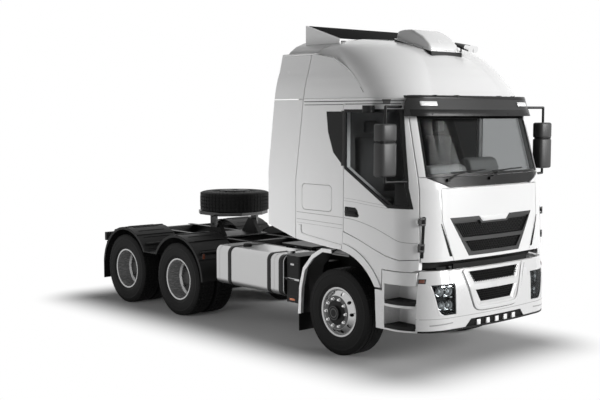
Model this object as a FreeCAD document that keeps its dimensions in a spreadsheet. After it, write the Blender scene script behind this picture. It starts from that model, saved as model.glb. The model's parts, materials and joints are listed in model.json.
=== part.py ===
import FreeCAD, Part
import functools
import math
import os
import re
import Sketcher
from FreeCAD import Placement, Rotation, Vector

# Six-wheel, ten-tyre road tractor with a high-roof sleeper cab.
# X points forward, Y to the left and Z up; the tyres stand on Z = 0.
# Lengths along X in the tables are counted from the front axle.

SIZES = {
    "stance": {
        "front_overhang": 1425,
        "wheelbase": 3300,
        "bogie_spread": 1380,
        "rear_overhang": 720,
        "tyre_radius": 522,
        "tyre_width": 298,
        "front_track_half": 1065,
        "rear_outer_track_half": 1105,
    },
    "wheel": {
        "bead_radius": 286,
        "bead_half_width": 114,
        "rim_flange_radius": 298.5,
        "rim_half_width": 127,
        "rim_flange_thickness": 12,
        "rim_barrel_thickness": 10,
        "disc_offset": 165,
        "disc_thickness": 14,
        "disc_land_radius": 198,
        "disc_root_height": 78,
        "disc_bore_radius": 70,
        "hand_hole_radius": 21,
        "hand_hole_circle": 236,
        "hand_hole_count": 10,
        "hub_radius": 118,
        "hub_cap_radius": 82,
        "hub_cap_height": 52,
        "hub_depth": 95,
        "drum_radius": 205,
        "drum_width": 150,
        "spindle_radius": 45,
        "pin_clearance": 0.05,
        "seat_clearance": 0.3,
        "tread_half_width": 122,
        "sidewall_low_radius": 335,
        "sidewall_mid_radius": 405,
        "tyre_shoulder_radius": 482,
        "sidewall_low_half": 142,
        "tyre_shoulder_half": 144,
        "drum_step": 12,
        "hub_nose": 150,
    },
    "steering": {
        "kingpin_half_track": 925,
        "kingpin_radius": 25,
        "kingpin_boss_radius": 48,
        "kingpin_boss_height": 120,
        "knuckle_plate": 28,
        "knuckle_length": 110,
        "knuckle_web": 26,
        "joint_gap": 6,
        "steer_arm_reach": 190,
        "steer_arm_width": 46,
        "steer_arm_thickness": 30,
        "beam_width": 95,
        "beam_height": 90,
        "beam_drop": 70,
        "beam_flat_half": 560,
    },
    "frame": {
        "rail_height": 300,
        "rail_flange": 80,
        "rail_wall": 8,
        "rail_half_spacing": 430,
        "rail_top": 1050,
        "rail_front_x": 1100,
        "rail_end_margin": 40,
        "member_width": 90,
        "member_height": 120,
        "hinge_x": 1200,
        "hinge_height": 1050,
        "hinge_pin_radius": 20,
        "hinge_lug_radius": 45,
        "hinge_lug_half_spacing": 520,
        "hinge_lug_thickness": 30,
        "hinge_arm_thickness": 30,
        "hinge_arm_width": 70,
        "catwalk_front_x": -1290,
        "catwalk_length": 620,
        "catwalk_half_width": 470,
        "catwalk_thickness": 24,
        "catwalk_stand": 40,
        "cab_mount_x": -560,
        "cab_mount_width": 120,
        "hinge_arm_lean": 240,
        "bridge_share": 0.66,
        "member_offset": 520,
        "rear_beam_width": 40,
        "rear_beam_half": 1200,
        "rear_beam_height": 130,
        "rear_beam_bottom": 890,
    },
    "axles": {
        "axle_tube_radius": 68,
        "diff_radius": 215,
        "diff_half_width": 130,
        "diff_cone": 110,
        "prop_radius": 58,
        "prop_height": 800,
        "spring_half_length": 800,
        "spring_width": 80,
        "spring_thickness": 55,
        "spring_camber": 90,
        "hanger_width": 90,
        "bellows_radius": 118,
        "bellows_back": 330,
        "arm_front": 470,
        "arm_thickness": 60,
        "arm_width": 90,
        "axle_spindle_radius": 55,
        "leaf_mid_share": 0.27,
    },
    "engine": {
        "engine_front_x": 720,
        "engine_length": 1420,
        "engine_half_width": 335,
        "engine_bottom": 600,
        "engine_top": 1300,
        "gearbox_length": 880,
        "gearbox_half_width": 260,
        "gearbox_bottom": 620,
        "gearbox_top": 1040,
        "radiator_front_x": 1000,
        "radiator_depth": 150,
        "radiator_half_width": 425,
        "radiator_bottom": 620,
        "radiator_top": 1330,
    },
    "tanks": {
        "tank_front_x": -980,
        "tank_length": 1410,
        "left_tank_front_x": -1560,
        "left_tank_length": 830,
        "tank_bottom": 580,
        "tank_height": 520,
        "tank_outer_half": 1225,
        "tank_depth": 640,
        "tank_edge_radius": 90,
        "tank_cap_radius": 55,
        "tank_cap_height": 32,
        "tank_cap_inset": 250,
        "tank_cap_back": 140,
        "strap_width": 60,
        "strap_thickness": 6,
        "strap_inset": 290,
        "bracket_height": 330,
        "box_front_x": -720,
        "box_length": 255,
        "box_bottom": 520,
        "box_height": 590,
        "box_outer_half": 1190,
        "box_depth": 520,
        "box_edge": 30,
        "silencer_length": 560,
        "silencer_front_x": -960,
    },
    "cab": {
        "cab_half_width": 1245,
        "cab_rear_x": -720,
        "cab_wall": 75,
        "skin": 35,
        "panel_gap": 8,
        "floor_bottom": 1400,
        "floor_thickness": 60,
        "hull_bottom": 900,
        "seam_height": 3050,
        "hull_low_x": 1395,
        "hull_grille_height": 1700,
        "hull_grille_x": 1362,
        "cowl_bottom": 2055,
        "hull_cowl_x": 1345,
        "glass_bottom": 2180,
        "hull_glass_x": 1300,
        "glass_top": 2870,
        "hull_header_x": 1090,
        "hull_seam_x": 1025,
        "front_bow": 40,
        "corner_length": 430,
        "corner_width": 500,
        "side_rear_bottom": 1345,
        "side_front_bottom": 1272,
        "arch_seam_x": 120,
        "arch_radius": 765,
        "flare_radius": 852,
        "flare_proud": 14,
        "flare_front_x": 745,
        "sill_gap": 10,
        "windscreen_half_low": 1010,
        "windscreen_half_top": 968,
        "windscreen_thickness": 7,
        "windscreen_inset": 12,
        "cowl_half": 1000,
        "cowl_gap": 6,
        "cowl_drop_half": 716,
        "flare_bottom": 917,
        "skirt_bottom": 1290,
        "flare_start": 28,
        "flare_stop": 82,
    },
    "doors": {
        "door_rear_x": 130,
        "door_front_x": 1205,
        "door_lean_height": 2050,
        "door_front_top_x": 925,
        "door_top": 2985,
        "door_rear_bottom": 1510,
        "door_front_bottom": 1272,
        "door_hinge_x": 1209,
        "door_hinge_out": 1120,
        "door_hinge_radius": 12,
        "door_hinge_pin": 6,
        "door_hinge_height": 40,
        "door_hinge_low": 1400,
        "door_hinge_high": 1690,
        "hinge_boss_gap": 3,
        "window_rear_x": 168,
        "window_front_x": 1100,
        "window_front_top_x": 893,
        "window_top": 2895,
        "window_rear_bottom": 2262,
        "window_sill": 1862,
        "window_sill_x": 850,
        "window_frame": 34,
        "trim_depth": 16,
        "door_glass_thickness": 5,
        "quarter_rear_x": -168,
        "quarter_top": 2905,
        "quarter_bottom": 2275,
        "quarter_depth": 12,
        "lid_rear_x": -603,
        "lid_front_x": -77,
        "lid_top": 2030,
        "lid_bottom": 1722,
        "lid_depth": 30,
        "lid_corner": 55,
        "mirror_out": 1545,
        "mirror_width": 225,
        "mirror_depth": 130,
        "mirror_front_x": 1045,
        "mirror_top": 2760,
        "mirror_mid": 2560,
        "mirror_low": 2200,
        "mirror_arm_radius": 16,
        "mirror_arm_top": 2955,
        "mirror_arm_bottom": 2130,
        "mirror_foot": 60,
        "door_front_mid_x": 1175,
        "mirror_edge": 38,
        "look_mirror_x": 620,
        "look_mirror_out": 1390,
        "door_inner_half": 1035,
    },
    "front": {
        "flap_top_half": 855,
        "flap_mid_half": 855,
        "flap_mid_height": 1690,
        "flap_bottom_half": 690,
        "flap_bottom": 1240,
        "flap_stop_half": 600,
        "grille_top_half": 742,
        "grille_top": 1718,
        "grille_bottom_half": 458,
        "grille_bottom": 1275,
        "grille_frame": 46,
        "grille_bar": 44,
        "grille_mesh_thickness": 8,
        "grille_mesh_inset": 45,
        "tab_half": 275,
        "tab_drop": 62,
        "corner_top": 2172,
        "bumper_top": 1139,
        "bumper_bottom": 450,
        "bumper_mid_x": 1412,
        "bumper_mid_height": 900,
        "bumper_top_x": 1375,
        "bumper_wall": 45,
        "bumper_rear_x": 1200,
        "bumper_half_width": 1248,
        "mesh_top_upper": 1095,
        "mesh_bottom_upper": 950,
        "mesh_half_upper": 470,
        "mesh_low_half_upper": 400,
        "mesh_top_lower": 880,
        "mesh_bottom_lower": 715,
        "mesh_half_lower": 400,
        "mesh_low_half_lower": 320,
        "lip_half": 560,
        "lip_low_half": 455,
        "lip_top": 560,
        "lip_depth": 14,
        "lamp_inner": 690,
        "lamp_outer": 1040,
        "lamp_top": 985,
        "lamp_bottom": 640,
        "lamp_depth": 110,
        "lamp_reveal": 10,
        "band_half": 675,
        "band_height": 60,
        "tail_lamp_width": 330,
        "lamp_lean": 90,
        "band_inset": 22,
    },
    "steps": {
        "step_rear_x": 672,
        "step_rear_top_x": 650,
        "step_front_x": 1190,
        "step_bottom": 450,
        "step_top": 1122,
        "step_shoulder": 890,
        "sill_bottom": 975,
        "sill_rear_x": 765,
        "step_outer_half": 1245,
        "step_depth": 330,
        "foot_rear_x": 800,
        "foot_depth": 250,
        "upper_foot_bottom": 780,
        "lower_foot_top": 720,
        "lower_foot_bottom": 500,
        "tread_margin": 12,
        "step_bracket_x": 880,
    },
    "guards": {
        "front_guard_outer": 1245,
        "front_guard_depth": 350,
        "front_guard_wall": 8,
        "front_guard_face": 14,
        "front_guard_x": 680,
        "front_guard_height": 860,
        "front_guard_bottom": 410,
        "rear_guard_radius": 625,
        "rear_guard_wall": 12,
        "rear_guard_outer": 1268,
        "rear_guard_inner": 600,
        "rear_guard_lip": 26,
        "rear_guard_lip_width": 10,
        "rear_guard_start": 3,
        "rear_guard_sweep_front": 150,
        "rear_guard_sweep_rear": 174,
        "rib_width": 26,
        "rib_height": 9,
        "rib_count": 4,
        "stay_radius": 20,
        "stay_angle": 40,
        "flap_thickness": 10,
        "rear_flap_bottom": 310,
        "front_flap_height": 215,
        "front_guard_lip": 48,
        "guard_foot": 44,
        "guard_foot_height": 770,
        "stay_end": 60,
    },
    "coupling": {
        "fifth_x": -3580,
        "fifth_pivot_height": 1235,
        "fifth_pin_radius": 22,
        "fifth_base_half": 420,
        "fifth_base_length": 560,
        "fifth_base_thickness": 20,
        "fifth_stand_length": 200,
        "fifth_stand_thickness": 70,
        "fifth_stand_half": 330,
        "fifth_plate_thickness": 50,
        "fifth_plate_half": 460,
        "fifth_plate_front": 420,
        "fifth_plate_rear": 470,
        "fifth_ear_gap": 3,
        "fifth_ear_thickness": 40,
        "throat_half": 55,
        "throat_mouth_half": 190,
        "spare_gap": 0.3,
        "fifth_nose_share": 0.42,
        "fifth_shoulder_share": 0.55,
        "fifth_heel_share": 0.55,
        "fifth_horn_share": 0.72,
        "fifth_ear_length": 130,
        "fifth_plate_top": 1417,
    },
    "roof": {
        "dome_rise": 740,
        "shoulder_rise": 550,
        "shoulder_half": 1165,
        "shoulder_front_x": 550,
        "roof_wall": 60,
        "fairing_wall": 25,
        "fairing_rear_x": -1120,
        "groove_low_x": -720,
        "groove_bend_height": 2070,
        "groove_seam_x": -577,
        "groove_shoulder_x": -510,
        "deflector_rear_x": -1248,
        "deflector_seam_rear_x": -1127,
        "deflector_shoulder_rear_x": -1060,
        "deflector_rear_bottom": 1485,
        "deflector_kink": 2170,
        "deflector_bracket": 40,
        "deflector_bracket_reach": 200,
        "wing_front_x": -250,
        "wing_rear_x": -870,
        "wing_front_rise": 725,
        "wing_rise": 917,
        "wing_half": 950,
        "wing_thickness": 20,
        "cheek_rise": 640,
        "visor_drop": 200,
        "visor_rise": 35,
        "visor_proud": 75,
        "visor_thickness": 30,
        "visor_half": 1120,
        "visor_lift": 25,
        "box_half": 262,
        "box_rear_x": 10,
        "box_low_rise": 525,
        "box_rear_rise": 840,
        "box_mid_rise": 845,
        "box_front_rise": 640,
        "horn_y": 330,
        "horn_bell_radius": 42,
        "horn_tail_radius": 10,
        "horn_length": 330,
        "horn_x": 370,
        "horn_bell_rise": 605,
        "deflector_inner_half": 1100,
        "fairing_seam": 5,
        "visor_rear_x": 960,
        "box_sink": 40,
        "box_crest_x": 260,
        "box_nose_x": 590,
        "horn_count": 2,
        "horn_spacing": 95,
        "horn_rise": 95,
    },
    "inside": {
        "seat_x": 270,
        "seat_half_spacing": 620,
        "seat_width": 520,
        "seat_length": 520,
        "seat_height": 160,
        "seat_stand": 300,
        "seat_back_height": 720,
        "seat_back_thickness": 150,
        "seat_head_height": 180,
        "seat_edge": 45,
        "bunk_length": 490,
        "bunk_height": 420,
        "bunk_edge": 40,
        "dash_rear_x": 780,
        "dash_top": 2120,
        "dash_bottom": 1700,
        "wheel_y": -600,
        "wheel_x": 640,
        "wheel_z": 2090,
        "wheel_radius": 215,
        "wheel_rim": 16,
        "wheel_tilt": 28,
        "column_radius": 34,
        "column_length": 330,
        "dash_slope": 60,
        "dash_rise": 30,
        "dash_foot_x": 980,
    },
}
ALONG = 0.99
HEAD_SHARE = 0.8
SPOKE_ANGLES = (20, 160, 270)
SPOKE_SHARE = 0.8
FOOT_PLACE_SHARE = 0.955
BRACKET_SHARES = (0.04, 0.45, 0.86)
FOOT_SHARE = 0.3
STOP_SHARES = (0.2, 0.75)

# Plan outline of the roof dome at rising heights, as shares: height between the seam and
# the crown, nose between the cab's rear wall and the seam's nose, half width, and the
# corner's length and width.
DOME_SHARES = (
    (0.000, 1.000, 1.000, 1.10, 1.14),
    (0.193, 0.954, 0.992, 1.21, 1.24),
    (0.345, 0.912, 0.978, 1.30, 1.30),
    (0.489, 0.862, 0.955, 1.35, 1.36),
    (0.661, 0.787, 0.918, 1.40, 1.44),
    (0.804, 0.706, 0.860, 1.46, 1.50),
    (0.892, 0.585, 0.790, 1.46, 1.46),
    (0.955, 0.470, 0.715, 1.36, 1.36),
    (1.000, 0.330, 0.610, 1.10, 1.16),
)
SHOULDER_SHARES = ((0.42, 0.86), (0.66, 0.60), (0.84, 0.30))
SWEEP_SHARES = ((0.25, 0.66), (0.45, 0.34), (0.63, 0.08), (0.82, -0.06))
QUARTER_SHARES = ((0.10, 0.62), (0.42, 0.24))
GUARD_SHARES = ((0.12, 1.000), (0.37, 1.000), (0.63, 0.885), (0.87, 0.680), (0.97, 0.400))
FAIRING_TOP_SHARES = ((0.10, 0.10), (0.14, 0.55), (0.28, 0.90), (0.42, 1.00))
DOOR_LEAF_SHARES = ((0, -0.8), (-1.3, -0.8), (-2.3, -1.3), (-2.3, -2.1), (-3.6, -2.1), (-3.6, 0.7), (0, 0.7))
PANEL_ARM_SHARES = ((0, 0.7), (0.9, 0.3), (2.0, -2.4), (2.0, -5.6), (0.8, -5.6), (0.8, -1.8), (0, -0.8))

DOC = FreeCAD.newDocument("tractor_unit")
SHEET = DOC.addObject("Spreadsheet::Sheet", "sizes")
NAMES = set()
NODES = []
SIDES = {"right": -1, "left": 1}
AXLE_X = "((front_overhang + wheelbase + bogie_spread + rear_overhang) / 2 - front_overhang)"
DRIVE_X = {"front": "(-wheelbase)", "rear": "(-wheelbase - bogie_spread)"}
REAR_END = "(-wheelbase - bogie_spread - rear_overhang)"


def fill_sheet():
    """Write each size to a row of the sheet and give its cell an alias."""
    row = 0
    for group, sizes in SIZES.items():
        row += 1
        SHEET.set(f"A{row}", group)
        for name, value in sizes.items():
            row += 1
            SHEET.set(f"A{row}", name)
            SHEET.set(f"B{row}", str(value))
            SHEET.setAlias(f"B{row}", name)
            NAMES.add(name)
    DOC.recompute()


# Heights of the roof, each counted up from the seam between the cab and its roof.
ABOVE_SEAM = {
    "dome_top": "dome_rise", "shoulder_height": "shoulder_rise", "wing_front_height": "wing_front_rise",
    "wing_top": "wing_rise", "cheek_low": "cheek_rise", "visor_top": "visor_rise",
    "box_front_low": "box_low_rise", "box_rear_top": "box_rear_rise", "box_mid_top": "box_mid_rise",
    "box_front_top": "box_front_rise", "horn_z": "horn_bell_rise",
}


class Dims:
    """Sizes by name, read from the sheet, with the roof's heights worked out from its seam."""

    def __getattr__(self, name):
        if name in ABOVE_SEAM:
            return self.seam_height + getattr(self, ABOVE_SEAM[name])
        return float(SHEET.get(name))


d = Dims()


def expr(text):
    """Point each size name in a sum at its cell."""
    def cell(match):
        word = match.group(0)
        return "sizes." + word if word in NAMES else word
    return re.sub(r"[a-z][a-z0-9_]*", cell, str(text))


def val(text):
    """Value of a sum of sizes."""
    return float(SHEET.evalExpression(expr(text)))


def place(item, x="0", y="0", z="0"):
    """Bind an object's place to the sheet."""
    for axis, text in zip("xyz", (x, y, z)):
        item.setExpression("Placement.Base." + axis, expr(text))
    return item


def block(name, size, centre):
    """Box of the given sizes whose centre in plan and lowest height are given."""
    item = DOC.addObject("Part::Box", name)
    for prop, text in zip(("Length", "Width", "Height"), size):
        item.setExpression(prop, expr(text))
    corner = [f"({c}) - ({s}) / 2" for c, s in zip(centre[:2], size[:2])]
    return place(item, *corner, centre[2])


def cylinder(name, radius, length, centre, axis):
    """Cylinder centred on a point, along X, Y or Z."""
    item = DOC.addObject("Part::Cylinder", name)
    item.setExpression("Radius", expr(radius))
    item.setExpression("Height", expr(length))
    turn = {"x": Rotation(Vector(0, 1, 0), 90), "y": Rotation(Vector(1, 0, 0), -90), "z": Rotation()}
    item.Placement = Placement(Vector(), turn[axis])
    start = {a: c for a, c in zip("xyz", centre)}
    start[axis] = f"({start[axis]}) - ({length}) / 2"
    return place(item, *(start[a] for a in "xyz"))


def join(name, items, refine=True):
    """Fuse of several objects."""
    fuse = DOC.addObject("Part::MultiFuse", name)
    fuse.Shapes = items
    fuse.Refine = refine
    return fuse


def cut(name, base, tool):
    """One object less another."""
    result = DOC.addObject("Part::Cut", name)
    result.Base = base
    result.Tool = tool
    return result


def origin_part(body, role):
    """One of a body's own origin planes or axes."""
    for feature in body.Origin.OriginFeatures:
        if feature.Role == role:
            return feature
    raise ValueError(role)


def outline(body, name, role, corners):
    """Closed sketch on an origin plane, each corner bound to the sheet."""
    sketch = body.newObject("Sketcher::SketchObject", name)
    sketch.AttachmentSupport = [(origin_part(body, role), "")]
    sketch.MapMode = "FlatFace"
    points = [Vector(val(x), val(y), 0) for x, y in corners]
    count = len(points)
    for i in range(count):
        sketch.addGeometry(Part.LineSegment(points[i], points[(i + 1) % count]))
    for i in range(count):
        sketch.addConstraint(Sketcher.Constraint("Coincident", i, 2, (i + 1) % count, 1))
    for i, (x, y) in enumerate(corners):
        for kind, value, text in (("DistanceX", points[i].x, x), ("DistanceY", points[i].y, y)):
            index = sketch.addConstraint(Sketcher.Constraint(kind, -1, 1, i, 1, value))
            sketch.setExpression(f"Constraints[{index}]", expr(text))
    return sketch


def padded(name, role, corners, length, middle=True):
    """Body with one pad of a closed outline."""
    body = DOC.addObject("PartDesign::Body", name)
    sketch = outline(body, name + "_outline", role, corners)
    pad = body.newObject("PartDesign::Pad", name + "_pad")
    pad.Profile = sketch
    pad.Midplane = middle
    pad.setExpression("Length", expr(length))
    sketch.Visibility = False
    return body


def turned(name, corners, axis="V_Axis"):
    """Body with one revolution; corners are (radius, place along Y) turned about Y."""
    body = DOC.addObject("PartDesign::Body", name)
    sketch = outline(body, name + "_outline", "XY_Plane", corners)
    spin = body.newObject("PartDesign::Revolution", name + "_turn")
    spin.Profile = sketch
    spin.ReferenceAxis = (sketch, [axis])
    spin.Angle = 360
    return body


def shaped(name, shape):
    """Object that holds a shape made from the sheet's sizes."""
    item = DOC.addObject("Part::Feature", name)
    item.Shape = shape
    return item


def node(label, item, x=AXLE_X, y="0", z="0"):
    """Name a sub-part and set its place in the row's frame."""
    holder = DOC.addObject("Part::Compound", label + "_part")
    holder.Links = [item]
    holder.Label = label
    place(holder, x, y, z)
    NODES.append(holder)
    return holder


def polygon(points):
    """Closed wire through points."""
    return Part.makePolygon(list(points) + [points[0]])


def side_prism(points, low, high):
    """Outline in X and Z pushed along Y."""
    wire = polygon([Vector(x, low, z) for x, z in points])
    return Part.Face(wire).extrude(Vector(0, high - low, 0))


def front_prism(points, low, high):
    """Outline in Y and Z pushed along X."""
    wire = polygon([Vector(low, y, z) for y, z in points])
    return Part.Face(wire).extrude(Vector(high - low, 0, 0))


def plan_prism(points, low, high):
    """Outline in X and Y pushed along Z."""
    wire = polygon([Vector(x, y, low) for x, y in points])
    return Part.Face(wire).extrude(Vector(0, 0, high - low))


def cuboid(x, y, z):
    """Box between two limits on each axis."""
    return Part.makeBox(x[1] - x[0], y[1] - y[0], z[1] - z[0], Vector(x[0], y[0], z[0]))


def mirrored(shape):
    """The same shape on the other side of the truck."""
    return shape.mirror(Vector(), Vector(0, 1, 0))


def both(shape):
    """A shape with its twin on the other side."""
    return Part.makeCompound([shape, mirrored(shape)])


def on_side(shape, side):
    """A left-hand shape, or its twin on the right."""
    return shape if side > 0 else mirrored(shape)


def rounded(shape, radius, keep):
    """Fillet the edges that a test picks."""
    edges = [edge for edge in shape.Edges if keep(edge)]
    return shape.makeFillet(radius, edges)


def is_upright(edge):
    """True for an edge along Z."""
    return abs(edge.tangentAt(edge.FirstParameter).z) > ALONG


def is_lengthwise(edge):
    """True for an edge along X."""
    return abs(edge.tangentAt(edge.FirstParameter).x) > ALONG


def is_crosswise(edge):
    """True for an edge along Y."""
    return abs(edge.tangentAt(edge.FirstParameter).y) > ALONG


def corner_curve(start, corner, end):
    """Quarter of an ellipse from one side of a corner to the other."""
    curve = Part.BezierCurve()
    curve.setPoles([start, corner, end])
    curve.setWeight(2, math.cos(math.pi / 4))
    return curve.toShape()


def plan_wire(height, nose, half, length, width, rear, inset):
    """Plan outline of the cab at one height, set in by a given amount."""
    side = half - inset
    back = rear + inset
    start = nose - d.front_bow - length
    front = nose - d.front_bow - inset
    flat = half - width
    def at(x, y):
        return Vector(x, y, height)
    return Part.Wire([
        Part.LineSegment(at(back, -side), at(start, -side)).toShape(),
        corner_curve(at(start, -side), at(front, -side), at(front, -flat)),
        Part.Arc(at(front, -flat), at(nose - inset, 0), at(front, flat)).toShape(),
        corner_curve(at(front, flat), at(front, side), at(start, side)),
        Part.LineSegment(at(start, side), at(back, side)).toShape(),
        Part.LineSegment(at(back, side), at(back, -side)).toShape(),
    ])


def body_stations():
    """Height and nose of the cab below the roof seam."""
    return (
        (d.hull_bottom, d.hull_low_x),
        (d.hull_grille_height, d.hull_grille_x),
        (d.cowl_bottom, d.hull_cowl_x),
        (d.glass_bottom, d.hull_glass_x),
        (d.glass_top, d.hull_header_x),
        (d.seam_height, d.hull_seam_x),
    )


@functools.lru_cache(maxsize=None)
def body_hull(inset=0, rear=None):
    """Outer form of the cab below the roof seam, or a copy set in from it."""
    rear = d.cab_rear_x if rear is None else rear
    wires = [
        plan_wire(z, nose, d.cab_half_width, d.corner_length, d.corner_width, rear, inset)
        for z, nose in body_stations()
    ]
    return Part.makeLoft(wires, True, True)


@functools.lru_cache(maxsize=None)
def dome_hull(inset=0, rear=None):
    """Outer form of the roof dome, or a copy set in from it."""
    rear = d.cab_rear_x if rear is None else rear
    wires = []
    last = len(DOME_SHARES) - 1
    span = d.hull_seam_x - d.cab_rear_x
    for i, (up, nose, half, length, width) in enumerate(DOME_SHARES):
        height = d.seam_height + up * (d.dome_top - d.seam_height) - inset * i / last
        wires.append(plan_wire(height, d.cab_rear_x + nose * span, half * d.cab_half_width,
                               length * d.corner_length, width * d.corner_width, rear, inset))
    return Part.makeLoft(wires, True, True)


def shoulder_hull(inset=0, rear=None):
    """Flatter side walls of the roof, up to the crease that curves down to the front."""
    rear = d.cab_rear_x if rear is None else rear
    flat_x = d.groove_shoulder_x
    top = d.shoulder_height - inset
    points = [(rear + inset, d.seam_height), (rear + inset, top), (flat_x, top)]
    for along, up in SHOULDER_SHARES:
        points.append((flat_x + along * (d.shoulder_front_x - flat_x),
                       d.seam_height + up * (top - d.seam_height)))
    points.append((d.shoulder_front_x, d.seam_height))
    prism = side_prism(points, -d.cab_half_width, d.cab_half_width)
    low = d.cab_half_width - inset
    high = d.shoulder_half - inset
    taper = front_prism([(-low, d.seam_height), (low, d.seam_height), (high, d.shoulder_height),
                         (-high, d.shoulder_height)], rear, d.shoulder_front_x)
    return prism.common(taper)


@functools.lru_cache(maxsize=None)
def roof_hull(inset=0, rear=None):
    """Dome and shoulders as one solid."""
    return dome_hull(inset, rear).fuse(shoulder_hull(inset, rear)).removeSplitter()


def ring_skin(depth, start=0, rear=None):
    """Layer of the cab's hull between two depths."""
    return body_hull(start, rear).cut(body_hull(start + depth, rear))


def grown(points, amount):
    """Corners of an outline in X and Z moved outward by a distance."""
    wire = polygon([Vector(x, z, 0) for x, z in points])
    bigger = wire.makeOffset2D(amount, 2)
    return [(v.X, v.Y) for v in bigger.OrderedVertexes]


def rod(start, stop, radius, end_radius=None):
    """Round bar or cone between two points."""
    way = stop - start
    if end_radius is None:
        return Part.makeCylinder(radius, way.Length, start, way)
    return Part.makeCone(radius, end_radius, way.Length, start, way)


def arc_band(centre, inner, outer, start, stop, low, high):
    """Part of a ring about an axis along Y; angles in degrees from +X towards +Z."""
    def at(radius, degrees):
        angle = math.radians(degrees)
        return Vector(centre[0] + radius * math.cos(angle), low, centre[1] + radius * math.sin(angle))
    middle = (start + stop) / 2
    edges = [
        Part.Arc(at(outer, start), at(outer, middle), at(outer, stop)).toShape(),
        Part.LineSegment(at(outer, stop), at(inner, stop)).toShape(),
        Part.Arc(at(inner, stop), at(inner, middle), at(inner, start)).toShape(),
        Part.LineSegment(at(inner, start), at(outer, start)).toShape(),
    ]
    return Part.Face(Part.Wire(edges)).extrude(Vector(0, high - low, 0))


def door_front(height):
    """Front edge of the door at a height."""
    if height <= d.door_lean_height:
        low, high = (d.door_front_bottom, d.door_front_x), (d.door_lean_height, d.door_front_mid_x)
    else:
        low, high = (d.door_lean_height, d.door_front_mid_x), (d.door_top, d.door_front_top_x)
    share = (height - low[0]) / (high[0] - low[0])
    return low[1] + share * (high[1] - low[1])


def sweep_points(offset=0):
    """Lower edge of the door, from its rear corner to its front one."""
    span = d.door_front_x - d.door_rear_x
    rise = d.door_rear_bottom - d.door_front_bottom
    points = [(d.door_rear_x, d.door_rear_bottom - offset)]
    for along, up in SWEEP_SHARES:
        points.append((d.door_rear_x + along * span, d.door_front_bottom + up * rise - offset))
    points.append((d.door_front_x, d.door_front_bottom - offset))
    return points


def door_outline():
    """Corners of the door in X and Z."""
    return sweep_points() + [
        (d.door_front_mid_x, d.door_lean_height),
        (d.door_front_top_x, d.door_top),
        (d.door_rear_x, d.door_top),
    ]


def window_outline():
    """Corners of the door's window in X and Z."""
    return [
        (d.window_rear_x, d.window_rear_bottom),
        (d.window_sill_x, d.window_sill),
        (d.window_front_x, d.window_sill),
        (d.window_front_top_x, d.window_top),
        (d.window_rear_x, d.window_top),
    ]


def door_prism(points, reach=0):
    """Left-hand prism through the door's side of the cab."""
    return side_prism(points, d.door_inner_half - reach, d.cab_half_width + d.cab_wall)


def windscreen_prism(shrink=0):
    """Prism through the windscreen's opening."""
    low = d.windscreen_half_low - shrink
    high = d.windscreen_half_top - shrink
    return front_prism([(-low, d.glass_bottom + shrink), (low, d.glass_bottom + shrink),
                        (high, d.glass_top - shrink), (-high, d.glass_top - shrink)],
                       0, d.front_overhang)


def flap_outline(gap=0):
    """Corners of the front flap in Y and Z."""
    half = [(d.flap_bottom_half + gap, d.flap_bottom - gap), (d.flap_mid_half + gap, d.flap_mid_height),
            (d.flap_top_half + gap, d.cowl_bottom - d.panel_gap + gap)]
    return [(-y, z) for y, z in reversed(half)] + half


def lower_panel_outline():
    """Corners of the panel between the door, the sill and the wheel arch, in X and Z."""
    front = d.door_front_x - d.panel_gap / 2
    return [(d.arch_seam_x, d.door_rear_bottom - d.panel_gap)] + sweep_points(d.panel_gap)[1:-1] + [
        (front, d.door_front_bottom - d.panel_gap),
        (front, d.step_top + d.sill_gap),
        (d.sill_rear_x - d.sill_gap, d.step_top + d.sill_gap),
        (d.flare_front_x, d.flare_bottom),
        (d.arch_seam_x, d.flare_bottom),
    ]


def groove_outline(offset=0):
    """Area of the side behind the groove, in X and Z, from the sill to the roof."""
    return [
        (d.groove_low_x - offset, d.hull_bottom),
        (d.groove_low_x - offset, d.groove_bend_height),
        (d.groove_seam_x - offset, d.seam_height),
        (d.groove_shoulder_x - offset, d.shoulder_height),
        (d.wing_front_x - offset, d.dome_top),
        (d.wing_front_x - offset, d.wing_top),
        (2 * d.deflector_rear_x, d.wing_top),
        (2 * d.deflector_rear_x, d.hull_bottom),
    ]


def arch_tool():
    """Round space of the wheel arches, through the whole width."""
    wide = 2 * d.cab_half_width
    return Part.makeCylinder(d.arch_radius, 2 * wide, Vector(0, -wide, d.tyre_radius), Vector(0, 1, 0))


def swing_space():
    """Space round the cab's pivot that its lower edges keep free, so that they pass over the bumper."""
    radius = d.bumper_top - d.hinge_height + 2 * d.joint_gap
    wide = 2 * d.cab_half_width
    return Part.makeCylinder(radius, 2 * wide, Vector(d.hinge_x, -wide, d.hinge_height), Vector(0, 1, 0))


def lid_box(margin, depth):
    """Locker lid's outline on the left, grown by a margin, to a depth."""
    box = cuboid((d.lid_rear_x - margin, d.lid_front_x + margin),
                 (d.cab_half_width - depth, d.cab_half_width),
                 (d.lid_bottom - margin, d.lid_top + margin))
    return rounded(box, d.lid_corner, is_crosswise)


def quarter_outline():
    """Corners of the dark quarter behind the door, in X and Z."""
    front = d.door_rear_x - 2 * d.panel_gap
    span = front - d.quarter_rear_x
    rise = d.quarter_top - d.quarter_bottom
    points = [(front, d.quarter_bottom), (front, d.quarter_top), (d.quarter_rear_x, d.quarter_top)]
    for along, up in QUARTER_SHARES:
        points.append((d.quarter_rear_x + along * span, d.quarter_bottom + up * rise))
    return points


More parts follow.
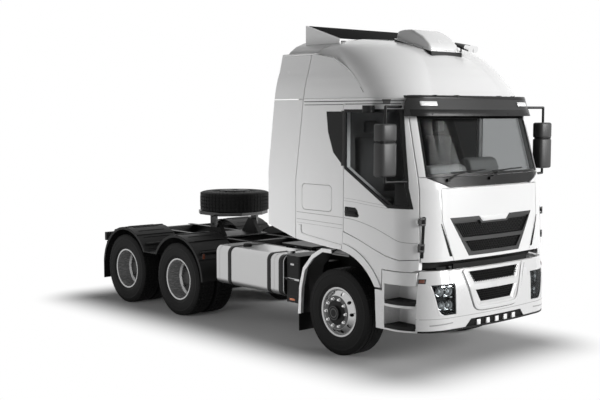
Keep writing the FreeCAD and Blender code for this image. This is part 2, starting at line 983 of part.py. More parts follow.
def hinge_arm():
    """Left-hand arm from the cab's floor down to its front pivot."""
    half = d.hinge_arm_width / 2
    low_y = d.hinge_lug_half_spacing - d.hinge_lug_thickness - d.joint_gap - d.hinge_arm_thickness / 2
    top = d.floor_bottom
    arm = side_prism([(d.hinge_x - half, d.hinge_height), (d.hinge_x + half, d.hinge_height),
                      (d.hinge_x + half - d.hinge_arm_lean, top),
                      (d.hinge_x - 2 * half - d.hinge_arm_lean, top)],
                     low_y, low_y + d.hinge_arm_thickness)
    eye = Part.makeCylinder(half, d.hinge_arm_thickness, Vector(d.hinge_x, low_y, d.hinge_height),
                            Vector(0, 1, 0))
    bore = Part.makeCylinder(d.hinge_pin_radius + d.pin_clearance, 2 * d.hinge_lug_half_spacing,
                             Vector(d.hinge_x, 0, d.hinge_height), Vector(0, 1, 0))
    return arm.fuse(eye).cut(bore)


def recess(zone, depth):
    """Tool that cuts a zone of the cab down to a depth under its hull."""
    return zone.cut(body_hull(depth))


def flap_stops():
    """Two stops on the left of the nose, on which the closed flap rests."""
    half = d.hinge_arm_width / 2
    stops = []
    for share in STOP_SHARES:
        z = d.grille_top + share * (d.cowl_bottom - d.grille_top)
        stops.append(cuboid((0, 2 * d.front_overhang), (d.flap_stop_half - half, d.flap_stop_half + half),
                            (z - half, z + half)))
    return Part.makeCompound(stops)


def cab_shell():
    """Floor, walls, pillars and header of the cab, with its door and glass openings."""
    wide = (-2 * d.cab_half_width, 2 * d.cab_half_width)
    long = (2 * d.cab_rear_x, 2 * d.front_overhang)
    inner = body_hull(d.cab_wall)
    floor_top = d.floor_bottom + d.floor_thickness
    shell = body_hull()
    shell = shell.cut(inner.common(cuboid(long, wide, (floor_top, d.seam_height))))
    shell = shell.cut(inner.common(cuboid(long, wide, (d.hull_bottom, d.floor_bottom))))
    shell = shell.cut(cuboid((d.arch_seam_x, long[1]), wide, (d.hull_bottom, d.skirt_bottom)))
    shell = shell.cut(side_prism([(long[0], d.hull_bottom), (long[0], d.side_rear_bottom),
                                  (d.cab_rear_x, d.side_rear_bottom), (d.arch_seam_x, d.side_front_bottom),
                                  (d.arch_seam_x, d.hull_bottom)], *wide))
    shell = shell.cut(arch_tool())
    seat = d.seat_clearance
    behind = side_prism([(d.door_front_x, d.hull_bottom), (d.door_front_x, d.door_front_bottom),
                         (d.door_front_mid_x, d.door_lean_height),
                         (door_front(d.glass_bottom), d.glass_bottom),
                         (long[1], d.glass_bottom), (long[1], d.hull_bottom)], *wide)
    shell = shell.cut(recess(behind, d.skin + seat))
    low_zone = side_prism(grown(lower_panel_outline(), d.panel_gap / 2), d.door_inner_half, wide[1])
    shell = shell.cut(both(recess(low_zone, d.skin + seat)))
    flap_zone = front_prism(flap_outline(d.panel_gap), 0, long[1]).cut(both(flap_stops()))
    shell = shell.cut(recess(flap_zone, d.skin + d.joint_gap))
    side_zone = side_prism(groove_outline(), d.deflector_inner_half, wide[1])
    side_zone = side_zone.common(cuboid(long, wide, (d.hull_bottom, d.seam_height)))
    shell = shell.cut(both(recess(side_zone, d.fairing_wall + seat)))
    shell = shell.cut(both(door_prism(grown(door_outline(), d.panel_gap))))
    shell = shell.cut(windscreen_prism())
    shell = shell.cut(both(recess(door_prism(grown(quarter_outline(), seat)), d.quarter_depth + seat)))
    shell = shell.cut(both(lid_box(d.fairing_seam, d.lid_depth + seat)))
    shell = shell.cut(both(lid_box(-d.lid_depth, d.cab_wall + 1 * d.lid_depth)))
    return shell.fuse(both(hinge_arm())).removeSplitter()


def hinge_barrel(radius, low, high):
    """Upright cylinder on the left door's hinge axis."""
    return Part.makeCylinder(radius, high - low, Vector(d.door_hinge_x, d.door_hinge_out, low))


def hinge_plate(shares, low, high):
    """Upright plate of a door hinge; shares of the barrel's radius, taken from its axis."""
    points = [(d.door_hinge_x + x * d.door_hinge_radius, d.door_hinge_out + y * d.door_hinge_radius)
              for x, y in shares]
    return plan_prism(points, low, high)


def door_knuckles():
    """The door's half of its hinges: two bored barrels, each on a leaf."""
    knuckles = []
    for middle in (d.door_hinge_low, d.door_hinge_high):
        low = middle - d.door_hinge_height / 2
        high = middle + d.door_hinge_height / 2
        barrel = hinge_barrel(d.door_hinge_radius, low, high).fuse(hinge_plate(DOOR_LEAF_SHARES, low, high))
        knuckles.append(barrel.cut(hinge_barrel(d.door_hinge_pin + d.pin_clearance, low, high)))
    return knuckles


def door_pins():
    """The cab's half of the hinges: a pin between two bosses, each on an arm."""
    pins = []
    for middle in (d.door_hinge_low, d.door_hinge_high):
        reach = d.door_hinge_height + d.hinge_boss_gap
        pin = hinge_barrel(d.door_hinge_pin, middle - reach, middle + reach)
        for low in (middle - reach, middle + reach - d.door_hinge_height / 2):
            high = low + d.door_hinge_height / 2
            arm = hinge_plate(PANEL_ARM_SHARES, low, high).cut(body_hull(d.skin))
            pin = pin.fuse([hinge_barrel(d.door_hinge_radius, low, high), arm])
        pins.append(pin)
    return pins


def outer_panels():
    """Corner panels beside the flap, and the panels under the doors with their flares."""
    skin = ring_skin(d.skin)
    gap = d.panel_gap
    corner = [
        (d.flap_bottom_half + gap, d.flap_bottom),
        (d.flap_mid_half + gap, d.flap_mid_height),
        (d.flap_mid_half + gap, d.cowl_bottom),
        (d.cowl_drop_half + 2 * gap, d.cowl_bottom),
        (d.cowl_half, d.corner_top - gap),
        (d.cowl_half, d.corner_top),
        (2 * d.cab_half_width, d.corner_top),
        (2 * d.cab_half_width, d.flap_bottom),
    ]
    behind = [(d.door_front_x + gap, d.flap_bottom), (d.door_front_x + gap, d.door_front_bottom),
              (d.door_front_mid_x + gap, d.door_lean_height), (door_front(d.corner_top) + gap, d.corner_top),
              (2 * d.front_overhang, d.corner_top), (2 * d.front_overhang, d.flap_bottom)]
    panel = skin.common(front_prism(corner, 0, 2 * d.front_overhang))
    panel = panel.common(side_prism(behind, 0, 2 * d.cab_half_width)).fuse(door_pins())
    low = skin.common(side_prism(lower_panel_outline(), d.door_inner_half, 2 * d.cab_half_width))
    flare = arc_band((0, d.tyre_radius), d.arch_radius, d.flare_radius, d.flare_start, d.flare_stop,
                     d.cab_half_width - d.skin, d.cab_half_width + d.flare_proud)
    keep = cuboid((d.arch_seam_x, d.flare_front_x), (0, 2 * d.cab_half_width),
                  (d.flare_bottom, d.door_rear_bottom))
    low = low.fuse(flare.common(keep)).cut([arch_tool(), swing_space()]).removeSplitter()
    return Part.makeCompound([both(panel), both(low)])


def door_shell(side):
    """Door panel as thick as the wall, with its window cut out."""
    door = ring_skin(d.cab_wall - d.joint_gap).common(door_prism(door_outline(), -d.joint_gap))
    frame = door_prism(grown(window_outline(), d.window_frame + d.seat_clearance), d.cab_wall)
    door = door.cut(ring_skin(d.trim_depth + d.seat_clearance).common(frame))
    door = door.cut(door_prism(window_outline(), d.cab_wall)).fuse(door_knuckles())
    return on_side(door, side)


def mirror_set():
    """Main and wide-angle mirror housings on two arms, with a small look-down mirror."""
    hull = body_hull(-d.seat_clearance)
    y = (d.mirror_out - d.mirror_width, d.mirror_out)
    x = (d.mirror_front_x - d.mirror_depth, d.mirror_front_x)
    low = rounded(cuboid(x, y, (d.mirror_low, d.mirror_mid)), d.mirror_edge, is_upright)
    high = rounded(cuboid(x, y, (d.mirror_mid + d.joint_gap, d.mirror_top)), d.mirror_edge, is_upright)
    mid = Vector((x[0] + x[1]) / 2, (y[0] + y[1]) / 2, 0)
    ends = (Vector(0, 0, d.mirror_arm_bottom), Vector(0, 0, d.mirror_arm_top))
    parts = [high, rod(mid + ends[0], mid + ends[1], d.mirror_arm_radius)]
    for end in ends:
        foot = Vector(door_front(end.z) - d.mirror_foot, d.door_inner_half, end.z)
        parts.append(rod(foot, mid + end, d.mirror_arm_radius).cut(hull))
        parts.append(Part.makeSphere(d.mirror_arm_radius, mid + end))
    return low.fuse(parts)


def look_mirror():
    """Small mirror that looks down from above the door, on its own stem."""
    half = d.mirror_depth / 2
    out = d.look_mirror_out
    small = cuboid((d.look_mirror_x - half, d.look_mirror_x + half), (out - d.mirror_width / 2, out),
                   (d.mirror_arm_top - half, d.mirror_arm_top + d.mirror_arm_radius))
    small = rounded(small, d.mirror_edge, is_upright)
    start = Vector(d.look_mirror_x, d.door_inner_half, d.mirror_arm_top)
    stem = rod(start, start + Vector(0, out - d.mirror_width / 4 - start.y, -d.mirror_arm_radius),
               d.mirror_arm_radius)
    return small.fuse(stem.cut(body_hull(-d.seat_clearance)))


def door_trim(side):
    """Dark surround of the door's window, and the mirrors on their arms."""
    surround = ring_skin(d.trim_depth).common(door_prism(grown(window_outline(), d.window_frame), d.cab_wall))
    surround = surround.cut(door_prism(window_outline(), d.cab_wall))
    return on_side(Part.makeCompound([surround, mirror_set(), look_mirror()]), side)


def door_glass(side):
    """Pane in the door's window."""
    pane = ring_skin(d.door_glass_thickness, d.door_glass_thickness)
    return on_side(pane.common(door_prism(grown(window_outline(), -d.seat_clearance), d.cab_wall)), side)


def locker_lid(side):
    """Lid of the outside locker in the cab's side."""
    return on_side(lid_box(0, d.lid_depth), side)


def grille_outline(grow=0):
    """Corners of the grille's opening in Y and Z."""
    return [(-d.grille_bottom_half - grow, d.grille_bottom - grow),
            (d.grille_bottom_half + grow, d.grille_bottom - grow),
            (d.grille_top_half + grow, d.grille_top + grow), (-d.grille_top_half - grow, d.grille_top + grow)]


def badge_tab(grow=0):
    """Bare tab that reaches down into the grille's top edge."""
    half = d.tab_half + grow
    drop = d.grille_top - d.tab_drop - grow
    return front_prism([(-half, d.grille_top), (half, d.grille_top), (half - d.tab_drop, drop),
                        (-half + d.tab_drop, drop)],
                       0, 2 * d.front_overhang)


def front_flap():
    """Painted flap over the cab's nose, with the grille's opening."""
    flap = ring_skin(d.skin).common(front_prism(flap_outline(), d.door_front_x / 2, 2 * d.front_overhang))
    opening = front_prism(grille_outline(), 0, 2 * d.front_overhang).cut(badge_tab())
    return flap.cut(opening)


def grille():
    """Dark grille frame with a middle bar and a mesh behind it."""
    seat = d.seat_clearance
    reach = 2 * d.front_overhang
    whole = front_prism(grille_outline(-seat), 0, reach).cut(badge_tab(seat))
    inner = front_prism(grille_outline(-d.grille_frame), 0, reach).cut(badge_tab(d.grille_frame / 2))
    middle = (d.grille_top - d.tab_drop + d.grille_bottom) / 2
    bar = cuboid((0, reach), (-d.grille_top_half, d.grille_top_half),
                 (middle - d.grille_bar / 2, middle + d.grille_bar / 2))
    skin = ring_skin(d.skin)
    frame = skin.common(whole.cut(inner.cut(bar)))
    mesh = ring_skin(d.grille_mesh_thickness, d.skin - d.grille_mesh_thickness).common(whole)
    return frame.fuse(mesh).removeSplitter()


def cowl_and_quarters():
    """Dark strip under the windscreen and the dark quarters behind the doors."""
    low = d.cowl_bottom + d.cowl_gap
    high = d.glass_bottom - d.cowl_gap
    strip = ring_skin(d.skin).common(front_prism([(-d.cowl_drop_half, low), (d.cowl_drop_half, low),
                                                  (d.cowl_half - d.panel_gap,
                                                   high), (d.panel_gap - d.cowl_half, high)],
                                                 0, 2 * d.front_overhang))
    quarter = ring_skin(d.quarter_depth).common(door_prism(quarter_outline()))
    return Part.makeCompound([strip, both(quarter)])


def windscreen():
    """Curved pane of the windscreen."""
    return ring_skin(d.windscreen_thickness, d.windscreen_inset).common(windscreen_prism(d.seat_clearance))


def cab_roof():
    """High roof as one hollow moulding, stepped in where the fairing covers it."""
    wide = 2 * d.cab_half_width
    outer = roof_hull()
    shell = outer.cut(roof_hull(d.roof_wall))
    step = outer.cut(roof_hull(d.fairing_wall + d.seat_clearance)).common(side_prism
                                                                          (groove_outline(), -wide, wide))
    return shell.cut(step)


def roof_fairing():
    """Rear part of the roof's skin, with the inclined plate and its cheeks on top."""
    wide = 2 * d.cab_half_width
    rear = 2 * d.fairing_rear_x
    shell = roof_hull(0, rear).cut(roof_hull(d.fairing_wall, rear))
    gap = d.panel_gap
    deep = d.groove_low_x - d.deflector_shoulder_rear_x
    outline_points = [
        (d.groove_seam_x - gap, d.seam_height + gap),
        (d.groove_shoulder_x - gap, d.shoulder_height),
        (d.wing_front_x - gap, d.dome_top),
        (d.wing_front_x - gap, d.wing_top),
        (d.groove_low_x, d.wing_top),
    ]
    for along, up in reversed(FAIRING_TOP_SHARES):
        outline_points.append((d.deflector_shoulder_rear_x + along * deep,
                               d.shoulder_height + up * (d.dome_top - d.shoulder_height)))
    outline_points += [(d.deflector_shoulder_rear_x, d.shoulder_height),
                       (d.deflector_seam_rear_x, d.seam_height + gap)]
    skin = shell.common(side_prism(outline_points, -wide, wide))
    front = d.wing_front_x - gap
    ramp = side_prism([(front, d.wing_front_height), (d.wing_rear_x, d.wing_top),
                       (d.wing_rear_x, d.wing_top - d.wing_thickness),
                       (front, d.wing_front_height - d.wing_thickness)], -d.wing_half, d.wing_half)
    cheek = side_prism([(front, d.cheek_low), (front, d.wing_front_height), (d.wing_rear_x, d.wing_top),
                        (d.wing_rear_x, d.cheek_low)], d.wing_half - d.wing_thickness, d.wing_half)
    blades = ramp.fuse(both(cheek))
    ahead = roof_hull(-d.seat_clearance, rear).cut(side_prism(outline_points, -wide, wide))
    blades = blades.cut([roof_hull(d.fairing_wall / 2, rear), ahead])
    return skin.fuse(blades).removeSplitter()


def side_deflectors():
    """Panels behind the cab's sides, each held by three brackets on the rear wall."""
    rear = 2 * d.deflector_rear_x
    gap = d.panel_gap
    points = [
        (d.groove_low_x - gap, d.side_rear_bottom),
        (d.groove_low_x - gap, d.groove_bend_height),
        (d.groove_seam_x - gap, d.seam_height - gap / 2),
        (d.deflector_seam_rear_x, d.seam_height - gap / 2),
        (d.deflector_rear_x, d.deflector_kink),
        (d.deflector_rear_x, d.deflector_rear_bottom),
    ]
    panel = ring_skin(d.fairing_wall, 0,
                      rear).common(side_prism(points, d.deflector_inner_half, 2 * d.cab_half_width))
    width = d.deflector_bracket
    inner = d.cab_half_width - d.fairing_wall
    for share in BRACKET_SHARES:
        z = d.deflector_rear_bottom + share * (d.seam_height - d.deflector_rear_bottom)
        x = d.cab_rear_x - d.seat_clearance
        foot = cuboid((x - d.fairing_wall, x), (inner - d.deflector_bracket_reach, inner), (z, z + width))
        arm = cuboid((x - d.deflector_bracket_reach, x),
                     (inner - d.fairing_wall, inner + d.fairing_wall / 2), (z, z + width))
        panel = panel.fuse([foot, arm])
    return both(panel.removeSplitter())


def sun_visor():
    """Dark visor that wraps the top of the windscreen, on short brackets."""
    low = d.seam_height - d.visor_drop

    def hull(inset):
        wires = []
        for z, nose in ((low, d.hull_header_x + d.visor_lift), (d.visor_top, d.hull_seam_x)):
            wires.append(plan_wire(z, nose + d.visor_proud, d.cab_half_width, d.corner_length, d.corner_width,
                                   0, inset))
        return Part.makeLoft(wires, True, True)
    ends = cuboid((d.visor_rear_x, 2 * d.front_overhang), (-d.visor_half, d.visor_half),
                  (low, d.visor_top))
    shell = hull(0).cut(hull(d.visor_thickness)).common(ends)
    block_half = d.deflector_bracket
    middle = (d.glass_top + d.seam_height) / 2
    for y in (-d.cowl_drop_half, 0, d.cowl_drop_half):
        tab = cuboid((d.visor_rear_x, 2 * d.front_overhang), (y - block_half, y + block_half),
                     (middle - block_half / 2, middle + block_half))
        shell = shell.fuse(tab.common(hull(d.visor_thickness / 2)))
    hull_out = body_hull(-d.seat_clearance).fuse(dome_hull(-d.seat_clearance))
    return shell.cut(hull_out).removeSplitter()


def roof_box():
    """Housing on the roof above the front of the cab."""
    low = d.box_front_low - d.box_sink
    box = side_prism([(d.box_rear_x, low), (d.box_rear_x, d.box_rear_top), (d.box_crest_x, d.box_mid_top),
                      (d.box_nose_x, d.box_front_top), (d.box_nose_x, low)], -d.box_half, d.box_half)
    return box.cut(roof_hull(-d.seat_clearance))


def air_horns():
    """Two trumpets beside the roof box, each on a foot."""
    horns = []
    for index in range(int(d.horn_count)):
        y = d.horn_y + index * d.horn_spacing
        bell = Vector(d.horn_x + d.horn_length, y, d.horn_z)
        tail = Vector(d.horn_x, y, d.horn_z + d.horn_rise)
        foot = tail + (bell - tail) * FOOT_SHARE
        horns.append(rod(tail, bell, d.horn_tail_radius, d.horn_bell_radius))
        horns.append(rod(foot - Vector(0, 0, d.horn_length), foot, d.horn_tail_radius))
    whole = horns[0].fuse(horns[1:])
    return whole.cut(roof_hull(-d.seat_clearance)).removeSplitter()


def interior_seats():
    """Two seats, each one soft solid with a backrest and a head restraint."""
    seats = []
    floor = d.floor_bottom + d.floor_thickness + d.seat_clearance
    for y in (-d.seat_half_spacing, d.seat_half_spacing):
        low = (y - d.seat_width / 2, y + d.seat_width / 2)
        back_x = d.seat_x - d.seat_length / 2
        top = floor + d.seat_stand + d.seat_height
        stand = cuboid((back_x + d.seat_edge, d.seat_x + d.seat_edge),
                       (y - d.seat_width / 4, y + d.seat_width / 4),
                       (floor, floor + d.seat_stand))
        cushion = rounded(cuboid((back_x, back_x + d.seat_length), low, (floor + d.seat_stand, top)),
                          d.seat_edge, is_upright)
        back = cuboid((back_x - d.seat_back_thickness, back_x), low,
                      (floor + d.seat_stand, top + d.seat_back_height))
        back = rounded(back, d.seat_edge, is_lengthwise)
        head = cuboid((back_x - d.seat_back_thickness * HEAD_SHARE, back_x - d.seat_edge),
                      (y - d.seat_width / 4, y + d.seat_width / 4),
                      (top + d.seat_back_height - d.seat_edge, top + d.seat_back_height + d.seat_head_height))
        seats.append(stand.fuse([cushion, back, head]))
    return Part.makeCompound(seats)


def bunk():
    """Bunk along the cab's rear wall."""
    seat = d.seat_clearance
    floor = d.floor_bottom + d.floor_thickness
    x = d.cab_rear_x + d.cab_wall + seat
    half = d.cab_half_width - d.cab_wall - d.lid_depth
    box = cuboid((x, x + d.bunk_length), (-half, half), (floor + seat, floor + seat + d.bunk_height))
    return rounded(box, d.bunk_edge, lambda e: is_crosswise(e) and e.CenterOfMass.z > floor + d.bunk_edge)


def dashboard():
    """Dashboard across the front of the cab, shaped to the hull."""
    wide = (-2 * d.cab_half_width, 2 * d.cab_half_width)
    slab = side_prism([(d.dash_rear_x, d.dash_bottom), (d.dash_rear_x + d.dash_slope, d.dash_top),
                       (2 * d.front_overhang, d.dash_top + d.dash_rise),
                       (2 * d.front_overhang, d.floor_bottom),
                       (d.dash_foot_x, d.floor_bottom)], *wide)
    inner = body_hull(d.cab_wall + d.seat_clearance)
    above = cuboid((0, 2 * d.front_overhang), wide,
                   (d.floor_bottom + d.floor_thickness + d.seat_clearance, d.glass_top))
    dash = slab.common(inner).common(above)
    return dash.cut(both(door_prism(grown(door_outline(), 2 * d.panel_gap))))


def steering_wheel():
    """Steering wheel with three spokes on a column that ends at the dashboard."""
    axis = Vector(math.sin(math.radians(d.wheel_tilt)), 0, -math.cos(math.radians(d.wheel_tilt)))
    centre = Vector(d.wheel_x, d.wheel_y, d.wheel_z)
    rim = Part.makeTorus(d.wheel_radius, d.wheel_rim, centre, axis)
    hub = rod(centre - axis * d.wheel_rim, centre + axis * d.column_radius, d.column_radius * 2)
    column = rod(centre, centre + axis * d.column_length, d.column_radius)
    spokes = []
    for angle in SPOKE_ANGLES:
        across = Vector(0, 1, 0) * math.cos(math.radians(angle))
        along = axis.cross(Vector(0, 1, 0)) * math.sin(math.radians(angle))
        spokes.append(rod(centre, centre + (across + along) * d.wheel_radius, d.wheel_rim * SPOKE_SHARE))
    whole = rim.fuse([hub, column] + spokes)
    return whole.cut(dashboard_grown())


def dashboard_grown():
    """The dashboard's space with a seat's clearance, for what ends on it."""
    wide = (-2 * d.cab_half_width, 2 * d.cab_half_width)
    seat = d.seat_clearance
    return side_prism([(d.dash_rear_x - seat, d.dash_bottom),
                       (d.dash_rear_x + d.dash_slope - seat, d.dash_top + seat),
                       (2 * d.front_overhang, d.dash_top + d.dash_rise + seat),
                       (2 * d.front_overhang, d.floor_bottom),
                       (d.dash_foot_x, d.floor_bottom)], *wide)


def tyre_corners():
    """Half of the tyre's section out to its lugs, then the other half."""
    half = [
        ("bead_radius + seat_clearance", "bead_half_width - seat_clearance"),
        ("rim_flange_radius + seat_clearance", "bead_half_width - seat_clearance"),
        ("sidewall_low_radius", "sidewall_low_half"),
        ("sidewall_mid_radius", "tyre_width / 2"),
        ("tyre_shoulder_radius", "tyre_shoulder_half"),
        ("tyre_radius", "tread_half_width"),
    ]
    return half + [(r, f"-({y})") for r, y in reversed(half)]


def rim_corners():
    """Section of a disc wheel: barrel, flanges, cone and the flat land of the disc."""
    land = "disc_offset - disc_thickness"
    lip = "rim_half_width - rim_flange_thickness"
    inside = "bead_radius - rim_barrel_thickness"
    return [
        ("rim_flange_radius", "rim_half_width"), ("rim_flange_radius", lip), ("bead_radius", lip),
        ("bead_radius", f"-({lip})"), ("rim_flange_radius", f"-({lip})"),
        ("rim_flange_radius", "-rim_half_width"),
        (inside, "-rim_half_width"), (inside, "disc_root_height"), ("disc_land_radius", land),
        ("disc_bore_radius", land), ("disc_bore_radius",
                                     "disc_offset"), ("disc_land_radius + disc_thickness / 2", "disc_offset"),
        (inside, "disc_root_height + 2 * disc_thickness"), (inside, "rim_half_width"),
    ]


def drilled_rim(name):
    """Disc wheel with its ring of hand holes."""
    body = turned(name, rim_corners())
    DOC.recompute()
    sketch = body.newObject("Sketcher::SketchObject", name + "_hole")
    sketch.AttachmentSupport = [(origin_part(body, "XZ_Plane"), "")]
    sketch.MapMode = "FlatFace"
    sketch.addGeometry(Part.Circle(Vector(d.hand_hole_circle, 0, 0), Vector(0, 0, 1), d.hand_hole_radius))
    for kind, args, text in (("DistanceX", (-1, 1, 0, 3), "hand_hole_circle"),
                             ("Radius", (0,), "hand_hole_radius")):
        index = sketch.addConstraint(Sketcher.Constraint(kind, *args, val(text)))
        sketch.setExpression(f"Constraints[{index}]", expr(text))
    sketch.addConstraint(Sketcher.Constraint("PointOnObject", 0, 3, -1))
    pocket = body.newObject("PartDesign::Pocket", name + "_holes")
    pocket.Profile = sketch
    pocket.Midplane = True
    pocket.Type = "Length"
    pocket.setExpression("Length", expr("4 * disc_offset"))
    pattern = body.newObject("PartDesign::PolarPattern", name + "_ring")
    pattern.Originals = [pocket]
    pattern.Axis = (origin_part(body, "Y_Axis"), [""])
    pattern.Angle = 360
    pattern.setExpression("Occurrences", expr("hand_hole_count"))
    body.Tip = pattern
    sketch.Visibility = False
    return body


def front_hub_corners():
    """Front hub with its bore for the spindle and a cap outside the disc."""
    bore = "spindle_radius + pin_clearance"
    inner = "disc_offset - hub_depth"
    land = "disc_offset - disc_thickness"
    return [(bore, inner), ("hub_radius", inner), ("hub_radius", land), ("disc_bore_radius", land),
            ("disc_bore_radius", "disc_offset"), ("hub_cap_radius", "disc_offset"),
            ("hub_cap_radius", "disc_offset + hub_cap_height"), ("0", "disc_offset + hub_cap_height"),
            ("0", "disc_offset - rim_barrel_thickness"), (bore, "disc_offset - rim_barrel_thickness")]


def rear_hub_corners():
    """Brake drum, hub and drive flange of a twin wheel, about the discs' joint at zero."""
    bore = "axle_spindle_radius + pin_clearance"
    drum_end = "-disc_offset - rim_half_width + drum_step"
    neck = "-disc_thickness"
    end = "hub_nose"
    return [(bore, drum_end), ("drum_radius", drum_end), ("drum_radius", f"{drum_end} + drum_width"),
            ("hub_radius", f"{drum_end} + drum_width"), ("hub_radius", neck), ("disc_bore_radius", neck),
            ("disc_bore_radius", "disc_thickness"), ("hub_radius", "disc_thickness"),
            ("hub_radius", f"{end} - drum_step"),
            ("hub_cap_radius", end), ("0", end), ("0", f"{end} - drum_step"), (bore, f"{end} - drum_step")]


def front_wheels():
    """Tyre and disc wheel with hub on each side of the steered axle."""
    for name, side in SIDES.items():
        y = f"{side} * front_track_half"
        tyre = node(f"front_tyre_{name}", turned(f"front_tyre_{name}_body", tyre_corners()), AXLE_X, y,
                    "tyre_radius")
        rim = drilled_rim(f"front_rim_{name}_disc")
        hub = turned(f"front_rim_{name}_hub", front_hub_corners())
        rim_node = node(f"front_rim_{name}", join(f"front_rim_{name}_whole", [rim, hub]), AXLE_X, y,
                        "tyre_radius")
        turn_outward(tyre, side)
        turn_outward(rim_node, side)


def turn_outward(item, side):
    """Turn a wheel about Z so that its disc faces outward."""
    item.Placement.Rotation = Rotation(Vector(0, 0, 1), 0 if side > 0 else 180)


def twin_wheels():
    """Two tyres on two disc wheels and a hub at each end of both drive axles."""
    for axle, axle_x in DRIVE_X.items():
        for name, side in SIDES.items():
            label = f"{axle}_drive"
            y = f"{side} * (rear_outer_track_half - disc_offset)"
            x = f"{AXLE_X} + {axle_x}"
            tyres = []
            rims = []
            for place_name, way in (("outer", 1), ("inner", -1)):
                stem = f"{label}_{place_name}_{name}"
                tyre = turned(f"{stem}_tyre", tyre_corners())
                tyre.setExpression("Placement.Base.y", expr(f"{way} * disc_offset"))
                rim = drilled_rim(f"{stem}_rim")
                rim.Placement.Rotation = Rotation(Vector(0, 0, 1), 180 if way > 0 else 0)
                rim.setExpression("Placement.Base.y", expr(f"{way} * disc_offset"))
                tyres.append(tyre)
                rims.append(rim)
            hub = turned(f"{label}_{name}_hub", rear_hub_corners())
            both_tyres = DOC.addObject("Part::Compound", f"{label}_{name}_tyres")
            both_tyres.Links = tyres
            whole = join(f"{label}_{name}_rims", rims + [hub])
            turn_outward(node(f"{label}_tyres_{name}", both_tyres, x, y, "tyre_radius"), side)
            turn_outward(node(f"{label}_rims_{name}", whole, x, y, "tyre_radius"), side)


def spare_wheel():
    """Spare wheel lying flat on the fifth wheel."""
    height = "fifth_plate_top + spare_gap + tyre_width / 2"
    x = f"{AXLE_X} + fifth_x"
    for label, body in (("spare_tyre", turned("spare_tyre_body", tyre_corners())),
                        ("spare_rim", drilled_rim("spare_rim_body"))):
        holder = node(label, body, x, "0", height)
        holder.Placement.Rotation = Rotation(Vector(1, 0, 0), 90)


def knuckles():
    """Fork, kingpin, spindle and arm that carry each steered wheel."""
    k = "kingpin_half_track"
    boss = "kingpin_boss_height"
    for name, side in SIDES.items():
        stem = f"knuckle_{name}"
        y = f"{side} * {k}"
        upper = block(stem + "_upper", ("knuckle_length", "knuckle_length", "knuckle_plate"),
                      ("0", y, f"tyre_radius + {boss} / 2 + joint_gap"))
        lower = block(stem + "_lower", ("knuckle_length", "knuckle_length", "knuckle_plate"),
                      ("0", y, f"tyre_radius - {boss} / 2 - joint_gap - knuckle_plate"))
        web = block(stem + "_web",
                    ("knuckle_length", "knuckle_web", f"{boss} + 2 * joint_gap + 2 * knuckle_plate"),
                    ("0", f"{side} * ({k} + knuckle_length / 2 + knuckle_web / 2)",
                     f"tyre_radius - {boss} / 2 - joint_gap - knuckle_plate"))
        pin = cylinder(stem + "_pin", "kingpin_radius", f"{boss} + 2 * joint_gap + 2 * knuckle_plate",
                       ("0", y, "tyre_radius"), "z")
        start = f"({k} + knuckle_length / 2)"
        end = "(front_track_half + disc_offset - 2 * rim_barrel_thickness)"
        spindle = cylinder(stem + "_spindle", "spindle_radius", f"{end} - {start}",
                           ("0", f"{side} * ({start} + {end}) / 2", "tyre_radius"), "y")
        arm = block(stem + "_arm", ("steer_arm_reach", "steer_arm_width", "steer_arm_thickness"),
                    ("-steer_arm_reach / 2", y, f"tyre_radius - {boss} / 2 - joint_gap - knuckle_plate"))
        node(stem, join(stem + "_whole", [upper, lower, web, pin, spindle, arm]))


def front_axle():
    """Forged drop beam with a bored eye for the kingpin at each end."""
    k = "kingpin_half_track"
    up = "tyre_radius + beam_height / 2"
    down = "tyre_radius - beam_height / 2"
    half = [(k, up), ("beam_flat_half", up + " - beam_drop")]
    low = [("beam_flat_half", down + " - beam_drop"), (k, down)]
    corners = half + [(f"-({y})", z) for y, z in reversed(half)]
    corners += [(f"-({y})", z) for y, z in reversed(low)] + low
    beam = padded("front_axle_beam", "YZ_Plane", corners, "beam_width")
    eyes = [cylinder(f"front_axle_eye_{name}", "kingpin_boss_radius", "kingpin_boss_height",
                     ("0", f"{side} * {k}", "tyre_radius"), "z") for name, side in SIDES.items()]
    bores = [cylinder(f"front_axle_bore_{name}", "kingpin_radius + pin_clearance", "2 * kingpin_boss_height",
                      ("0", f"{side} * {k}", "tyre_radius"), "z") for name, side in SIDES.items()]
    node("front_axle",
         cut("front_axle_whole", join("front_axle_solid", [beam] + eyes), join("front_axle_bores", bores)))


def drive_axles():
    """Two live axles with their final drives, and the shafts that turn them."""
    parts = []
    end = "(rear_outer_track_half - disc_offset + hub_nose - 2 * drum_step)"
    step = "(rear_outer_track_half - 2 * disc_offset - rim_half_width + drum_step - joint_gap)"
    half = [("axle_spindle_radius", end), ("axle_spindle_radius", step), ("axle_tube_radius", step),
            ("axle_tube_radius", "diff_half_width + diff_cone"), ("diff_radius", "diff_half_width")]
    corners = [("0", end)] + half + [(r, f"-{y}" if y.startswith("(") else f"-({y})") for r,
                                     y in reversed(half)] + [("0", f"-{end}")]
    for name, x in DRIVE_X.items():
        body = turned(f"{name}_drive_housing", corners)
        place(body, x, "0", "tyre_radius")
        parts.append(body)
    between = cylinder("inter_axle_shaft", "prop_radius", "bogie_spread - diff_radius",
                       (f"({DRIVE_X['front']} + {DRIVE_X['rear']}) / 2", "0", "tyre_radius"), "x")
    start = Vector(val("engine_front_x - engine_length - gearbox_length - seat_clearance"), 0, d.prop_height)
    stop = Vector(val(f"{DRIVE_X['front']} + diff_radius / 2"), 0, d.tyre_radius)
    main = shaped("prop_shaft", rod(start, stop, d.prop_radius).cut(
        cuboid((start.x, d.front_overhang), (-d.cab_half_width, d.cab_half_width), (0, d.seam_height))))
    node("drive_axles", join("drive_axles_whole", parts + [between, main]))


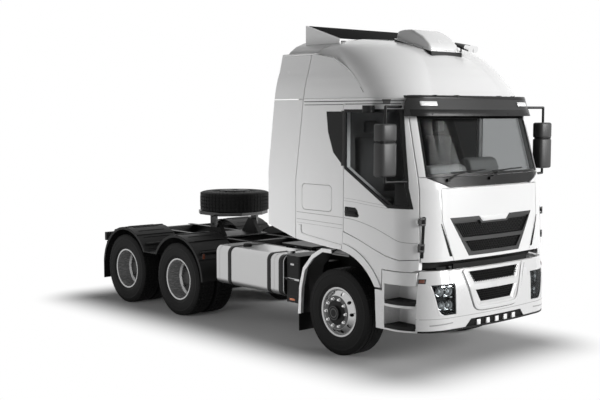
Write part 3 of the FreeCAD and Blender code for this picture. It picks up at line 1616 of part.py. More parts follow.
def leaf_corners(half, camber):
    """Side view of a cambered leaf pack, centred over its axle."""
    share = "leaf_mid_share"
    low = [(f"-{half}", camber), (f"-{half} / 2", f"{camber} * {share}"), ("0", "0"),
           (f"{half} / 2", f"{camber} * {share}"), (half, camber)]
    return low + [(x, f"{z} + spring_thickness") for x, z in reversed(low)]


def suspension():
    """Front leaf packs with hangers, and the drive axles' trailing arms with air springs."""
    parts = []
    seat_z = "(tyre_radius + beam_height / 2 - beam_drop + seat_clearance)"
    rail_low = "(rail_top - rail_height - seat_clearance)"
    for name, side in SIDES.items():
        y = f"{side} * (rail_half_spacing - rail_flange / 2)"
        leaf = padded(f"front_spring_{name}", "XZ_Plane",
                      leaf_corners("spring_half_length", "spring_camber"), "spring_width")
        place(leaf, "0", y, seat_z)
        parts.append(leaf)
        for end, x in (("front", "spring_half_length - hanger_width / 2"),
                       ("rear", "hanger_width / 2 - spring_half_length")):
            low = f"({seat_z} + spring_camber)"
            parts.append(block(f"spring_hanger_{end}_{name}",
                               ("hanger_width", "spring_width", f"{rail_low} - {low}"), (x, y, low)))
        for axle, x in DRIVE_X.items():
            arm_z = "(tyre_radius - axle_tube_radius - seat_clearance - arm_thickness)"
            top_z = f"({arm_z} + arm_thickness)"
            length = "(arm_front + bellows_back + 2 * bellows_radius)"
            arm_x = "(arm_front - bellows_back - 2 * bellows_radius + hanger_width) / 2"
            parts.append(block(f"{axle}_arm_{name}", (length, "arm_width", "arm_thickness"),
                               (f"{x} + {arm_x}", y, arm_z)))
            parts.append(block(f"{axle}_hanger_{name}",
                               ("hanger_width", "arm_width", f"{rail_low} - {arm_z}"),
                               (f"{x} + arm_front", y, arm_z)))
            parts.append(cylinder(f"{axle}_bellows_{name}", "bellows_radius", f"{rail_low} - {top_z}",
                                  (f"{x} - bellows_back", y, f"({rail_low} + {top_z}) / 2"), "z"))
    node("suspension", join("suspension_whole", parts))


def frame():
    """Two channel rails, crossmembers, the front pivot lugs, cab posts, catwalk and rear beam."""
    parts = []
    rear = f"({REAR_END} + rail_end_margin + rear_beam_width)"
    middle = f"(rail_front_x + {rear}) / 2"
    length = f"rail_front_x - {rear}"
    inner_low = "rail_top - rail_height"
    for name, side in SIDES.items():
        web = f"{side} * rail_half_spacing"
        tip = f"{side} * (rail_half_spacing - rail_flange)"
        inside = f"{side} * (rail_half_spacing - rail_wall)"
        corners = [(web, inner_low), (web, "rail_top"), (tip, "rail_top"), (tip, "rail_top - rail_wall"),
                   (inside, "rail_top - rail_wall"), (inside, f"{inner_low} + rail_wall"),
                   (tip, f"{inner_low} + rail_wall"), (tip, inner_low)]
        rail = padded(f"rail_{name}", "YZ_Plane", corners, length)
        place(rail, middle)
        parts.append(rail)
        lug_y = f"{side} * hinge_lug_half_spacing"
        lug_x = "rail_front_x - rail_end_margin"
        parts.append(block(f"pivot_lug_{name}",
                           (f"hinge_x - {lug_x}", "hinge_lug_thickness", "2 * hinge_lug_radius"),
                           (f"(hinge_x + {lug_x}) / 2", lug_y, "hinge_height - hinge_lug_radius")))
        parts.append(cylinder(f"pivot_eye_{name}", "hinge_lug_radius", "hinge_lug_thickness",
                              ("hinge_x", lug_y, "hinge_height"), "y"))
        arm_y = "(hinge_lug_half_spacing - hinge_lug_thickness / 2 - joint_gap - hinge_arm_thickness)"
        out_y = "(hinge_lug_half_spacing + hinge_lug_thickness / 2 + joint_gap)"
        parts.append(cylinder(f"pivot_pin_{name}", "hinge_pin_radius", f"{out_y} - {arm_y} + joint_gap",
                              ("hinge_x", f"{side} * ({out_y} + {arm_y} - joint_gap) / 2",
                               "hinge_height"), "y"))
        out = "(hinge_lug_half_spacing + hinge_lug_thickness / 2)"
        near = "(rail_half_spacing - rail_wall)"
        parts.append(block(f"pivot_bridge_{name}",
                           ("rail_end_margin", f"{out} - {near}", "rail_height * bridge_share"),
                           (f"{lug_x} + rail_end_margin / 2", f"{side} * ({out} + {near}) / 2",
                            "hinge_height - rail_height * bridge_share")))
        parts.append(block(f"cab_post_{name}",
                           ("cab_mount_width", "rail_flange", "floor_bottom - seat_clearance - rail_top"),
                           ("cab_mount_x", f"{side} * (rail_half_spacing - rail_flange / 2)", "rail_top")))
        for spot, x in (("front", "catwalk_front_x - member_width"),
                        ("rear", "catwalk_front_x - catwalk_length + member_width")):
            parts.append(block(f"catwalk_stand_{spot}_{name}",
                               ("member_width", "rail_flange", "catwalk_stand"),
                               (x, f"{side} * (rail_half_spacing - rail_flange / 2)", "rail_top")))
    parts.append(block("catwalk", ("catwalk_length", "2 * catwalk_half_width", "catwalk_thickness"),
                       ("catwalk_front_x - catwalk_length / 2", "0", "rail_top + catwalk_stand")))
    spots = {"nose": "rail_front_x - member_width / 2", "mid": "catwalk_front_x - catwalk_length",
             "bogie_front": "-wheelbase + member_offset", "bogie": "-wheelbase - bogie_spread / 2",
             "bogie_rear": "-wheelbase - bogie_spread - member_offset"}
    for name, x in spots.items():
        parts.append(block(f"member_{name}",
                           ("member_width", "2 * (rail_half_spacing - rail_wall)", "member_height"),
                           (x, "0", "rail_top - rail_wall - member_height")))
    parts.append(block("rear_beam",
                       ("rear_beam_width", "2 * (rear_beam_half - tail_lamp_width - seat_clearance)",
                        "rear_beam_height"),
                       (f"{REAR_END} + rail_end_margin + rear_beam_width / 2", "0", "rear_beam_bottom")))
    node("frame", join("frame_whole", parts))


def engine():
    """Engine, gearbox and cooling pack as plain blocks on cross bearers."""
    rear = "(engine_front_x - engine_length)"
    bearer = "2 * (rail_half_spacing - rail_wall - seat_clearance)"
    parts = [
        block("engine_block", ("engine_length", "2 * engine_half_width", "engine_top - engine_bottom"),
              ("engine_front_x - engine_length / 2", "0", "engine_bottom")),
        block("gearbox", ("gearbox_length", "2 * gearbox_half_width", "gearbox_top - gearbox_bottom"),
              (f"{rear} - gearbox_length / 2", "0", "gearbox_bottom")),
        block("radiator_high",
              ("radiator_depth", "2 * radiator_half_width", "radiator_top - rail_top - joint_gap"),
              ("radiator_front_x - radiator_depth / 2", "0", "rail_top + joint_gap")),
        block("radiator_low",
              ("radiator_depth", "2 * engine_half_width", "rail_top + 2 * joint_gap - radiator_bottom"),
              ("radiator_front_x - radiator_depth / 2", "0", "radiator_bottom")),
        block("fan_shroud", ("radiator_front_x - radiator_depth - engine_front_x", "engine_half_width",
                             "engine_half_width"),
              ("(radiator_front_x - radiator_depth + engine_front_x) / 2", "0",
               "radiator_bottom + engine_half_width / 2")),
    ]
    for name, x in (("front", "engine_front_x - member_offset"), ("rear", f"{rear} - gearbox_length / 2")):
        parts.append(block(f"bearer_{name}", ("member_width", bearer, "member_width"),
                           (x, "0", "prop_height")))
    node("engine", join("engine_whole", parts))


def rounded_tank(front, length, grow=0):
    """Left-hand tank with rounded long edges."""
    box = cuboid((front - length - grow, front + grow),
                 (d.tank_outer_half - d.tank_depth - grow, d.tank_outer_half + grow),
                 (d.tank_bottom - grow, d.tank_bottom + d.tank_height + grow))
    return rounded(box, d.tank_edge_radius + grow, is_lengthwise)


def tank_runs():
    """Front end, length and side of each tank."""
    return ((d.tank_front_x, d.tank_length, -1), (d.left_tank_front_x, d.left_tank_length, 1))


def fuel_tanks():
    """Fuel tanks with a filler neck and cap on top."""
    tanks = []
    for front, length, side in tank_runs():
        tank = rounded_tank(front, length)
        cap = Part.makeCylinder(d.tank_cap_radius, d.tank_cap_height + d.tank_edge_radius,
                                Vector(front - d.tank_cap_back, d.tank_outer_half - d.tank_cap_inset,
                                       d.tank_bottom + d.tank_height - d.tank_edge_radius), Vector(0, 0, 1))
        tanks.append(on_side(tank.fuse(cap), side))
    return Part.makeCompound(tanks)


def tank_straps():
    """Two straps round each tank, each with a bracket to the frame rail."""
    straps = []
    seat = d.seat_clearance
    for front, length, side in tank_runs():
        band = rounded_tank(front, length, d.strap_thickness + seat).cut(rounded_tank(front, length, seat))
        for x in (front - d.strap_inset, front - length + d.strap_inset):
            window = cuboid((x - d.strap_width / 2, x + d.strap_width / 2), (0, d.cab_half_width),
                            (0, d.floor_bottom))
            inner = d.tank_outer_half - d.tank_depth - seat - d.strap_thickness / 2
            bracket = cuboid((x - d.strap_width / 2, x + d.strap_width / 2),
                             (d.rail_half_spacing + seat, inner),
                             (d.rail_top - d.bracket_height, d.rail_top - d.strap_width))
            straps.append(on_side(band.common(window).fuse(bracket).removeSplitter(), side))
    return Part.makeCompound(straps)


def side_boxes():
    """Service box behind each front mudguard, and the silencer box on the left."""
    def box(front, length):
        body = cuboid((front - length, front), (d.box_outer_half - d.box_depth, d.box_outer_half),
                      (d.box_bottom, d.box_bottom + d.box_height))
        body = rounded(body, d.box_edge, is_upright)
        foot = cuboid((front - length / 2 - d.strap_width, front - length / 2 + d.strap_width),
                      (d.rail_half_spacing + d.seat_clearance, d.box_outer_half - d.box_depth + d.box_edge),
                      (d.rail_top - d.bracket_height, d.rail_top - d.strap_width))
        return body.fuse(foot).removeSplitter()
    service = box(d.box_front_x, d.box_length)
    return Part.makeCompound([both(service), box(d.silencer_front_x, d.silencer_length)])


def bumper_hull(inset=0, rise=0):
    """Outer form of the bumper, or a copy set in from it."""
    stations = ((d.bumper_bottom, d.bumper_mid_x), (d.lip_top, d.front_overhang),
                (d.bumper_mid_height, d.bumper_mid_x),
                (d.bumper_top, d.bumper_top_x))
    if rise:
        stations = ((d.bumper_top, d.bumper_top_x), (d.bumper_top + rise, d.bumper_top_x))
    wires = [plan_wire(z, nose, d.bumper_half_width, d.corner_length, d.corner_width, 0, inset) for z,
             nose in stations]
    return Part.makeLoft(wires, True, True)


def trapezoid(top_half, top, low_half, low, margin=0):
    """Symmetric four-cornered prism seen from the front, grown by a margin."""
    corners = [(-low_half, low), (low_half, low), (top_half, top), (-top_half, top)]
    return front_prism(grown(corners, margin) if margin else corners, d.bumper_rear_x / 2,
                       2 * d.front_overhang)


def lamp_prism(margin=0):
    """Left-hand headlamp opening seen from the front, grown by a margin."""
    corners = [(d.lamp_inner, d.lamp_bottom), (d.lamp_outer - d.lamp_lean, d.lamp_bottom),
               (d.lamp_outer, d.lamp_top), (d.lamp_inner, d.lamp_top)]
    return front_prism(grown(corners, margin) if margin else corners, d.bumper_rear_x / 2,
                       2 * d.front_overhang)


def bumper():
    """Painted bumper band with two grille openings, lamp openings and two brackets."""
    wide = 2 * d.cab_half_width
    front = cuboid((d.bumper_rear_x, 2 * d.front_overhang), (-wide, wide), (0, d.seam_height))
    band = bumper_hull().cut(bumper_hull(d.bumper_wall)).common(front)
    seat = d.seat_clearance
    tools = [
        trapezoid(d.mesh_half_upper, d.mesh_top_upper, d.mesh_low_half_upper, d.mesh_bottom_upper, seat),
        trapezoid(d.mesh_half_lower, d.mesh_top_lower, d.mesh_low_half_lower, d.mesh_bottom_lower, seat),
        trapezoid(d.lip_low_half, d.lip_top, d.lip_half, d.bumper_bottom, seat),
        lamp_prism(seat), mirrored(lamp_prism(seat)),
    ]
    band = band.cut(tools)
    reach = bumper_hull(d.bumper_wall / 2)
    foot = cuboid((d.rail_front_x + seat, 2 * d.front_overhang),
                  (d.rail_half_spacing - d.rail_flange,
                   d.rail_half_spacing), (d.mesh_top_lower + d.joint_gap, d.mesh_bottom_upper - d.joint_gap))
    return band.fuse(both(foot.common(reach))).removeSplitter()


def bumper_grilles():
    """Mesh panels behind the bumper's openings, the dark lower lip and the band above the bumper."""
    seat = d.seat_clearance
    skin = bumper_hull(d.grille_mesh_inset - d.grille_mesh_thickness).cut(bumper_hull(d.grille_mesh_inset))
    low_skin = bumper_hull(d.lip_depth).cut(bumper_hull(d.bumper_wall))
    pieces = [
        skin.common(trapezoid(d.mesh_half_upper, d.mesh_top_upper, d.mesh_low_half_upper,
                              d.mesh_bottom_upper)),
        skin.common(trapezoid(d.mesh_half_lower, d.mesh_top_lower, d.mesh_low_half_lower,
                              d.mesh_bottom_lower)),
        low_skin.common(trapezoid(d.lip_low_half, d.lip_top, d.lip_half, d.bumper_bottom)),
    ]
    band = bumper_hull(d.band_inset, d.band_height).cut(bumper_hull(d.bumper_wall, d.band_height))
    window = cuboid((d.bumper_rear_x, 2 * d.front_overhang), (-d.band_half, d.band_half), (0, d.seam_height))
    pieces.append(band.common(window))
    return Part.makeCompound(pieces)


def lamps():
    """Headlamps in the bumper's corners and tail lamps at the rear beam's ends."""
    ahead = cuboid((d.bumper_rear_x, 2 * d.front_overhang), (0, d.cab_half_width), (0, d.seam_height))
    head = bumper_hull(d.lamp_reveal).cut(bumper_hull(d.lamp_depth)).common(lamp_prism()).common(ahead)
    rear = val(REAR_END)
    tail = cuboid((rear, rear + d.rail_end_margin + d.rear_beam_width),
                  (d.rear_beam_half - d.tail_lamp_width, d.rear_beam_half),
                  (d.rear_beam_bottom, d.rear_beam_bottom + d.rear_beam_height))
    return Part.makeCompound([both(head), both(tail)])


def step_units():
    """Two-step entry under each door, with its sill, as one moulding on a bracket."""
    points = [(d.step_rear_x, d.step_bottom), (d.step_front_x, d.step_bottom), (d.step_front_x, d.step_top),
              (d.sill_rear_x, d.step_top), (d.sill_rear_x, d.step_shoulder),
              (d.step_rear_top_x, d.step_shoulder)]
    inner = d.step_outer_half - d.step_depth
    body = side_prism(points, inner, d.step_outer_half)
    wire = plan_wire(d.step_bottom, d.hull_low_x, d.step_outer_half, d.corner_length, d.corner_width, 0, 0)
    plan = Part.Face(wire).extrude(Vector(0, 0, d.step_top))
    body = body.common(plan)
    deep = (d.step_outer_half - d.foot_depth, 2 * d.step_outer_half)
    front = 2 * d.step_front_x
    body = body.cut(cuboid((d.foot_rear_x, front), deep, (d.upper_foot_bottom, d.sill_bottom)))
    body = body.cut(cuboid((d.foot_rear_x, front), deep, (d.lower_foot_bottom, d.lower_foot_top)))
    foot = cuboid((d.step_bracket_x, d.step_bracket_x + d.member_width),
                  (d.rail_half_spacing + d.seat_clearance, inner + d.tread_margin),
                  (d.upper_foot_bottom + d.tread_margin, d.step_shoulder))
    return both(body.fuse(foot).removeSplitter())


def guard_path(depth):
    """Front mudguard's side outline, drawn towards the wheel centre by a depth."""
    centre = Vector(0, 0, d.tyre_radius)
    points = []
    for back, up in GUARD_SHARES + ((1.0, 0.0),):
        point = Vector(-back * d.front_guard_x, 0, d.front_guard_bottom + up * d.front_guard_height)
        way = point - centre
        points.append(centre + way * ((way.Length - depth) / way.Length))
    return points


def front_mudguards():
    """Rear half of each front wheel's mudguard, with its outer face and a bracket."""
    def band(depth, low, high):
        path = [(v.x, v.z) for v in guard_path(0)] + [(v.x, v.z) for v in reversed(guard_path(depth))]
        return side_prism(path, low, high)
    outer = d.front_guard_outer
    inner = outer - d.front_guard_depth
    skin = band(d.front_guard_wall, inner, outer)
    face = band(d.front_guard_lip, outer - d.front_guard_face, outer)
    foot_x = -d.front_guard_x * FOOT_PLACE_SHARE
    foot = cuboid((foot_x - d.guard_foot, foot_x),
                  (d.rail_half_spacing + d.seat_clearance, inner + d.guard_foot),
                  (d.guard_foot_height, d.guard_foot_height + d.guard_foot))
    return both(skin.fuse([face, foot]).removeSplitter())


def rear_mudguards():
    """Ribbed arches over the twin wheels, bridged between the axles and held by stays."""
    low = d.rear_guard_inner
    high = d.rear_guard_outer
    radius = d.rear_guard_radius
    wall = d.rear_guard_wall
    parts = []
    for axle, start, stop in (("front", d.rear_guard_start, d.rear_guard_sweep_front),
                              ("rear", 180 - d.rear_guard_sweep_front, d.rear_guard_sweep_rear)):
        centre = (val(DRIVE_X[axle]), d.tyre_radius)
        parts.append(arc_band(centre, radius, radius + wall, start, stop, low, high))
        parts.append(arc_band(centre, radius - d.rear_guard_lip, radius + wall, start, stop,
                              high - d.rear_guard_lip_width, high))
        for index in range(int(d.rib_count)):
            middle = start + (stop - start) * (index + 1) / (d.rib_count + 1)
            half = math.degrees(d.rib_width / 2 / radius)
            parts.append(arc_band(centre, radius + wall / 2, radius + wall + d.rib_height, middle - half,
                                  middle + half, low, high))
        for angle in (d.stay_angle, 180 - d.stay_angle):
            reach = radius + wall + d.stay_radius - d.rear_guard_wall / 2
            x = centre[0] + reach * math.cos(math.radians(angle))
            z = centre[1] + reach * math.sin(math.radians(angle))
            parts.append(rod(Vector(x, d.rail_half_spacing + d.seat_clearance, z),
                             Vector(x, high - d.stay_end, z),
                             d.stay_radius))
    drop = math.sin(math.radians(d.rear_guard_sweep_front)) * radius
    out = math.cos(math.radians(d.rear_guard_sweep_front)) * radius
    parts.append(cuboid((val(DRIVE_X["rear"]) - out - 2 * wall, val(DRIVE_X["front"]) + out + 2 * wall),
                        (low, high),
                        (d.tyre_radius + drop - wall / 2, d.tyre_radius + drop + wall / 2)))
    return both(parts[0].fuse(parts[1:]).removeSplitter())


def mudflaps():
    """Flaps that hang behind the front and the rear wheels."""
    seat = d.seat_clearance
    front_x = -d.front_guard_x
    front = cuboid((front_x, front_x + d.flap_thickness),
                   (d.front_guard_outer - d.front_guard_depth, d.front_guard_outer - d.front_guard_face),
                   (d.front_guard_bottom - seat - d.front_flap_height, d.front_guard_bottom - seat))
    angle = math.radians(d.rear_guard_sweep_rear)
    x = val(DRIVE_X["rear"]) + (d.rear_guard_radius + d.rear_guard_wall) * math.cos(angle)
    z = d.tyre_radius + d.rear_guard_radius * math.sin(angle) - seat
    rear = cuboid((x, x + d.flap_thickness), (d.rear_guard_inner, d.rear_guard_outer),
                  (d.rear_flap_bottom, z))
    return Part.makeCompound([both(front), both(rear)])


def fifth_wheel_base():
    """Mounting plate on the rails with two trunnion stands and their pins."""
    parts = [block("fifth_base_plate", ("fifth_base_length", "2 * fifth_base_half", "fifth_base_thickness"),
                   ("0", "0", "rail_top"))]
    for name, side in SIDES.items():
        y = f"{side} * fifth_stand_half"
        low = "(rail_top + fifth_base_thickness)"
        stand = padded(f"fifth_stand_{name}", "XZ_Plane",
                       [("-fifth_stand_length", low), ("fifth_stand_length", low),
                        ("2 * fifth_pin_radius", "fifth_pivot_height + 2 * fifth_pin_radius"),
                        ("-2 * fifth_pin_radius",
                         "fifth_pivot_height + 2 * fifth_pin_radius")], "fifth_stand_thickness")
        place(stand, "0", y, "0")
        parts.append(stand)
        reach = "(fifth_stand_thickness / 2 + fifth_ear_gap + fifth_ear_thickness + fifth_ear_gap)"
        parts.append(cylinder(f"fifth_pin_{name}", "fifth_pin_radius", reach,
                              ("0", f"{side} * (fifth_stand_half + {reach} / 2)", "fifth_pivot_height"), "y"))
    node("fifth_wheel_base", join("fifth_wheel_base_whole", parts), f"{AXLE_X} + fifth_x")


def fifth_wheel():
    """Coupling plate with its throat, kingpin hole, rim skirt and two bored ears."""
    w = "fifth_plate_half"
    f = "fifth_plate_front"
    r = "fifth_plate_rear"
    half = [(f, f"{w} * fifth_nose_share"), (f"{f} * fifth_shoulder_share", w),
            (f"-{r} * fifth_heel_share", w),
            (f"-{r}", f"{w} * fifth_horn_share"), (f"-{r}", "throat_mouth_half"),
            ("-2 * throat_half", "throat_half"),
            ("0", "throat_half")]
    corners = half + [(x, f"-({y})") for x, y in reversed(half)]
    plate = padded("fifth_plate_top_part", "XY_Plane", corners, "fifth_plate_thickness", False)
    place(plate, "0", "0", "fifth_plate_top - fifth_plate_thickness")
    parts = [plate]
    low = "(fifth_pivot_height - 2 * fifth_pin_radius)"
    for name, side in SIDES.items():
        ear = "fifth_stand_half + fifth_stand_thickness / 2 + fifth_ear_gap + fifth_ear_thickness / 2"
        y = f"{side} * ({ear})"
        parts.append(block(f"fifth_ear_{name}", ("fifth_ear_length", "fifth_ear_thickness",
                                                 f"fifth_plate_top - fifth_plate_thickness / 2 - {low}"),
                           ("0", y, low)))
    solid = join("fifth_wheel_solid", parts)
    bores = [cylinder(f"fifth_bore_{name}", "fifth_pin_radius + pin_clearance", "fifth_plate_half",
                      ("0", f"{side} * fifth_plate_half",
                       "fifth_pivot_height"), "y") for name, side in SIDES.items()]
    node("fifth_wheel", cut("fifth_wheel_whole", solid, join("fifth_wheel_bores", bores)),
         f"{AXLE_X} + fifth_x")


FEATURES = {
    "fuel_tanks": fuel_tanks,
    "tank_straps": tank_straps,
    "side_boxes": side_boxes,
    "bumper": bumper,
    "bumper_grilles": bumper_grilles,
    "lamps": lamps,
    "step_units": step_units,
    "front_mudguards": front_mudguards,
    "rear_mudguards": rear_mudguards,
    "mudflaps": mudflaps,
    "cab_shell": cab_shell,
    "outer_panels": outer_panels,
    "front_flap": front_flap,
    "grille": grille,
    "cab_trim": cowl_and_quarters,
    "windscreen": windscreen,
    "cab_roof": cab_roof,
    "roof_fairing": roof_fairing,
    "side_deflectors": side_deflectors,
    "sun_visor": sun_visor,
    "roof_box": roof_box,
    "air_horns": air_horns,
    "seats": interior_seats,
    "bunk": bunk,
    "dashboard": dashboard,
    "steering_wheel": steering_wheel,
}
PAIRS = {
    "door": door_shell,
    "door_trim": door_trim,
    "door_glass": door_glass,
    "locker_lid": locker_lid,
}
PARAMETRIC = (frame, engine, front_axle, knuckles, drive_axles, suspension, front_wheels, twin_wheels,
              spare_wheel,
              fifth_wheel_base, fifth_wheel)


def check_document():
    """Stop if an object failed or a sub-part has no sound shape."""
    for item in DOC.Objects:
        for state in ("Invalid", "Error"):
            if state in item.State:
                raise RuntimeError(f"{item.Name} is {state}")
    for item in NODES:
        if item.Shape.isNull() or not item.Shape.isValid() or not item.Shape.Solids:
            raise RuntimeError(f"{item.Label} has no sound shape")


def main():
    """Build each sub-part, check the document and write the shapes."""
    os.makedirs("parts", exist_ok=True)
    fill_sheet()
    for build in PARAMETRIC:
        build()
    for label, build in FEATURES.items():
        node(label, shaped(label + "_shape", build()))
    for stem, build in PAIRS.items():
        for name, side in SIDES.items():
            label = f"{stem}_{name}"
            node(label, shaped(label + "_shape", build(side)))
    DOC.recompute()
    check_document()
    for item in NODES:
        item.Shape.exportStep(f"parts/{item.Label}.step")


main()
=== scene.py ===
import json
import logging
import math
from collections.abc import Callable, Sequence
from dataclasses import dataclass
from enum import Enum
from functools import cached_property
from typing import Any

import bmesh
import bpy
from mathutils import Matrix, Vector
from mathutils.bvhtree import BVHTree


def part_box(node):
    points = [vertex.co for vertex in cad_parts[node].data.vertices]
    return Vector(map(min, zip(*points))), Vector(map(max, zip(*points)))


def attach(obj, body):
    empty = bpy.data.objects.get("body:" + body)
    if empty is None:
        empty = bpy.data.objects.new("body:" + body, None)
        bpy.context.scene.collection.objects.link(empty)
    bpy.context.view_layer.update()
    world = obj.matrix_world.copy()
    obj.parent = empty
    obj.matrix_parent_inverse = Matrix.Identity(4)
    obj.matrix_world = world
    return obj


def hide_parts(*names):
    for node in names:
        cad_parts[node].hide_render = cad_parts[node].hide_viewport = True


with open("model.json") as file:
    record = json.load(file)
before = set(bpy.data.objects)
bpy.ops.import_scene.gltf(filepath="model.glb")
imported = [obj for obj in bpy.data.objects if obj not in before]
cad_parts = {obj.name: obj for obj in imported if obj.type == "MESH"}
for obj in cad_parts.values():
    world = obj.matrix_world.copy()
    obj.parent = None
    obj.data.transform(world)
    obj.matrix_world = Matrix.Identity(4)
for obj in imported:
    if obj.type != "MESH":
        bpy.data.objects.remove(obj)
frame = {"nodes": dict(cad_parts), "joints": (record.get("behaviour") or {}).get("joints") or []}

log = logging.getLogger("tractor_unit")
Pair = tuple[float, float]
Triple = tuple[float, float, float]
Rows = Sequence[Sequence[Pair]]
OWN = "dress_"
# Every place below is in metres from the front axle: X ahead of it, Y to the left, Z over the ground.
JOINT_X = {joint["name"]: joint["pos_m"][0] for joint in frame["joints"]}
AXLE_X = JOINT_X["steer_right"]
DRIVE_AXLES = {axle: JOINT_X[f"{axle}_drive_spin_right"] - AXLE_X for axle in ("front", "rear")}
TYRE_RADIUS = 0.522
FRONT_TRACK = 1.065
TWIN_MIDDLE = 0.940


class Axis(Enum):
    """A main direction, by its place in a point."""

    X = 0
    Y = 1
    Z = 2


class Side(Enum):
    """A side of the truck: its name and the sign of Y there."""

    RIGHT = ("right", -1)
    LEFT = ("left", 1)

    @property
    def label(self) -> str:
        """Name used by the nodes of this side."""
        return self.value[0]

    @property
    def sign(self) -> int:
        """Sign of Y on this side."""
        return self.value[1]


class Grain(Enum):
    """Small relief of a surface: its scale, detail, roughness and stretch, and its depth in metres."""

    PEEL = (160.0, 2.0, 0.5, None, 0.0006)
    CAST = (90.0, 6.0, 0.7, None, 0.003)
    BRUSHED = (6.0, 3.0, 0.5, (3.0, 3.0, 260.0), 0.0012)
    RUBBER = (55.0, 5.0, 0.65, None, 0.0025)
    WOVEN = (120.0, 0.0, 0.0, None, 0.002)
    MOULDED = (420.0, 0.0, 0.0, None, 0.0010)


class Wire:
    """Output of a node, whose arithmetic adds Math nodes to its tree."""

    def __init__(self, tree: "Tree", socket: bpy.types.NodeSocket) -> None:
        """Keep the tree and the socket."""
        self.tree = tree
        self.socket = socket

    def maths(self, operation: str, first: Any, second: Any = 0.0) -> "Wire":
        """Add one Math node.

        Args:
            operation: Blender's name of the operation.
            first: Value or wire of the first socket.
            second: Value or wire of the second socket.

        Returns:
            The node's result.
        """
        return self.tree.add("ShaderNodeMath", {"operation": operation}, {0: first, 1: second})

    def __add__(self, other: Any) -> "Wire":
        """Sum."""
        return self.maths("ADD", self, other)

    def __sub__(self, other: Any) -> "Wire":
        """Difference."""
        return self.maths("SUBTRACT", self, other)

    def __rsub__(self, other: Any) -> "Wire":
        """Difference, from the right."""
        return self.maths("SUBTRACT", other, self)

    def __mul__(self, other: Any) -> "Wire":
        """Product."""
        return self.maths("MULTIPLY", self, other)

    def __truediv__(self, other: Any) -> "Wire":
        """Quotient."""
        return self.maths("DIVIDE", self, other)

    __radd__, __rmul__ = __add__, __mul__

    def over(self, limit: Any) -> "Wire":
        """1 where the value is above a limit, 0 elsewhere."""
        return self.maths("GREATER_THAN", self, limit)

    def under(self, limit: Any) -> "Wire":
        """1 where the value is below a limit, 0 elsewhere."""
        return self.maths("LESS_THAN", self, limit)

    def between(self, low: float, high: float) -> "Wire":
        """1 where the value is between two limits, 0 elsewhere."""
        return self.over(low) * self.under(high)

    def absolute(self) -> "Wire":
        """Value without its sign."""
        return self.maths("ABSOLUTE", self)

    def root(self) -> "Wire":
        """Square root."""
        return self.maths("SQRT", self)

    def ramp(self, low: float, high: float, to_low: float = 0.0, to_high: float = 1.0) -> "Wire":
        """Smooth step of the value from one range to another."""
        settings = {"interpolation_type": "SMOOTHSTEP"}
        return self.tree.add("ShaderNodeMapRange", settings, {0: self, 1: low, 2: high, 3: to_low, 4: to_high})


class Tree:
    """Builder for a shader or geometry node tree."""

    def __init__(self, tree: bpy.types.NodeTree) -> None:
        """Keep the tree."""
        self.tree = tree

    @cached_property
    def where(self) -> Wire:
        """Object coordinates."""
        return self.add("ShaderNodeTexCoord", None, None, "Object")

    @cached_property
    def place(self) -> tuple[Wire, Wire, Wire]:
        """Place ahead of the front axle, to the left and over the ground."""
        x, y, z = self.parts(self.where)
        return x - AXLE_X, y, z

    def add(self, kind: str, settings: dict[str, Any] | None = None,
            inputs: dict[int | str, Any] | None = None, out: int | str | None = 0) -> Any:
        """Add a node with its settings and sockets.

        Args:
            kind: Blender's type of the node.
            settings: Properties, set before the sockets.
            inputs: Values or wires, by a socket's name or place.
            out: Output that is wanted, or None for a node that has none.

        Returns:
            A wire from that output, or the node itself.
        """
        node = self.tree.nodes.new(kind)
        for key, value in (settings or {}).items():
            setattr(node, key, value)
        for key, value in (inputs or {}).items():
            if isinstance(value, Wire):
                self.tree.links.new(value.socket, node.inputs[key])
            else:
                node.inputs[key].default_value = value
        return node if out is None else Wire(self, node.outputs[out])

    def mix(self, factor: Any, first: Any, second: Any) -> Wire:
        """Blend of two colours by a factor."""
        return self.add("ShaderNodeMix", {"data_type": "RGBA"}, {0: factor, 6: first, 7: second}, 2)

    def noise(self, scale: float, detail: float = 3.0, rough: float = 0.5,
              stretch: Triple | None = None) -> Wire:
        """Noise over the surface.

        Args:
            scale: Number of features in a metre.
            detail: Octaves of finer noise.
            rough: Strength of the finer noise.
            stretch: Further scale along each axis.

        Returns:
            The noise's value.
        """
        where = self.where
        if stretch:
            where = self.add("ShaderNodeMapping", None, {"Vector": where, "Scale": stretch})
        inputs = {"Vector": where, "Scale": scale, "Detail": detail, "Roughness": rough}
        return self.add("ShaderNodeTexNoise", None, inputs)

    def waves(self, scale: float) -> list[Wire]:
        """Waves across the truck and waves up it."""
        inputs = {"Vector": self.where, "Scale": scale}
        return [self.add("ShaderNodeTexWave", {"bands_direction": way}, inputs, 1) for way in "YZ"]

    def parts(self, where: Wire) -> tuple[Wire, Wire, Wire]:
        """The three coordinates of a place."""
        node = self.add("ShaderNodeSeparateXYZ", None, {0: where}, None)
        return tuple(Wire(self, socket) for socket in node.outputs)

    def seen(self) -> Wire:
        """Rays by which a backdrop shows.

        Returns:
            1 for rays from the camera, off gloss and through glass, 0 for those that carry light.
        """
        ray = self.add("ShaderNodeLightPath", None, None, None)
        shown = Wire(self, ray.outputs["Is Camera Ray"])
        for word in ("Is Glossy Ray", "Is Transmission Ray"):
            shown = shown.maths("MAXIMUM", shown, Wire(self, ray.outputs[word]))
        return shown


def grey(value: float, tint: Triple = (1.0, 1.0, 1.0)) -> tuple[float, float, float, float]:
    """Colour of one level with a tint."""
    return (value * tint[0], value * tint[1], value * tint[2], 1.0)


Zone = tuple[Wire, Any, Any]
POST_BLACK = grey(0.014)


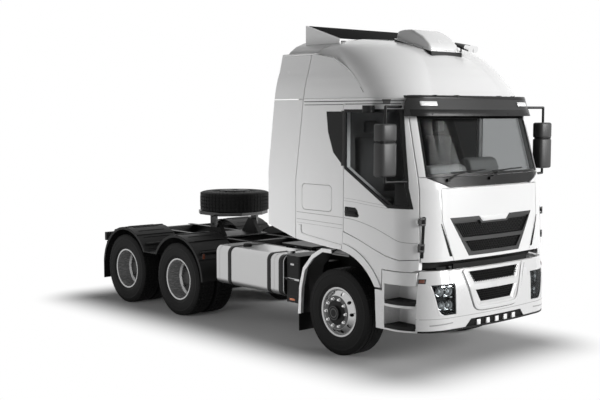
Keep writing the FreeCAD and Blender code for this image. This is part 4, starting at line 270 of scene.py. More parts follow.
@dataclass(frozen=True)
class Coating:
    """What any finish has: a name and one material."""

    name: str

    def material(self) -> bpy.types.Material:
        """The finish's material, made the first time it is asked for."""
        found = bpy.data.materials.get(OWN + self.name)
        return found if found else self.make()

    def make(self) -> bpy.types.Material:
        """Build the material.

        Returns:
            The new material.
        """
        material = bpy.data.materials.new(OWN + self.name)
        material.use_nodes = True
        material.node_tree.nodes.clear()
        tree = Tree(material.node_tree)
        tree.add("ShaderNodeOutputMaterial", None, {"Surface": self.shader(tree)}, None)
        return material

    def shader(self, tree: Tree) -> Wire:
        """The surface's shader, which each kind of finish builds."""
        raise NotImplementedError


@dataclass(frozen=True)
class Finish(Coating):
    """Surface of a piece: its colour, gloss and small relief."""

    level: float
    roughness: float
    grain: Grain = Grain.MOULDED
    tint: Triple = (1.0, 1.0, 1.0)
    metallic: float = 0.0
    coat: float = 0.0
    coat_roughness: float = 0.06
    relief: float = 0.12
    mottle: float = 0.05
    streak: float = 0.06
    dust: float = 0.10
    soft_edge: float = 0.0
    specular: float = 0.5

    def shader(self, tree: Tree) -> Wire:
        """Principled shader with the finish's zones.

        Args:
            tree: The material's builder.

        Returns:
            The shader.
        """
        colour, rough = self.coloured(tree)
        for mask, zone_colour, zone_rough in self.zones(tree, rough):
            colour = tree.mix(mask, colour, zone_colour)
            rough = rough * (1 - mask) + zone_rough * mask
        return tree.add("ShaderNodeBsdfPrincipled", None, {
            "Base Color": colour,
            "Roughness": rough,
            "Metallic": self.metal(tree),
            "Coat Weight": self.coat,
            "Coat Roughness": self.coat_roughness,
            "Specular IOR Level": self.specular,
            "Normal": self.relieved(tree),
        })

    def coloured(self, tree: Tree) -> tuple[Wire, Wire]:
        """Colour and roughness with broad mottle, fine streaks and road dust low down.

        Args:
            tree: The material's builder.

        Returns:
            Colour and roughness.
        """
        broad, fine = tree.noise(2.3, 4.0), tree.noise(38.0, 3.0, 0.6)
        low, high = self.level * (1 - self.mottle), self.level * (1 + self.mottle)
        colour = tree.mix(broad * 0.7 + fine * 0.3, grey(low, self.tint), grey(high, self.tint))
        dirt = tree.place[2].ramp(1.1, 0.1) * fine.ramp(0.35, 0.75) * self.dust
        colour = tree.mix(dirt, colour, grey(0.06 + 0.3 * self.level, (1.0, 0.97, 0.93)))
        return colour, self.roughness + (broad - 0.5) * (2 * self.streak) + dirt * 0.4

    def zones(self, tree: Tree, rough: Wire) -> list[Zone]:
        """Parts of the surface that differ, each a mask, colour and roughness; here there are none."""
        return []

    def metal(self, tree: Tree) -> float | Wire:
        """How metallic the surface is."""
        return self.metallic

    def relieved(self, tree: Tree) -> Wire:
        """Normal with the grain's relief and, if wanted, softened edges.

        Args:
            tree: The material's builder.

        Returns:
            The normal.
        """
        height, depth = self.relief_height(tree)
        inputs = {"Strength": self.relief, "Distance": depth, "Height": height}
        if self.soft_edge:
            inputs["Normal"] = tree.add("ShaderNodeBevel", {"samples": 4}, {"Radius": self.soft_edge})
        return tree.add("ShaderNodeBump", None, inputs)

    def relief_height(self, tree: Tree) -> tuple[Wire, float]:
        """Height pattern of the grain and its depth in metres.

        Args:
            tree: The material's builder.

        Returns:
            The height and the depth.
        """
        scale, detail, rough, stretch, depth = self.grain.value
        if self.grain is Grain.MOULDED:
            return tree.add("ShaderNodeTexVoronoi", None, {"Vector": tree.where, "Scale": scale}), depth
        if self.grain is Grain.WOVEN:
            warp, weft = tree.waves(scale)
            return warp * 0.5 + weft * 0.5, depth
        return tree.noise(scale, detail, rough, stretch), depth


@dataclass(frozen=True)
class WheelFinish(Finish):
    """Disc wheel whose rim is bright outside a radius and dark inside it."""

    bright: float = 0.50
    bright_roughness: float = 0.16
    split: float = 0.203
    axle: float = 0.0
    bright_metal: float = 1.0

    def outside(self, tree: Tree) -> Wire:
        """Mask of the bright part, round the wheel's own axle.

        Args:
            tree: The material's builder.

        Returns:
            The mask.
        """
        x, _, z = tree.place
        along, up = x - self.axle, z - TYRE_RADIUS
        return (along * along + up * up).root().over(self.split)

    def zones(self, tree: Tree, rough: Wire) -> list[Zone]:
        """Bright metal outside the split radius.

        Args:
            tree: The material's builder.
            rough: Roughness so far.

        Returns:
            The zone.
        """
        spun = tree.noise(3.0, 3.0, 0.5, (40.0, 4.0, 40.0))
        metal = tree.mix(spun, grey(self.bright * 0.92), grey(self.bright))
        return [(self.outside(tree), metal, self.bright_roughness + spun * 0.06)]

    def metal(self, tree: Tree) -> Wire:
        """Metal outside the split radius only."""
        return self.outside(tree) * self.bright_metal


@dataclass(frozen=True)
class LinedPaint(Finish):
    """Paint outside and a trimmed lining inside the cab."""

    inner: float = 0.12
    inner_roughness: float = 0.8
    wall: float = 1.212
    back: float = -0.690
    front: float = 0.800
    ceiling: float = 3.52
    header: float = 3.04
    dome_front: float = 0.45
    dome_half: float = 0.95

    def zones(self, tree: Tree, rough: Wire) -> list[Zone]:
        """Lining within the cab's walls and roof, and the dark post.

        Args:
            tree: The material's builder.
            rough: Roughness so far.

        Returns:
            The two zones.
        """
        x, y, z = tree.place
        across = y.absolute()
        room = across.under(self.wall) * x.between(self.back, self.front) * z.under(self.ceiling)
        under_roof = z.under(self.header) + x.under(self.dome_front) * across.under(self.dome_half)
        low, high = grey(self.inner * 0.94), grey(self.inner * 1.04, (1.0, 0.98, 0.95))
        lining = tree.mix(tree.noise(24.0, 2.0), low, high)
        return [(room * under_roof.over(0.5), lining, self.inner_roughness),
                (dark_post(tree), POST_BLACK, rough)]


@dataclass(frozen=True)
class DoorPaint(Finish):
    """Paint of the doors and corner panels, dark on the hinges and beside the window."""

    hinge_heights: Pair = (1.40, 1.69)
    hinge_half: float = 0.046
    hinge_rear: float = 1.188
    hinge_front: float = 1.236

    def zones(self, tree: Tree, rough: Wire) -> list[Zone]:
        """Dark at the two hinges and at the post between the panes.

        Args:
            tree: The material's builder.
            rough: Roughness so far.

        Returns:
            The zone.
        """
        x, _, z = tree.place
        low, high = [(z - height).absolute().under(self.hinge_half) for height in self.hinge_heights]
        hinge = (low + high) * x.between(self.hinge_rear, self.hinge_front)
        return [((hinge + dark_post(tree)).over(0.5), POST_BLACK, rough)]


@dataclass(frozen=True)
class GuardPaint(Finish):
    """Paint of the front mudguards, over a black liner."""

    edge: float = 1.165

    def zones(self, tree: Tree, rough: Wire) -> list[Zone]:
        """Black on the liner behind the painted edge."""
        return [(tree.place[1].absolute().under(self.edge), grey(0.008), rough + 0.3)]


def dark_post(tree: Tree) -> Wire:
    """Mask of the body between the quarter panel and the door's window."""
    x, y, z = tree.place
    return x.between(0.085, 0.150) * z.between(2.272, 2.914) * y.absolute().over(1.20)


@dataclass(frozen=True)
class HornChrome(Finish):
    """Chrome of the horns' bells, with dark stems behind them."""

    stem: float = 0.622

    def zones(self, tree: Tree, rough: Wire) -> list[Zone]:
        """Dark behind the bells."""
        return [(tree.place[0].under(self.stem), grey(0.012), rough + 0.3)]

    def metal(self, tree: Tree) -> Wire:
        """Metal on the bells only."""
        return tree.place[0].over(self.stem)


@dataclass(frozen=True)
class Glazing(Coating):
    """Pane that lets light through and reflects more at a low angle."""

    clear: Triple
    film: float
    roughness: float = 0.02
    body: float = 0.02

    def shader(self, tree: Tree) -> Wire:
        """Clear shader with a share of gloss.

        Args:
            tree: The material's builder.

        Returns:
            The shader.
        """
        facing = tree.add("ShaderNodeLayerWeight", None, {"Blend": 0.25}, "Fresnel")
        through = tree.add("ShaderNodeBsdfTransparent", None, {"Color": (*self.clear, 1.0)})
        gloss = tree.add("ShaderNodeBsdfPrincipled", None, {
            "Base Color": grey(self.body),
            "Roughness": self.roughness + tree.noise(7.0, 4.0) * 0.03,
            "Specular IOR Level": 0.5,
        })
        return tree.add("ShaderNodeMixShader", None, {0: facing * 0.5 + self.film, 1: through, 2: gloss})


@dataclass(frozen=True)
class Lens(Finish):
    """Coloured lamp lens with moulded flutes."""

    def relief_height(self, tree: Tree) -> tuple[Wire, float]:
        """Fine square flutes and their depth."""
        across, up = tree.waves(30.0)
        return across + up, 0.004


@dataclass(frozen=True)
class FloorFinish(Finish):
    """Pale floor that fades to white around the truck, as a studio's sweep does."""

    centre: Pair = (-0.15, -0.10)
    half: Pair = (3.15, 1.15)
    far: float = 1.15

    def shader(self, tree: Tree) -> Wire:
        """Paper near the truck, plain white further off.

        Args:
            tree: The material's builder.

        Returns:
            The shader.
        """
        x, y, _ = tree.parts(tree.where)
        past_x = x.maths("MAXIMUM", 0.0, (x - self.centre[0]).absolute() - self.half[0])
        past_y = y.maths("MAXIMUM", 0.0, (y - self.centre[1]).absolute() - self.half[1])
        reach = (past_x * past_x + past_y * past_y).root().ramp(0.0, self.far)
        white = tree.add("ShaderNodeEmission", None, {"Color": grey(1.0), "Strength": 1.0})
        paper = super().shader(tree)
        return tree.add("ShaderNodeMixShader", None, {0: reach * tree.seen(), 1: paper, 2: white})


SPRAYED = {"grain": Grain.PEEL, "coat": 0.6, "coat_roughness": 0.05, "relief": 0.05, "mottle": 0.012,
           "streak": 0.03, "soft_edge": 0.006, "specular": 0.4}
CHROMED = {"grain": Grain.PEEL, "relief": 0.02, "metallic": 1.0, "mottle": 0.02, "streak": 0.02}


class Palette:
    """Every finish of the truck."""

    PAINT = Finish("white_paint", 0.80, 0.26, **SPRAYED)
    SHELL = LinedPaint("white_paint_lined", 0.80, 0.26, **SPRAYED)
    DOOR = DoorPaint("white_paint_doors", 0.80, 0.26, **SPRAYED)
    GUARD = GuardPaint("guard_paint", 0.80, 0.26, **SPRAYED)
    # The white paint at a lower level: painted shade for the bumper, which gets less light, also used on its
    # contour, linings and headlamp frames
    BUMPER = Finish("bumper_paint", 0.66, 0.28,
                    **{**SPRAYED, "coat": 0.5, "coat_roughness": 0.06, "dust": 0.12})
    RAMP = Finish("ramp_black", 0.012, 0.8, relief=0.2, mottle=0.2, dust=0.0, specular=0.02)
    PLASTIC = Finish("black_plastic", 0.011, 0.46, relief=0.22, mottle=0.20, dust=0.04,
                     soft_edge=0.003, specular=0.14)
    GLOSS = Finish("dark_gloss", 0.010, 0.24, Grain.PEEL, relief=0.05, mottle=0.12, dust=0.02, soft_edge=0.004,
                   specular=0.16)
    MESH = Finish("grille_mesh", 0.006, 0.5, relief=0.15, mottle=0.2, dust=0.0, specular=0.10)
    GRILLE = Finish("grille_plastic", 0.024, 0.40, mottle=0.12, dust=0.0,
                    soft_edge=0.004, specular=0.25)
    VISOR = Finish("visor_plastic", 0.018, 0.34, Grain.PEEL, relief=0.06, mottle=0.10, soft_edge=0.004,
                   specular=0.22)
    MIRROR_CASE = Finish("mirror_case", 0.034, 0.40, relief=0.10, mottle=0.08, specular=0.35)
    FRAME = Finish("frame_paint", 0.010, 0.40, Grain.CAST, relief=0.14, mottle=0.22, dust=0.05, soft_edge=0.004,
                   specular=0.16)
    CAST = Finish("cast_steel", 0.018, 0.50, Grain.CAST, relief=0.40, mottle=0.25, metallic=0.3,
                  specular=0.2)
    ENGINE = Finish("engine_grey", 0.14, 0.55, Grain.CAST, relief=0.35, mottle=0.2, dust=0.2)
    PLATE = Finish("coupling_steel", 0.05, 0.36, Grain.CAST, relief=0.2, mottle=0.3, metallic=0.6)
    TANK = Finish("tank_metal", 0.50, 0.30, Grain.BRUSHED, relief=0.10, mottle=0.04, metallic=1.0,
                  streak=0.05, dust=0.12, soft_edge=0.004)
    STRAP = Finish("strap_rubber", 0.012, 0.42, Grain.RUBBER, relief=0.15, mottle=0.2, dust=0.02, soft_edge=0.002,
                   specular=0.16)
    STEEL = Finish("bright_steel", 0.46, 0.25, Grain.BRUSHED, metallic=1.0)
    CHROME = Finish("horn_chrome", 0.86, 0.07, **CHROMED)
    HORN = HornChrome("horn_chrome_split", 0.86, 0.07, **CHROMED)
    TYRE = Finish("tyre_rubber", 0.007, 0.60, Grain.RUBBER, relief=0.22, mottle=0.22, dust=0.04, specular=0.12)
    FLAP = Finish("flap_rubber", 0.007, 0.6, Grain.RUBBER, relief=0.25, mottle=0.2, dust=0.05, specular=0.12)
    SEAT = Finish("seat_fabric", 0.06, 0.85, Grain.WOVEN, relief=0.35, mottle=0.18, dust=0.0)
    CABIN = Finish("cab_plastic", 0.26, 0.6, relief=0.25, mottle=0.10, dust=0.0)
    BOWL = Finish("lamp_bowl", 0.42, 0.12, Grain.PEEL, relief=0.05, metallic=1.0)
    CREASE = Finish("crease_shade", 0.34, 0.6, Grain.PEEL, relief=0.05, dust=0.0, specular=0.2)
    SEAM = Finish("seam_shadow", 0.03, 0.7, relief=0.1, mottle=0.15, dust=0.0, specular=0.15)
    AMBER = Lens("amber_lens", 0.5, 0.12, tint=(1.0, 0.22, 0.02), coat=1.0, relief=0.3, mottle=0.1)
    RED = Lens("red_lens", 0.4, 0.12, tint=(1.0, 0.04, 0.03), coat=1.0, relief=0.3, mottle=0.1)
    MARKER = Lens("marker_lens", 0.14, 0.2, tint=(1.0, 0.20, 0.05), relief=0.3, mottle=0.3)
    CLEAR = Lens("clear_lens", 0.85, 0.10, coat=1.0, relief=0.3, mottle=0.04)
    MIRROR = Finish("mirror_face", 0.75, 0.04, Grain.PEEL, metallic=1.0, relief=0.01, mottle=0.02, streak=0.01)
    WINDSCREEN = Glazing("windscreen_glass", (0.90, 0.91, 0.91), 0.015)
    WINDOW = Glazing("window_glass", (0.84, 0.845, 0.85), 0.02)
    COVER = Glazing("lamp_cover", (0.92, 0.94, 0.95), 0.05)
    FLOOR = FloorFinish("floor_paper", 0.70, 0.8, relief=0.03, mottle=0.01, dust=0.0, specular=0.1)
    FRONT_WHEEL = WheelFinish("wheel_bright", 0.045, 0.4, Grain.CAST, relief=0.1, mottle=0.2)

    @staticmethod
    def drive_wheel(axle: str) -> WheelFinish:
        """Painted wheel of a drive axle, with a satin rim."""
        return WheelFinish(f"wheel_dark_{axle}", 0.022, 0.40, Grain.CAST, mottle=0.2, dust=0.05, specular=0.3,
                           bright=0.40, bright_roughness=0.24, split=0.250, axle=DRIVE_AXLES[axle],
                           bright_metal=0.45)


def part_way(start: float, end: float, share: float) -> float:
    """Value at a share of the way from a start to an end."""
    return start + (end - start) * share


def spread(start: float, end: float, steps: int) -> list[float]:
    """Even values from a start to an end."""
    return [part_way(start, end, i / steps) for i in range(steps + 1)]


def grid(along: Sequence[float], rows: Sequence[float]) -> list[list[Pair]]:
    """Rows of places: the first number runs along a row, the second from row to row."""
    return [[(a, b) for a in along] for b in rows]


def polygon(radius: float, corners: int = 6, centre: Pair = (0.0, 0.0),
            turn: float | None = None) -> list[Pair]:
    """Corners about a centre.

    Args:
        radius: Distance from the centre.
        corners: Number of corners.
        centre: The centre.
        turn: Angle between two corners in radians, if they aren't evenly spread.

    Returns:
        The corners.
    """
    turn = 2 * math.pi / corners if turn is None else turn
    a, b = centre
    return [(a + radius * math.cos(k * turn), b + radius * math.sin(k * turn)) for k in range(corners)]


def on_wheel(angle: float, y: float, radius: float) -> Vector:
    """Point of a wheel at an angle, a place along its axle and a radius."""
    return Vector((radius * math.cos(angle), y, radius * math.sin(angle)))


def on_level(x: float, y: float, z: float) -> Vector:
    """Point of a level face."""
    return Vector((x, y, z))


def link(name: str, data: Any) -> bpy.types.Object:
    """New object in the scene.

    Args:
        name: Its name.
        data: Its mesh, lamp or camera.

    Returns:
        The object.
    """
    thing = bpy.data.objects.new(name, data)
    bpy.context.scene.collection.objects.link(thing)
    return thing


def evaluated(thing: bpy.types.Object) -> bpy.types.Mesh:
    """Mesh of an object under its modifiers."""
    bpy.context.view_layer.update()
    return bpy.data.meshes.new_from_object(thing.evaluated_get(bpy.context.evaluated_depsgraph_get()))


class Form:
    """Closed shapes, gathered as points and faces in the truck's own frame."""

    def __init__(self) -> None:
        """Start empty."""
        self.points: list[Vector] = []
        self.faces: list[tuple[int, ...]] = []

    def take(self, points: Sequence[Any], faces: Sequence[Sequence[int]]) -> "Form":
        """Add points and the faces between them.

        Args:
            points: New points.
            faces: Faces, counted from the first new point.

        Returns:
            The form itself.
        """
        start = len(self.points)
        self.points += [Vector(p) for p in points]
        self.faces += [tuple(start + i for i in face) for face in faces]
        return self

    def join(self, other: "Form") -> "Form":
        """Add another form's shapes."""
        return self.take(other.points, other.faces)

    def moved(self, by: Any) -> "Form":
        """Copy at another place."""
        return Form().take([p + Vector(by) for p in self.points], self.faces)

    def turned(self, matrix: Matrix) -> "Form":
        """Copy under a matrix, with faces turned round where it mirrors."""
        faces = self.faces if matrix.determinant() > 0 else [f[::-1] for f in self.faces]
        return Form().take([matrix @ p for p in self.points], faces)

    def on(self, side: Side) -> "Form":
        """A left-hand form, or its twin on the right."""
        return self if side is Side.LEFT else self.turned(Matrix.Diagonal((1, -1, 1, 1)))

    def box(self, low: Any, high: Any) -> "Form":
        """Add a box between two corners."""
        x, y, z = zip(low, high)
        points = [(x[i], y[j], z[k]) for i in (0, 1) for j in (0, 1) for k in (0, 1)]
        faces = [(0, 1, 3, 2), (4, 6, 7, 5), (0, 4, 5, 1), (2, 3, 7, 6), (0, 2, 6, 4), (1, 5, 7, 3)]
        return self.take(points, faces)

    def loft(self, loops: Sequence[Sequence[Any]], closed: bool = False) -> "Form":
        """Add a solid through loops of points.

        Args:
            loops: Loops with as many points each.
            closed: True where the last loop joins the first, False where a face closes each end.

        Returns:
            The form itself.
        """
        count, last = len(loops[0]), len(loops) - 1
        faces = [] if closed else [tuple(range(count))[::-1], tuple(range(last * count, (last + 1) * count))]
        for a in range(last + 1 if closed else last):
            b = (a + 1) % len(loops)
            for i in range(count):
                j = (i + 1) % count
                faces.append((a * count + i, a * count + j, b * count + j, b * count + i))
        return self.take([p for loop in loops for p in loop], faces)

    def prism(self, outline: Sequence[Pair], axis: Axis, low: float, high: float) -> "Form":
        """Add an outline, given in the two other axes, pushed along an axis."""
        at = axis.value
        return self.loft([[(*p[:at], level, *p[at:]) for p in outline] for level in (low, high)])

    def ring(self, section: Sequence[Pair], steps: int) -> "Form":
        """Add a closed section of radius and place, turned about the axis along Y."""
        turns = [2 * math.pi * step / steps for step in range(steps)]
        return self.loft([[on_wheel(turn, y, r) for r, y in section] for turn in turns], True)

    def tube(self, path: Sequence[Any], radius: float, steps: int = 12, end: float | None = None) -> "Form":
        """Add a round bar along a path.

        Args:
            path: Points along its middle.
            radius: Radius, at the start if an end radius is given.
            steps: Sides of the bar.
            end: Radius at the end.

        Returns:
            The form itself.
        """
        way = [Vector(p) for p in path]
        last = len(way) - 1
        up = None
        loops = []
        for i, place in enumerate(way):
            tangent = (way[min(i + 1, last)] - way[max(i - 1, 0)]).normalized()
            if up is None:
                up = tangent.orthogonal().normalized()
            up = (up - tangent * up.dot(tangent)).normalized()
            side = tangent.cross(up)
            size = radius if end is None else part_way(radius, end, i / last)
            loops.append([place + up * a + side * b for a, b in polygon(size, steps)])
        return self.loft(loops)

    def slab(self, outer: Sequence[Sequence[Any]], inner: Sequence[Sequence[Any]]) -> "Form":
        """Add a solid between two grids of points.

        Args:
            outer: Rows of points of one face.
            inner: Rows of points of the other face.

        Returns:
            The form itself.
        """
        rows, cols = len(outer), len(outer[0])
        size = rows * cols
        points = [p for grid in (outer, inner) for row in grid for p in row]
        faces = []
        for r in range(rows - 1):
            for c in range(cols - 1):
                a = r * cols + c
                faces.append((a, a + 1, a + cols + 1, a + cols))
                faces.append((size + a, size + a + cols, size + a + cols + 1, size + a + 1))
        rim = [*range(cols), *[r * cols + cols - 1 for r in range(1, rows)]]
        rim += [(rows - 1) * cols + c for c in range(cols - 2, -1, -1)]
        rim += [r * cols for r in range(rows - 2, 0, -1)]
        for i, a in enumerate(rim):
            b = rim[(i + 1) % len(rim)]
            faces.append((a, size + a, size + b, b))
        return self.take(points, faces)

    def skin(self, place: Callable[[float, float, float], Any], rows: Rows, levels: Sequence[float]) -> "Form":
        """Add a plate that follows a curved face.

        Args:
            place: Point of the face at two coordinates and a level over or under it.
            rows: Rows of the plate's points, as the face's two coordinates.
            levels: Level of its outer and of its inner side.

        Returns:
            The form itself.
        """
        return self.slab(*[[[place(a, b, level) for a, b in row] for row in rows] for level in levels])

    def mesh(self, name: str) -> bpy.types.Mesh:
        """The gathered shapes as a mesh with faces outward.

        Args:
            name: The mesh's name.

        Returns:
            The mesh.
        """
        mesh = bpy.data.meshes.new(name)
        mesh.from_pydata(self.points, [], self.faces)
        work = bmesh.new()
        work.from_mesh(mesh)
        bmesh.ops.remove_doubles(work, verts=work.verts, dist=1e-6)
        bmesh.ops.recalc_face_normals(work, faces=work.faces)
        work.to_mesh(mesh)
        work.free()
        return mesh


class Repeats:
    """Geometry Nodes trees that repeat a part, made once each."""

    def __init__(self) -> None:
        """Build the trees."""
        self.ring_tree = self.make("ring_of_parts", {"Count": "Int"}, self.ring_nodes)
        self.row_tree = self.make("row_of_parts", {"Count": "Int", "Step": "Vector"}, self.row_nodes)
        lengths = dict.fromkeys(("Cell", "Top", "Low", "Bow", "Lean"), "Float")
        self.comb_tree = self.make("honeycomb", {"Columns": "Int", "Rows": "Int", **lengths}, self.comb_nodes)
        self.soft_tree = self.make("smooth_faces", {"Angle": "Float"}, self.smooth_nodes, False)

    def make(self, name: str, sizes: dict[str, str], body: Callable[[Tree, dict[str, Wire]], Wire],
             dressed: bool = True) -> bpy.types.NodeTree:
        """Build one tree.

        Args:
            name: The tree's name.
            sizes: Named inputs and their socket types.
            body: Method that adds the nodes between input and output.
            dressed: True for a tree that ends in Set Material.

        Returns:
            The tree.
        """
        group = bpy.data.node_groups.new(name, "GeometryNodeTree")
        inputs = {"Part": "Geometry", **sizes, **({"Finish": "Material"} if dressed else {})}
        for label, kind in inputs.items():
            group.interface.new_socket(label, in_out="INPUT", socket_type="NodeSocket" + kind)
        group.interface.new_socket("Result", in_out="OUTPUT", socket_type="NodeSocketGeometry")
        tree = Tree(group)
        entry = tree.add("NodeGroupInput", None, None, None)
        wires = {socket.name: Wire(tree, socket) for socket in entry.outputs if socket.name}
        result = body(tree, wires)
        if dressed:
            result = tree.add("GeometryNodeRealizeInstances", None, {0: result})
            result = tree.add("GeometryNodeSetMaterial", None, {"Geometry": result, "Material": wires["Finish"]})
        tree.add("NodeGroupOutput", None, {0: result}, None)
        return group

    @staticmethod
    def ring_nodes(tree: Tree, wires: dict[str, Wire]) -> Wire:
        """Copies turned about the axis along Y."""
        points = tree.add("GeometryNodePoints", None, {"Count": wires["Count"]})
        index = tree.add("GeometryNodeInputIndex")
        turn = index / wires["Count"] * (2 * math.pi)
        euler = tree.add("ShaderNodeCombineXYZ", None, {1: turn})
        rotation = tree.add("FunctionNodeEulerToRotation", None, {0: euler})
        return tree.add("GeometryNodeInstanceOnPoints", None,
                        {"Points": points, "Instance": wires["Part"], "Rotation": rotation})

    @staticmethod
    def row_nodes(tree: Tree, wires: dict[str, Wire]) -> Wire:
        """Copies along a straight line."""
        index = tree.add("GeometryNodeInputIndex")
        place = tree.add("ShaderNodeVectorMath", {"operation": "SCALE"}, {0: wires["Step"], "Scale": index})
        points = tree.add("GeometryNodePoints", None, {"Count": wires["Count"], "Position": place})
        return tree.add("GeometryNodeInstanceOnPoints", None, {"Points": points, "Instance": wires["Part"]})

    @staticmethod
    def comb_nodes(tree: Tree, wires: dict[str, Wire]) -> Wire:
        """Cells in offset rows within a trapezoid, on a face that is bowed and leans back."""
        index = tree.add("GeometryNodeInputIndex")
        columns = wires["Columns"]
        row = tree.add("ShaderNodeMath", {"operation": "FLOOR"}, {0: index / columns})
        column = index - row * columns
        odd = tree.add("ShaderNodeMath", {"operation": "MODULO"}, {0: row, 1: 2.0})
        across = (column - (columns - 1) * 0.5 + (odd - 0.5) * 0.5) * wires["Cell"]
        up = row * wires["Cell"] * 0.866
        height = wires["Rows"] * wires["Cell"] * 0.866
        limit = wires["Low"] + (wires["Top"] - wires["Low"]) * (up / height)
        back = across * across * wires["Bow"] + up * wires["Lean"]
        place = tree.add("ShaderNodeCombineXYZ", None, {0: 0.0 - back, 1: across, 2: up})
        points = tree.add("GeometryNodePoints", None, {"Count": columns * wires["Rows"], "Position": place})
        outside = across.absolute().over(limit)
        kept = tree.add("GeometryNodeDeleteGeometry", {"domain": "POINT"}, {0: points, 1: outside})
        return tree.add("GeometryNodeInstanceOnPoints", None, {"Points": kept, "Instance": wires["Part"]})

    @staticmethod
    def smooth_nodes(tree: Tree, wires: dict[str, Wire]) -> Wire:
        """Joined facets, smooth but for the edges over an angle."""
        merged = tree.add("GeometryNodeMergeByDistance", None, {"Geometry": wires["Part"], "Distance": 2e-5})
        plain = tree.add("GeometryNodeRemoveAttribute", None, {"Geometry": merged, "Name": "custom_normal"})
        smooth = tree.add("GeometryNodeSetShadeSmooth", {"domain": "FACE"}, {0: plain})
        angle = tree.add("GeometryNodeInputMeshEdgeAngle")
        sharp = angle.over(wires["Angle"])
        return tree.add("GeometryNodeSetShadeSmooth", {"domain": "EDGE"}, {0: smooth, 1: sharp, 2: False})

    def run(self, tree: bpy.types.NodeTree, part: Form, name: str, finish: Any, **sizes: Any) -> bpy.types.Mesh:
        """Repeat a form and give the result as a plain mesh.

        Args:
            tree: One of this object's trees.
            part: Form that is repeated.
            name: Name of the result.
            finish: Finish of the result.
            **sizes: Values of the tree's named inputs.

        Returns:
            The new mesh.
        """
        holder = link(name + "_holder", part.mesh(name + "_part"))
        modifier = holder.modifiers.new("repeat", "NODES")
        modifier.node_group = tree
        values = {**sizes, "Finish": finish.material()}
        for item in tree.interface.items_tree:
            if item.in_out == "INPUT" and item.name in values:
                modifier[item.identifier] = values[item.name]
        mesh = evaluated(holder)
        mesh.name = name
        bpy.data.objects.remove(holder)
        return mesh


Parts = Sequence[tuple["Form | bpy.types.Mesh", Matrix]]


class Yard:
    """Puts finished meshes on their bodies, in the shared frame."""

    def __init__(self) -> None:
        """Build the repeating trees."""
        self.repeats = Repeats()

    def put(self, name: str, shape: Form | bpy.types.Mesh, finish: Any, body: str = "chassis", bevel: float = 0.0,
            angle: float = 32.0, replaces: Sequence[str] = (), slot: str | None = None,
            segments: int = 2) -> bpy.types.Object:
        """Make an object of a form or mesh.

        Args:
            name: The piece's name.
            shape: Its form, or its mesh in the truck's own frame.
            finish: Its finish.
            body: CAD body that it moves with.
            bevel: Width of a bevel on its edges.
            angle: Edges over this angle stay sharp, in degrees.
            replaces: CAD nodes that it stands for.
            slot: Material slot of the record; not used.
            segments: Number of steps across a bevel.

        Returns:
            The object.
        """
        mesh = shape.mesh(name) if isinstance(shape, Form) else shape
        mesh.transform(Matrix.Translation((AXLE_X, 0, 0)))
        piece = link(name, mesh)
        mesh.materials.clear()
        mesh.materials.append(finish.material())
        for polygon in mesh.polygons:
            polygon.material_index = 0
        if bevel:
            edge = piece.modifiers.new("edge", "BEVEL")
            edge.width = bevel
            edge.segments = segments
            edge.limit_method = "ANGLE"
            edge.angle_limit = math.radians(angle)
        self.smooth(piece, angle)
        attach(piece, body)
        if replaces:
            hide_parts(*replaces)
        log.info("%s on %s: %d faces", name, body, len(mesh.polygons))
        return piece

    def both(self, name: str, shape: Form | Parts, finish: Any, body: str = "chassis",
             replaces: Sequence[str] = (), **options: Any) -> None:
        """Make a left-hand piece and its twin on the right.

        Args:
            name: The pieces' name, before the side's.
            shape: The left one's form, or its parts and their matrices.
            finish: Their finish.
            body: CAD body, with braces where the side's name goes.
            replaces: CAD nodes that they stand for, with braces likewise.
            **options: What else is said to put.
        """
        for side in Side:
            whole = f"{name}_{side.label}"
            if isinstance(shape, Form):
                part = shape.on(side)
            else:
                mirror = Matrix.Diagonal((1, side.sign, 1, 1))
                part = self.join(whole, [(item, mirror @ place) for item, place in shape])
            nodes = [node.format(side.label) for node in replaces]
            self.put(whole, part, finish, body.format(side.label), replaces=nodes, **options)

    def smooth(self, piece: bpy.types.Object, angle: float = 32.0) -> None:
        """Shade a piece smooth but for its sharper edges.

        Args:
            piece: The piece.
            angle: Edges over this angle stay sharp, in degrees.
        """
        modifier = piece.modifiers.new("smooth", "NODES")
        tree = self.repeats.soft_tree
        modifier.node_group = tree
        wanted = next(i for i in tree.interface.items_tree if i.name == "Angle")
        modifier[wanted.identifier] = math.radians(angle)

    def ring(self, name: str, part: Form, finish: Any, count: int) -> bpy.types.Mesh:
        """Part repeated about the axis along Y."""
        return self.repeats.run(self.repeats.ring_tree, part, name, finish, Count=count)

    def row(self, name: str, part: Form, finish: Any, count: int, step: Triple) -> bpy.types.Mesh:
        """Part repeated along a line."""
        return self.repeats.run(self.repeats.row_tree, part, name, finish, Count=count, Step=step)

    def join(self, name: str, parts: Parts) -> bpy.types.Mesh:
        """One mesh of several parts.

        Args:
            name: Name of the result.
            parts: Forms or meshes and their matrices.

        Returns:
            The new mesh.
        """
        work = bmesh.new()
        for part, matrix in parts:
            copy = part.mesh(name) if isinstance(part, Form) else part.copy()
            copy.transform(matrix)
            if matrix.determinant() < 0:
                copy.flip_normals()
            work.from_mesh(copy)
            bpy.data.meshes.remove(copy)
        result = bpy.data.meshes.new(name)
        work.to_mesh(result)
        work.free()
        return result


def ribbon(path: Sequence[Pair], width: float, shares: Sequence[float]) -> list[list[Pair]]:
    """Rows of points across a path.

    Args:
        path: Points along its middle.
        width: The ribbon's width.
        shares: Places across it, from -1 to 1.

    Returns:
        A row for each point of the path.
    """
    last = len(path) - 1
    rows = []
    for i, (a, b) in enumerate(path):
        way = (Vector(path[min(i + 1, last)]) - Vector(path[max(i - 1, 0)])).normalized() * (width / 2)
        rows.append([(a - way.y * s, b + way.x * s) for s in shares])
    return rows


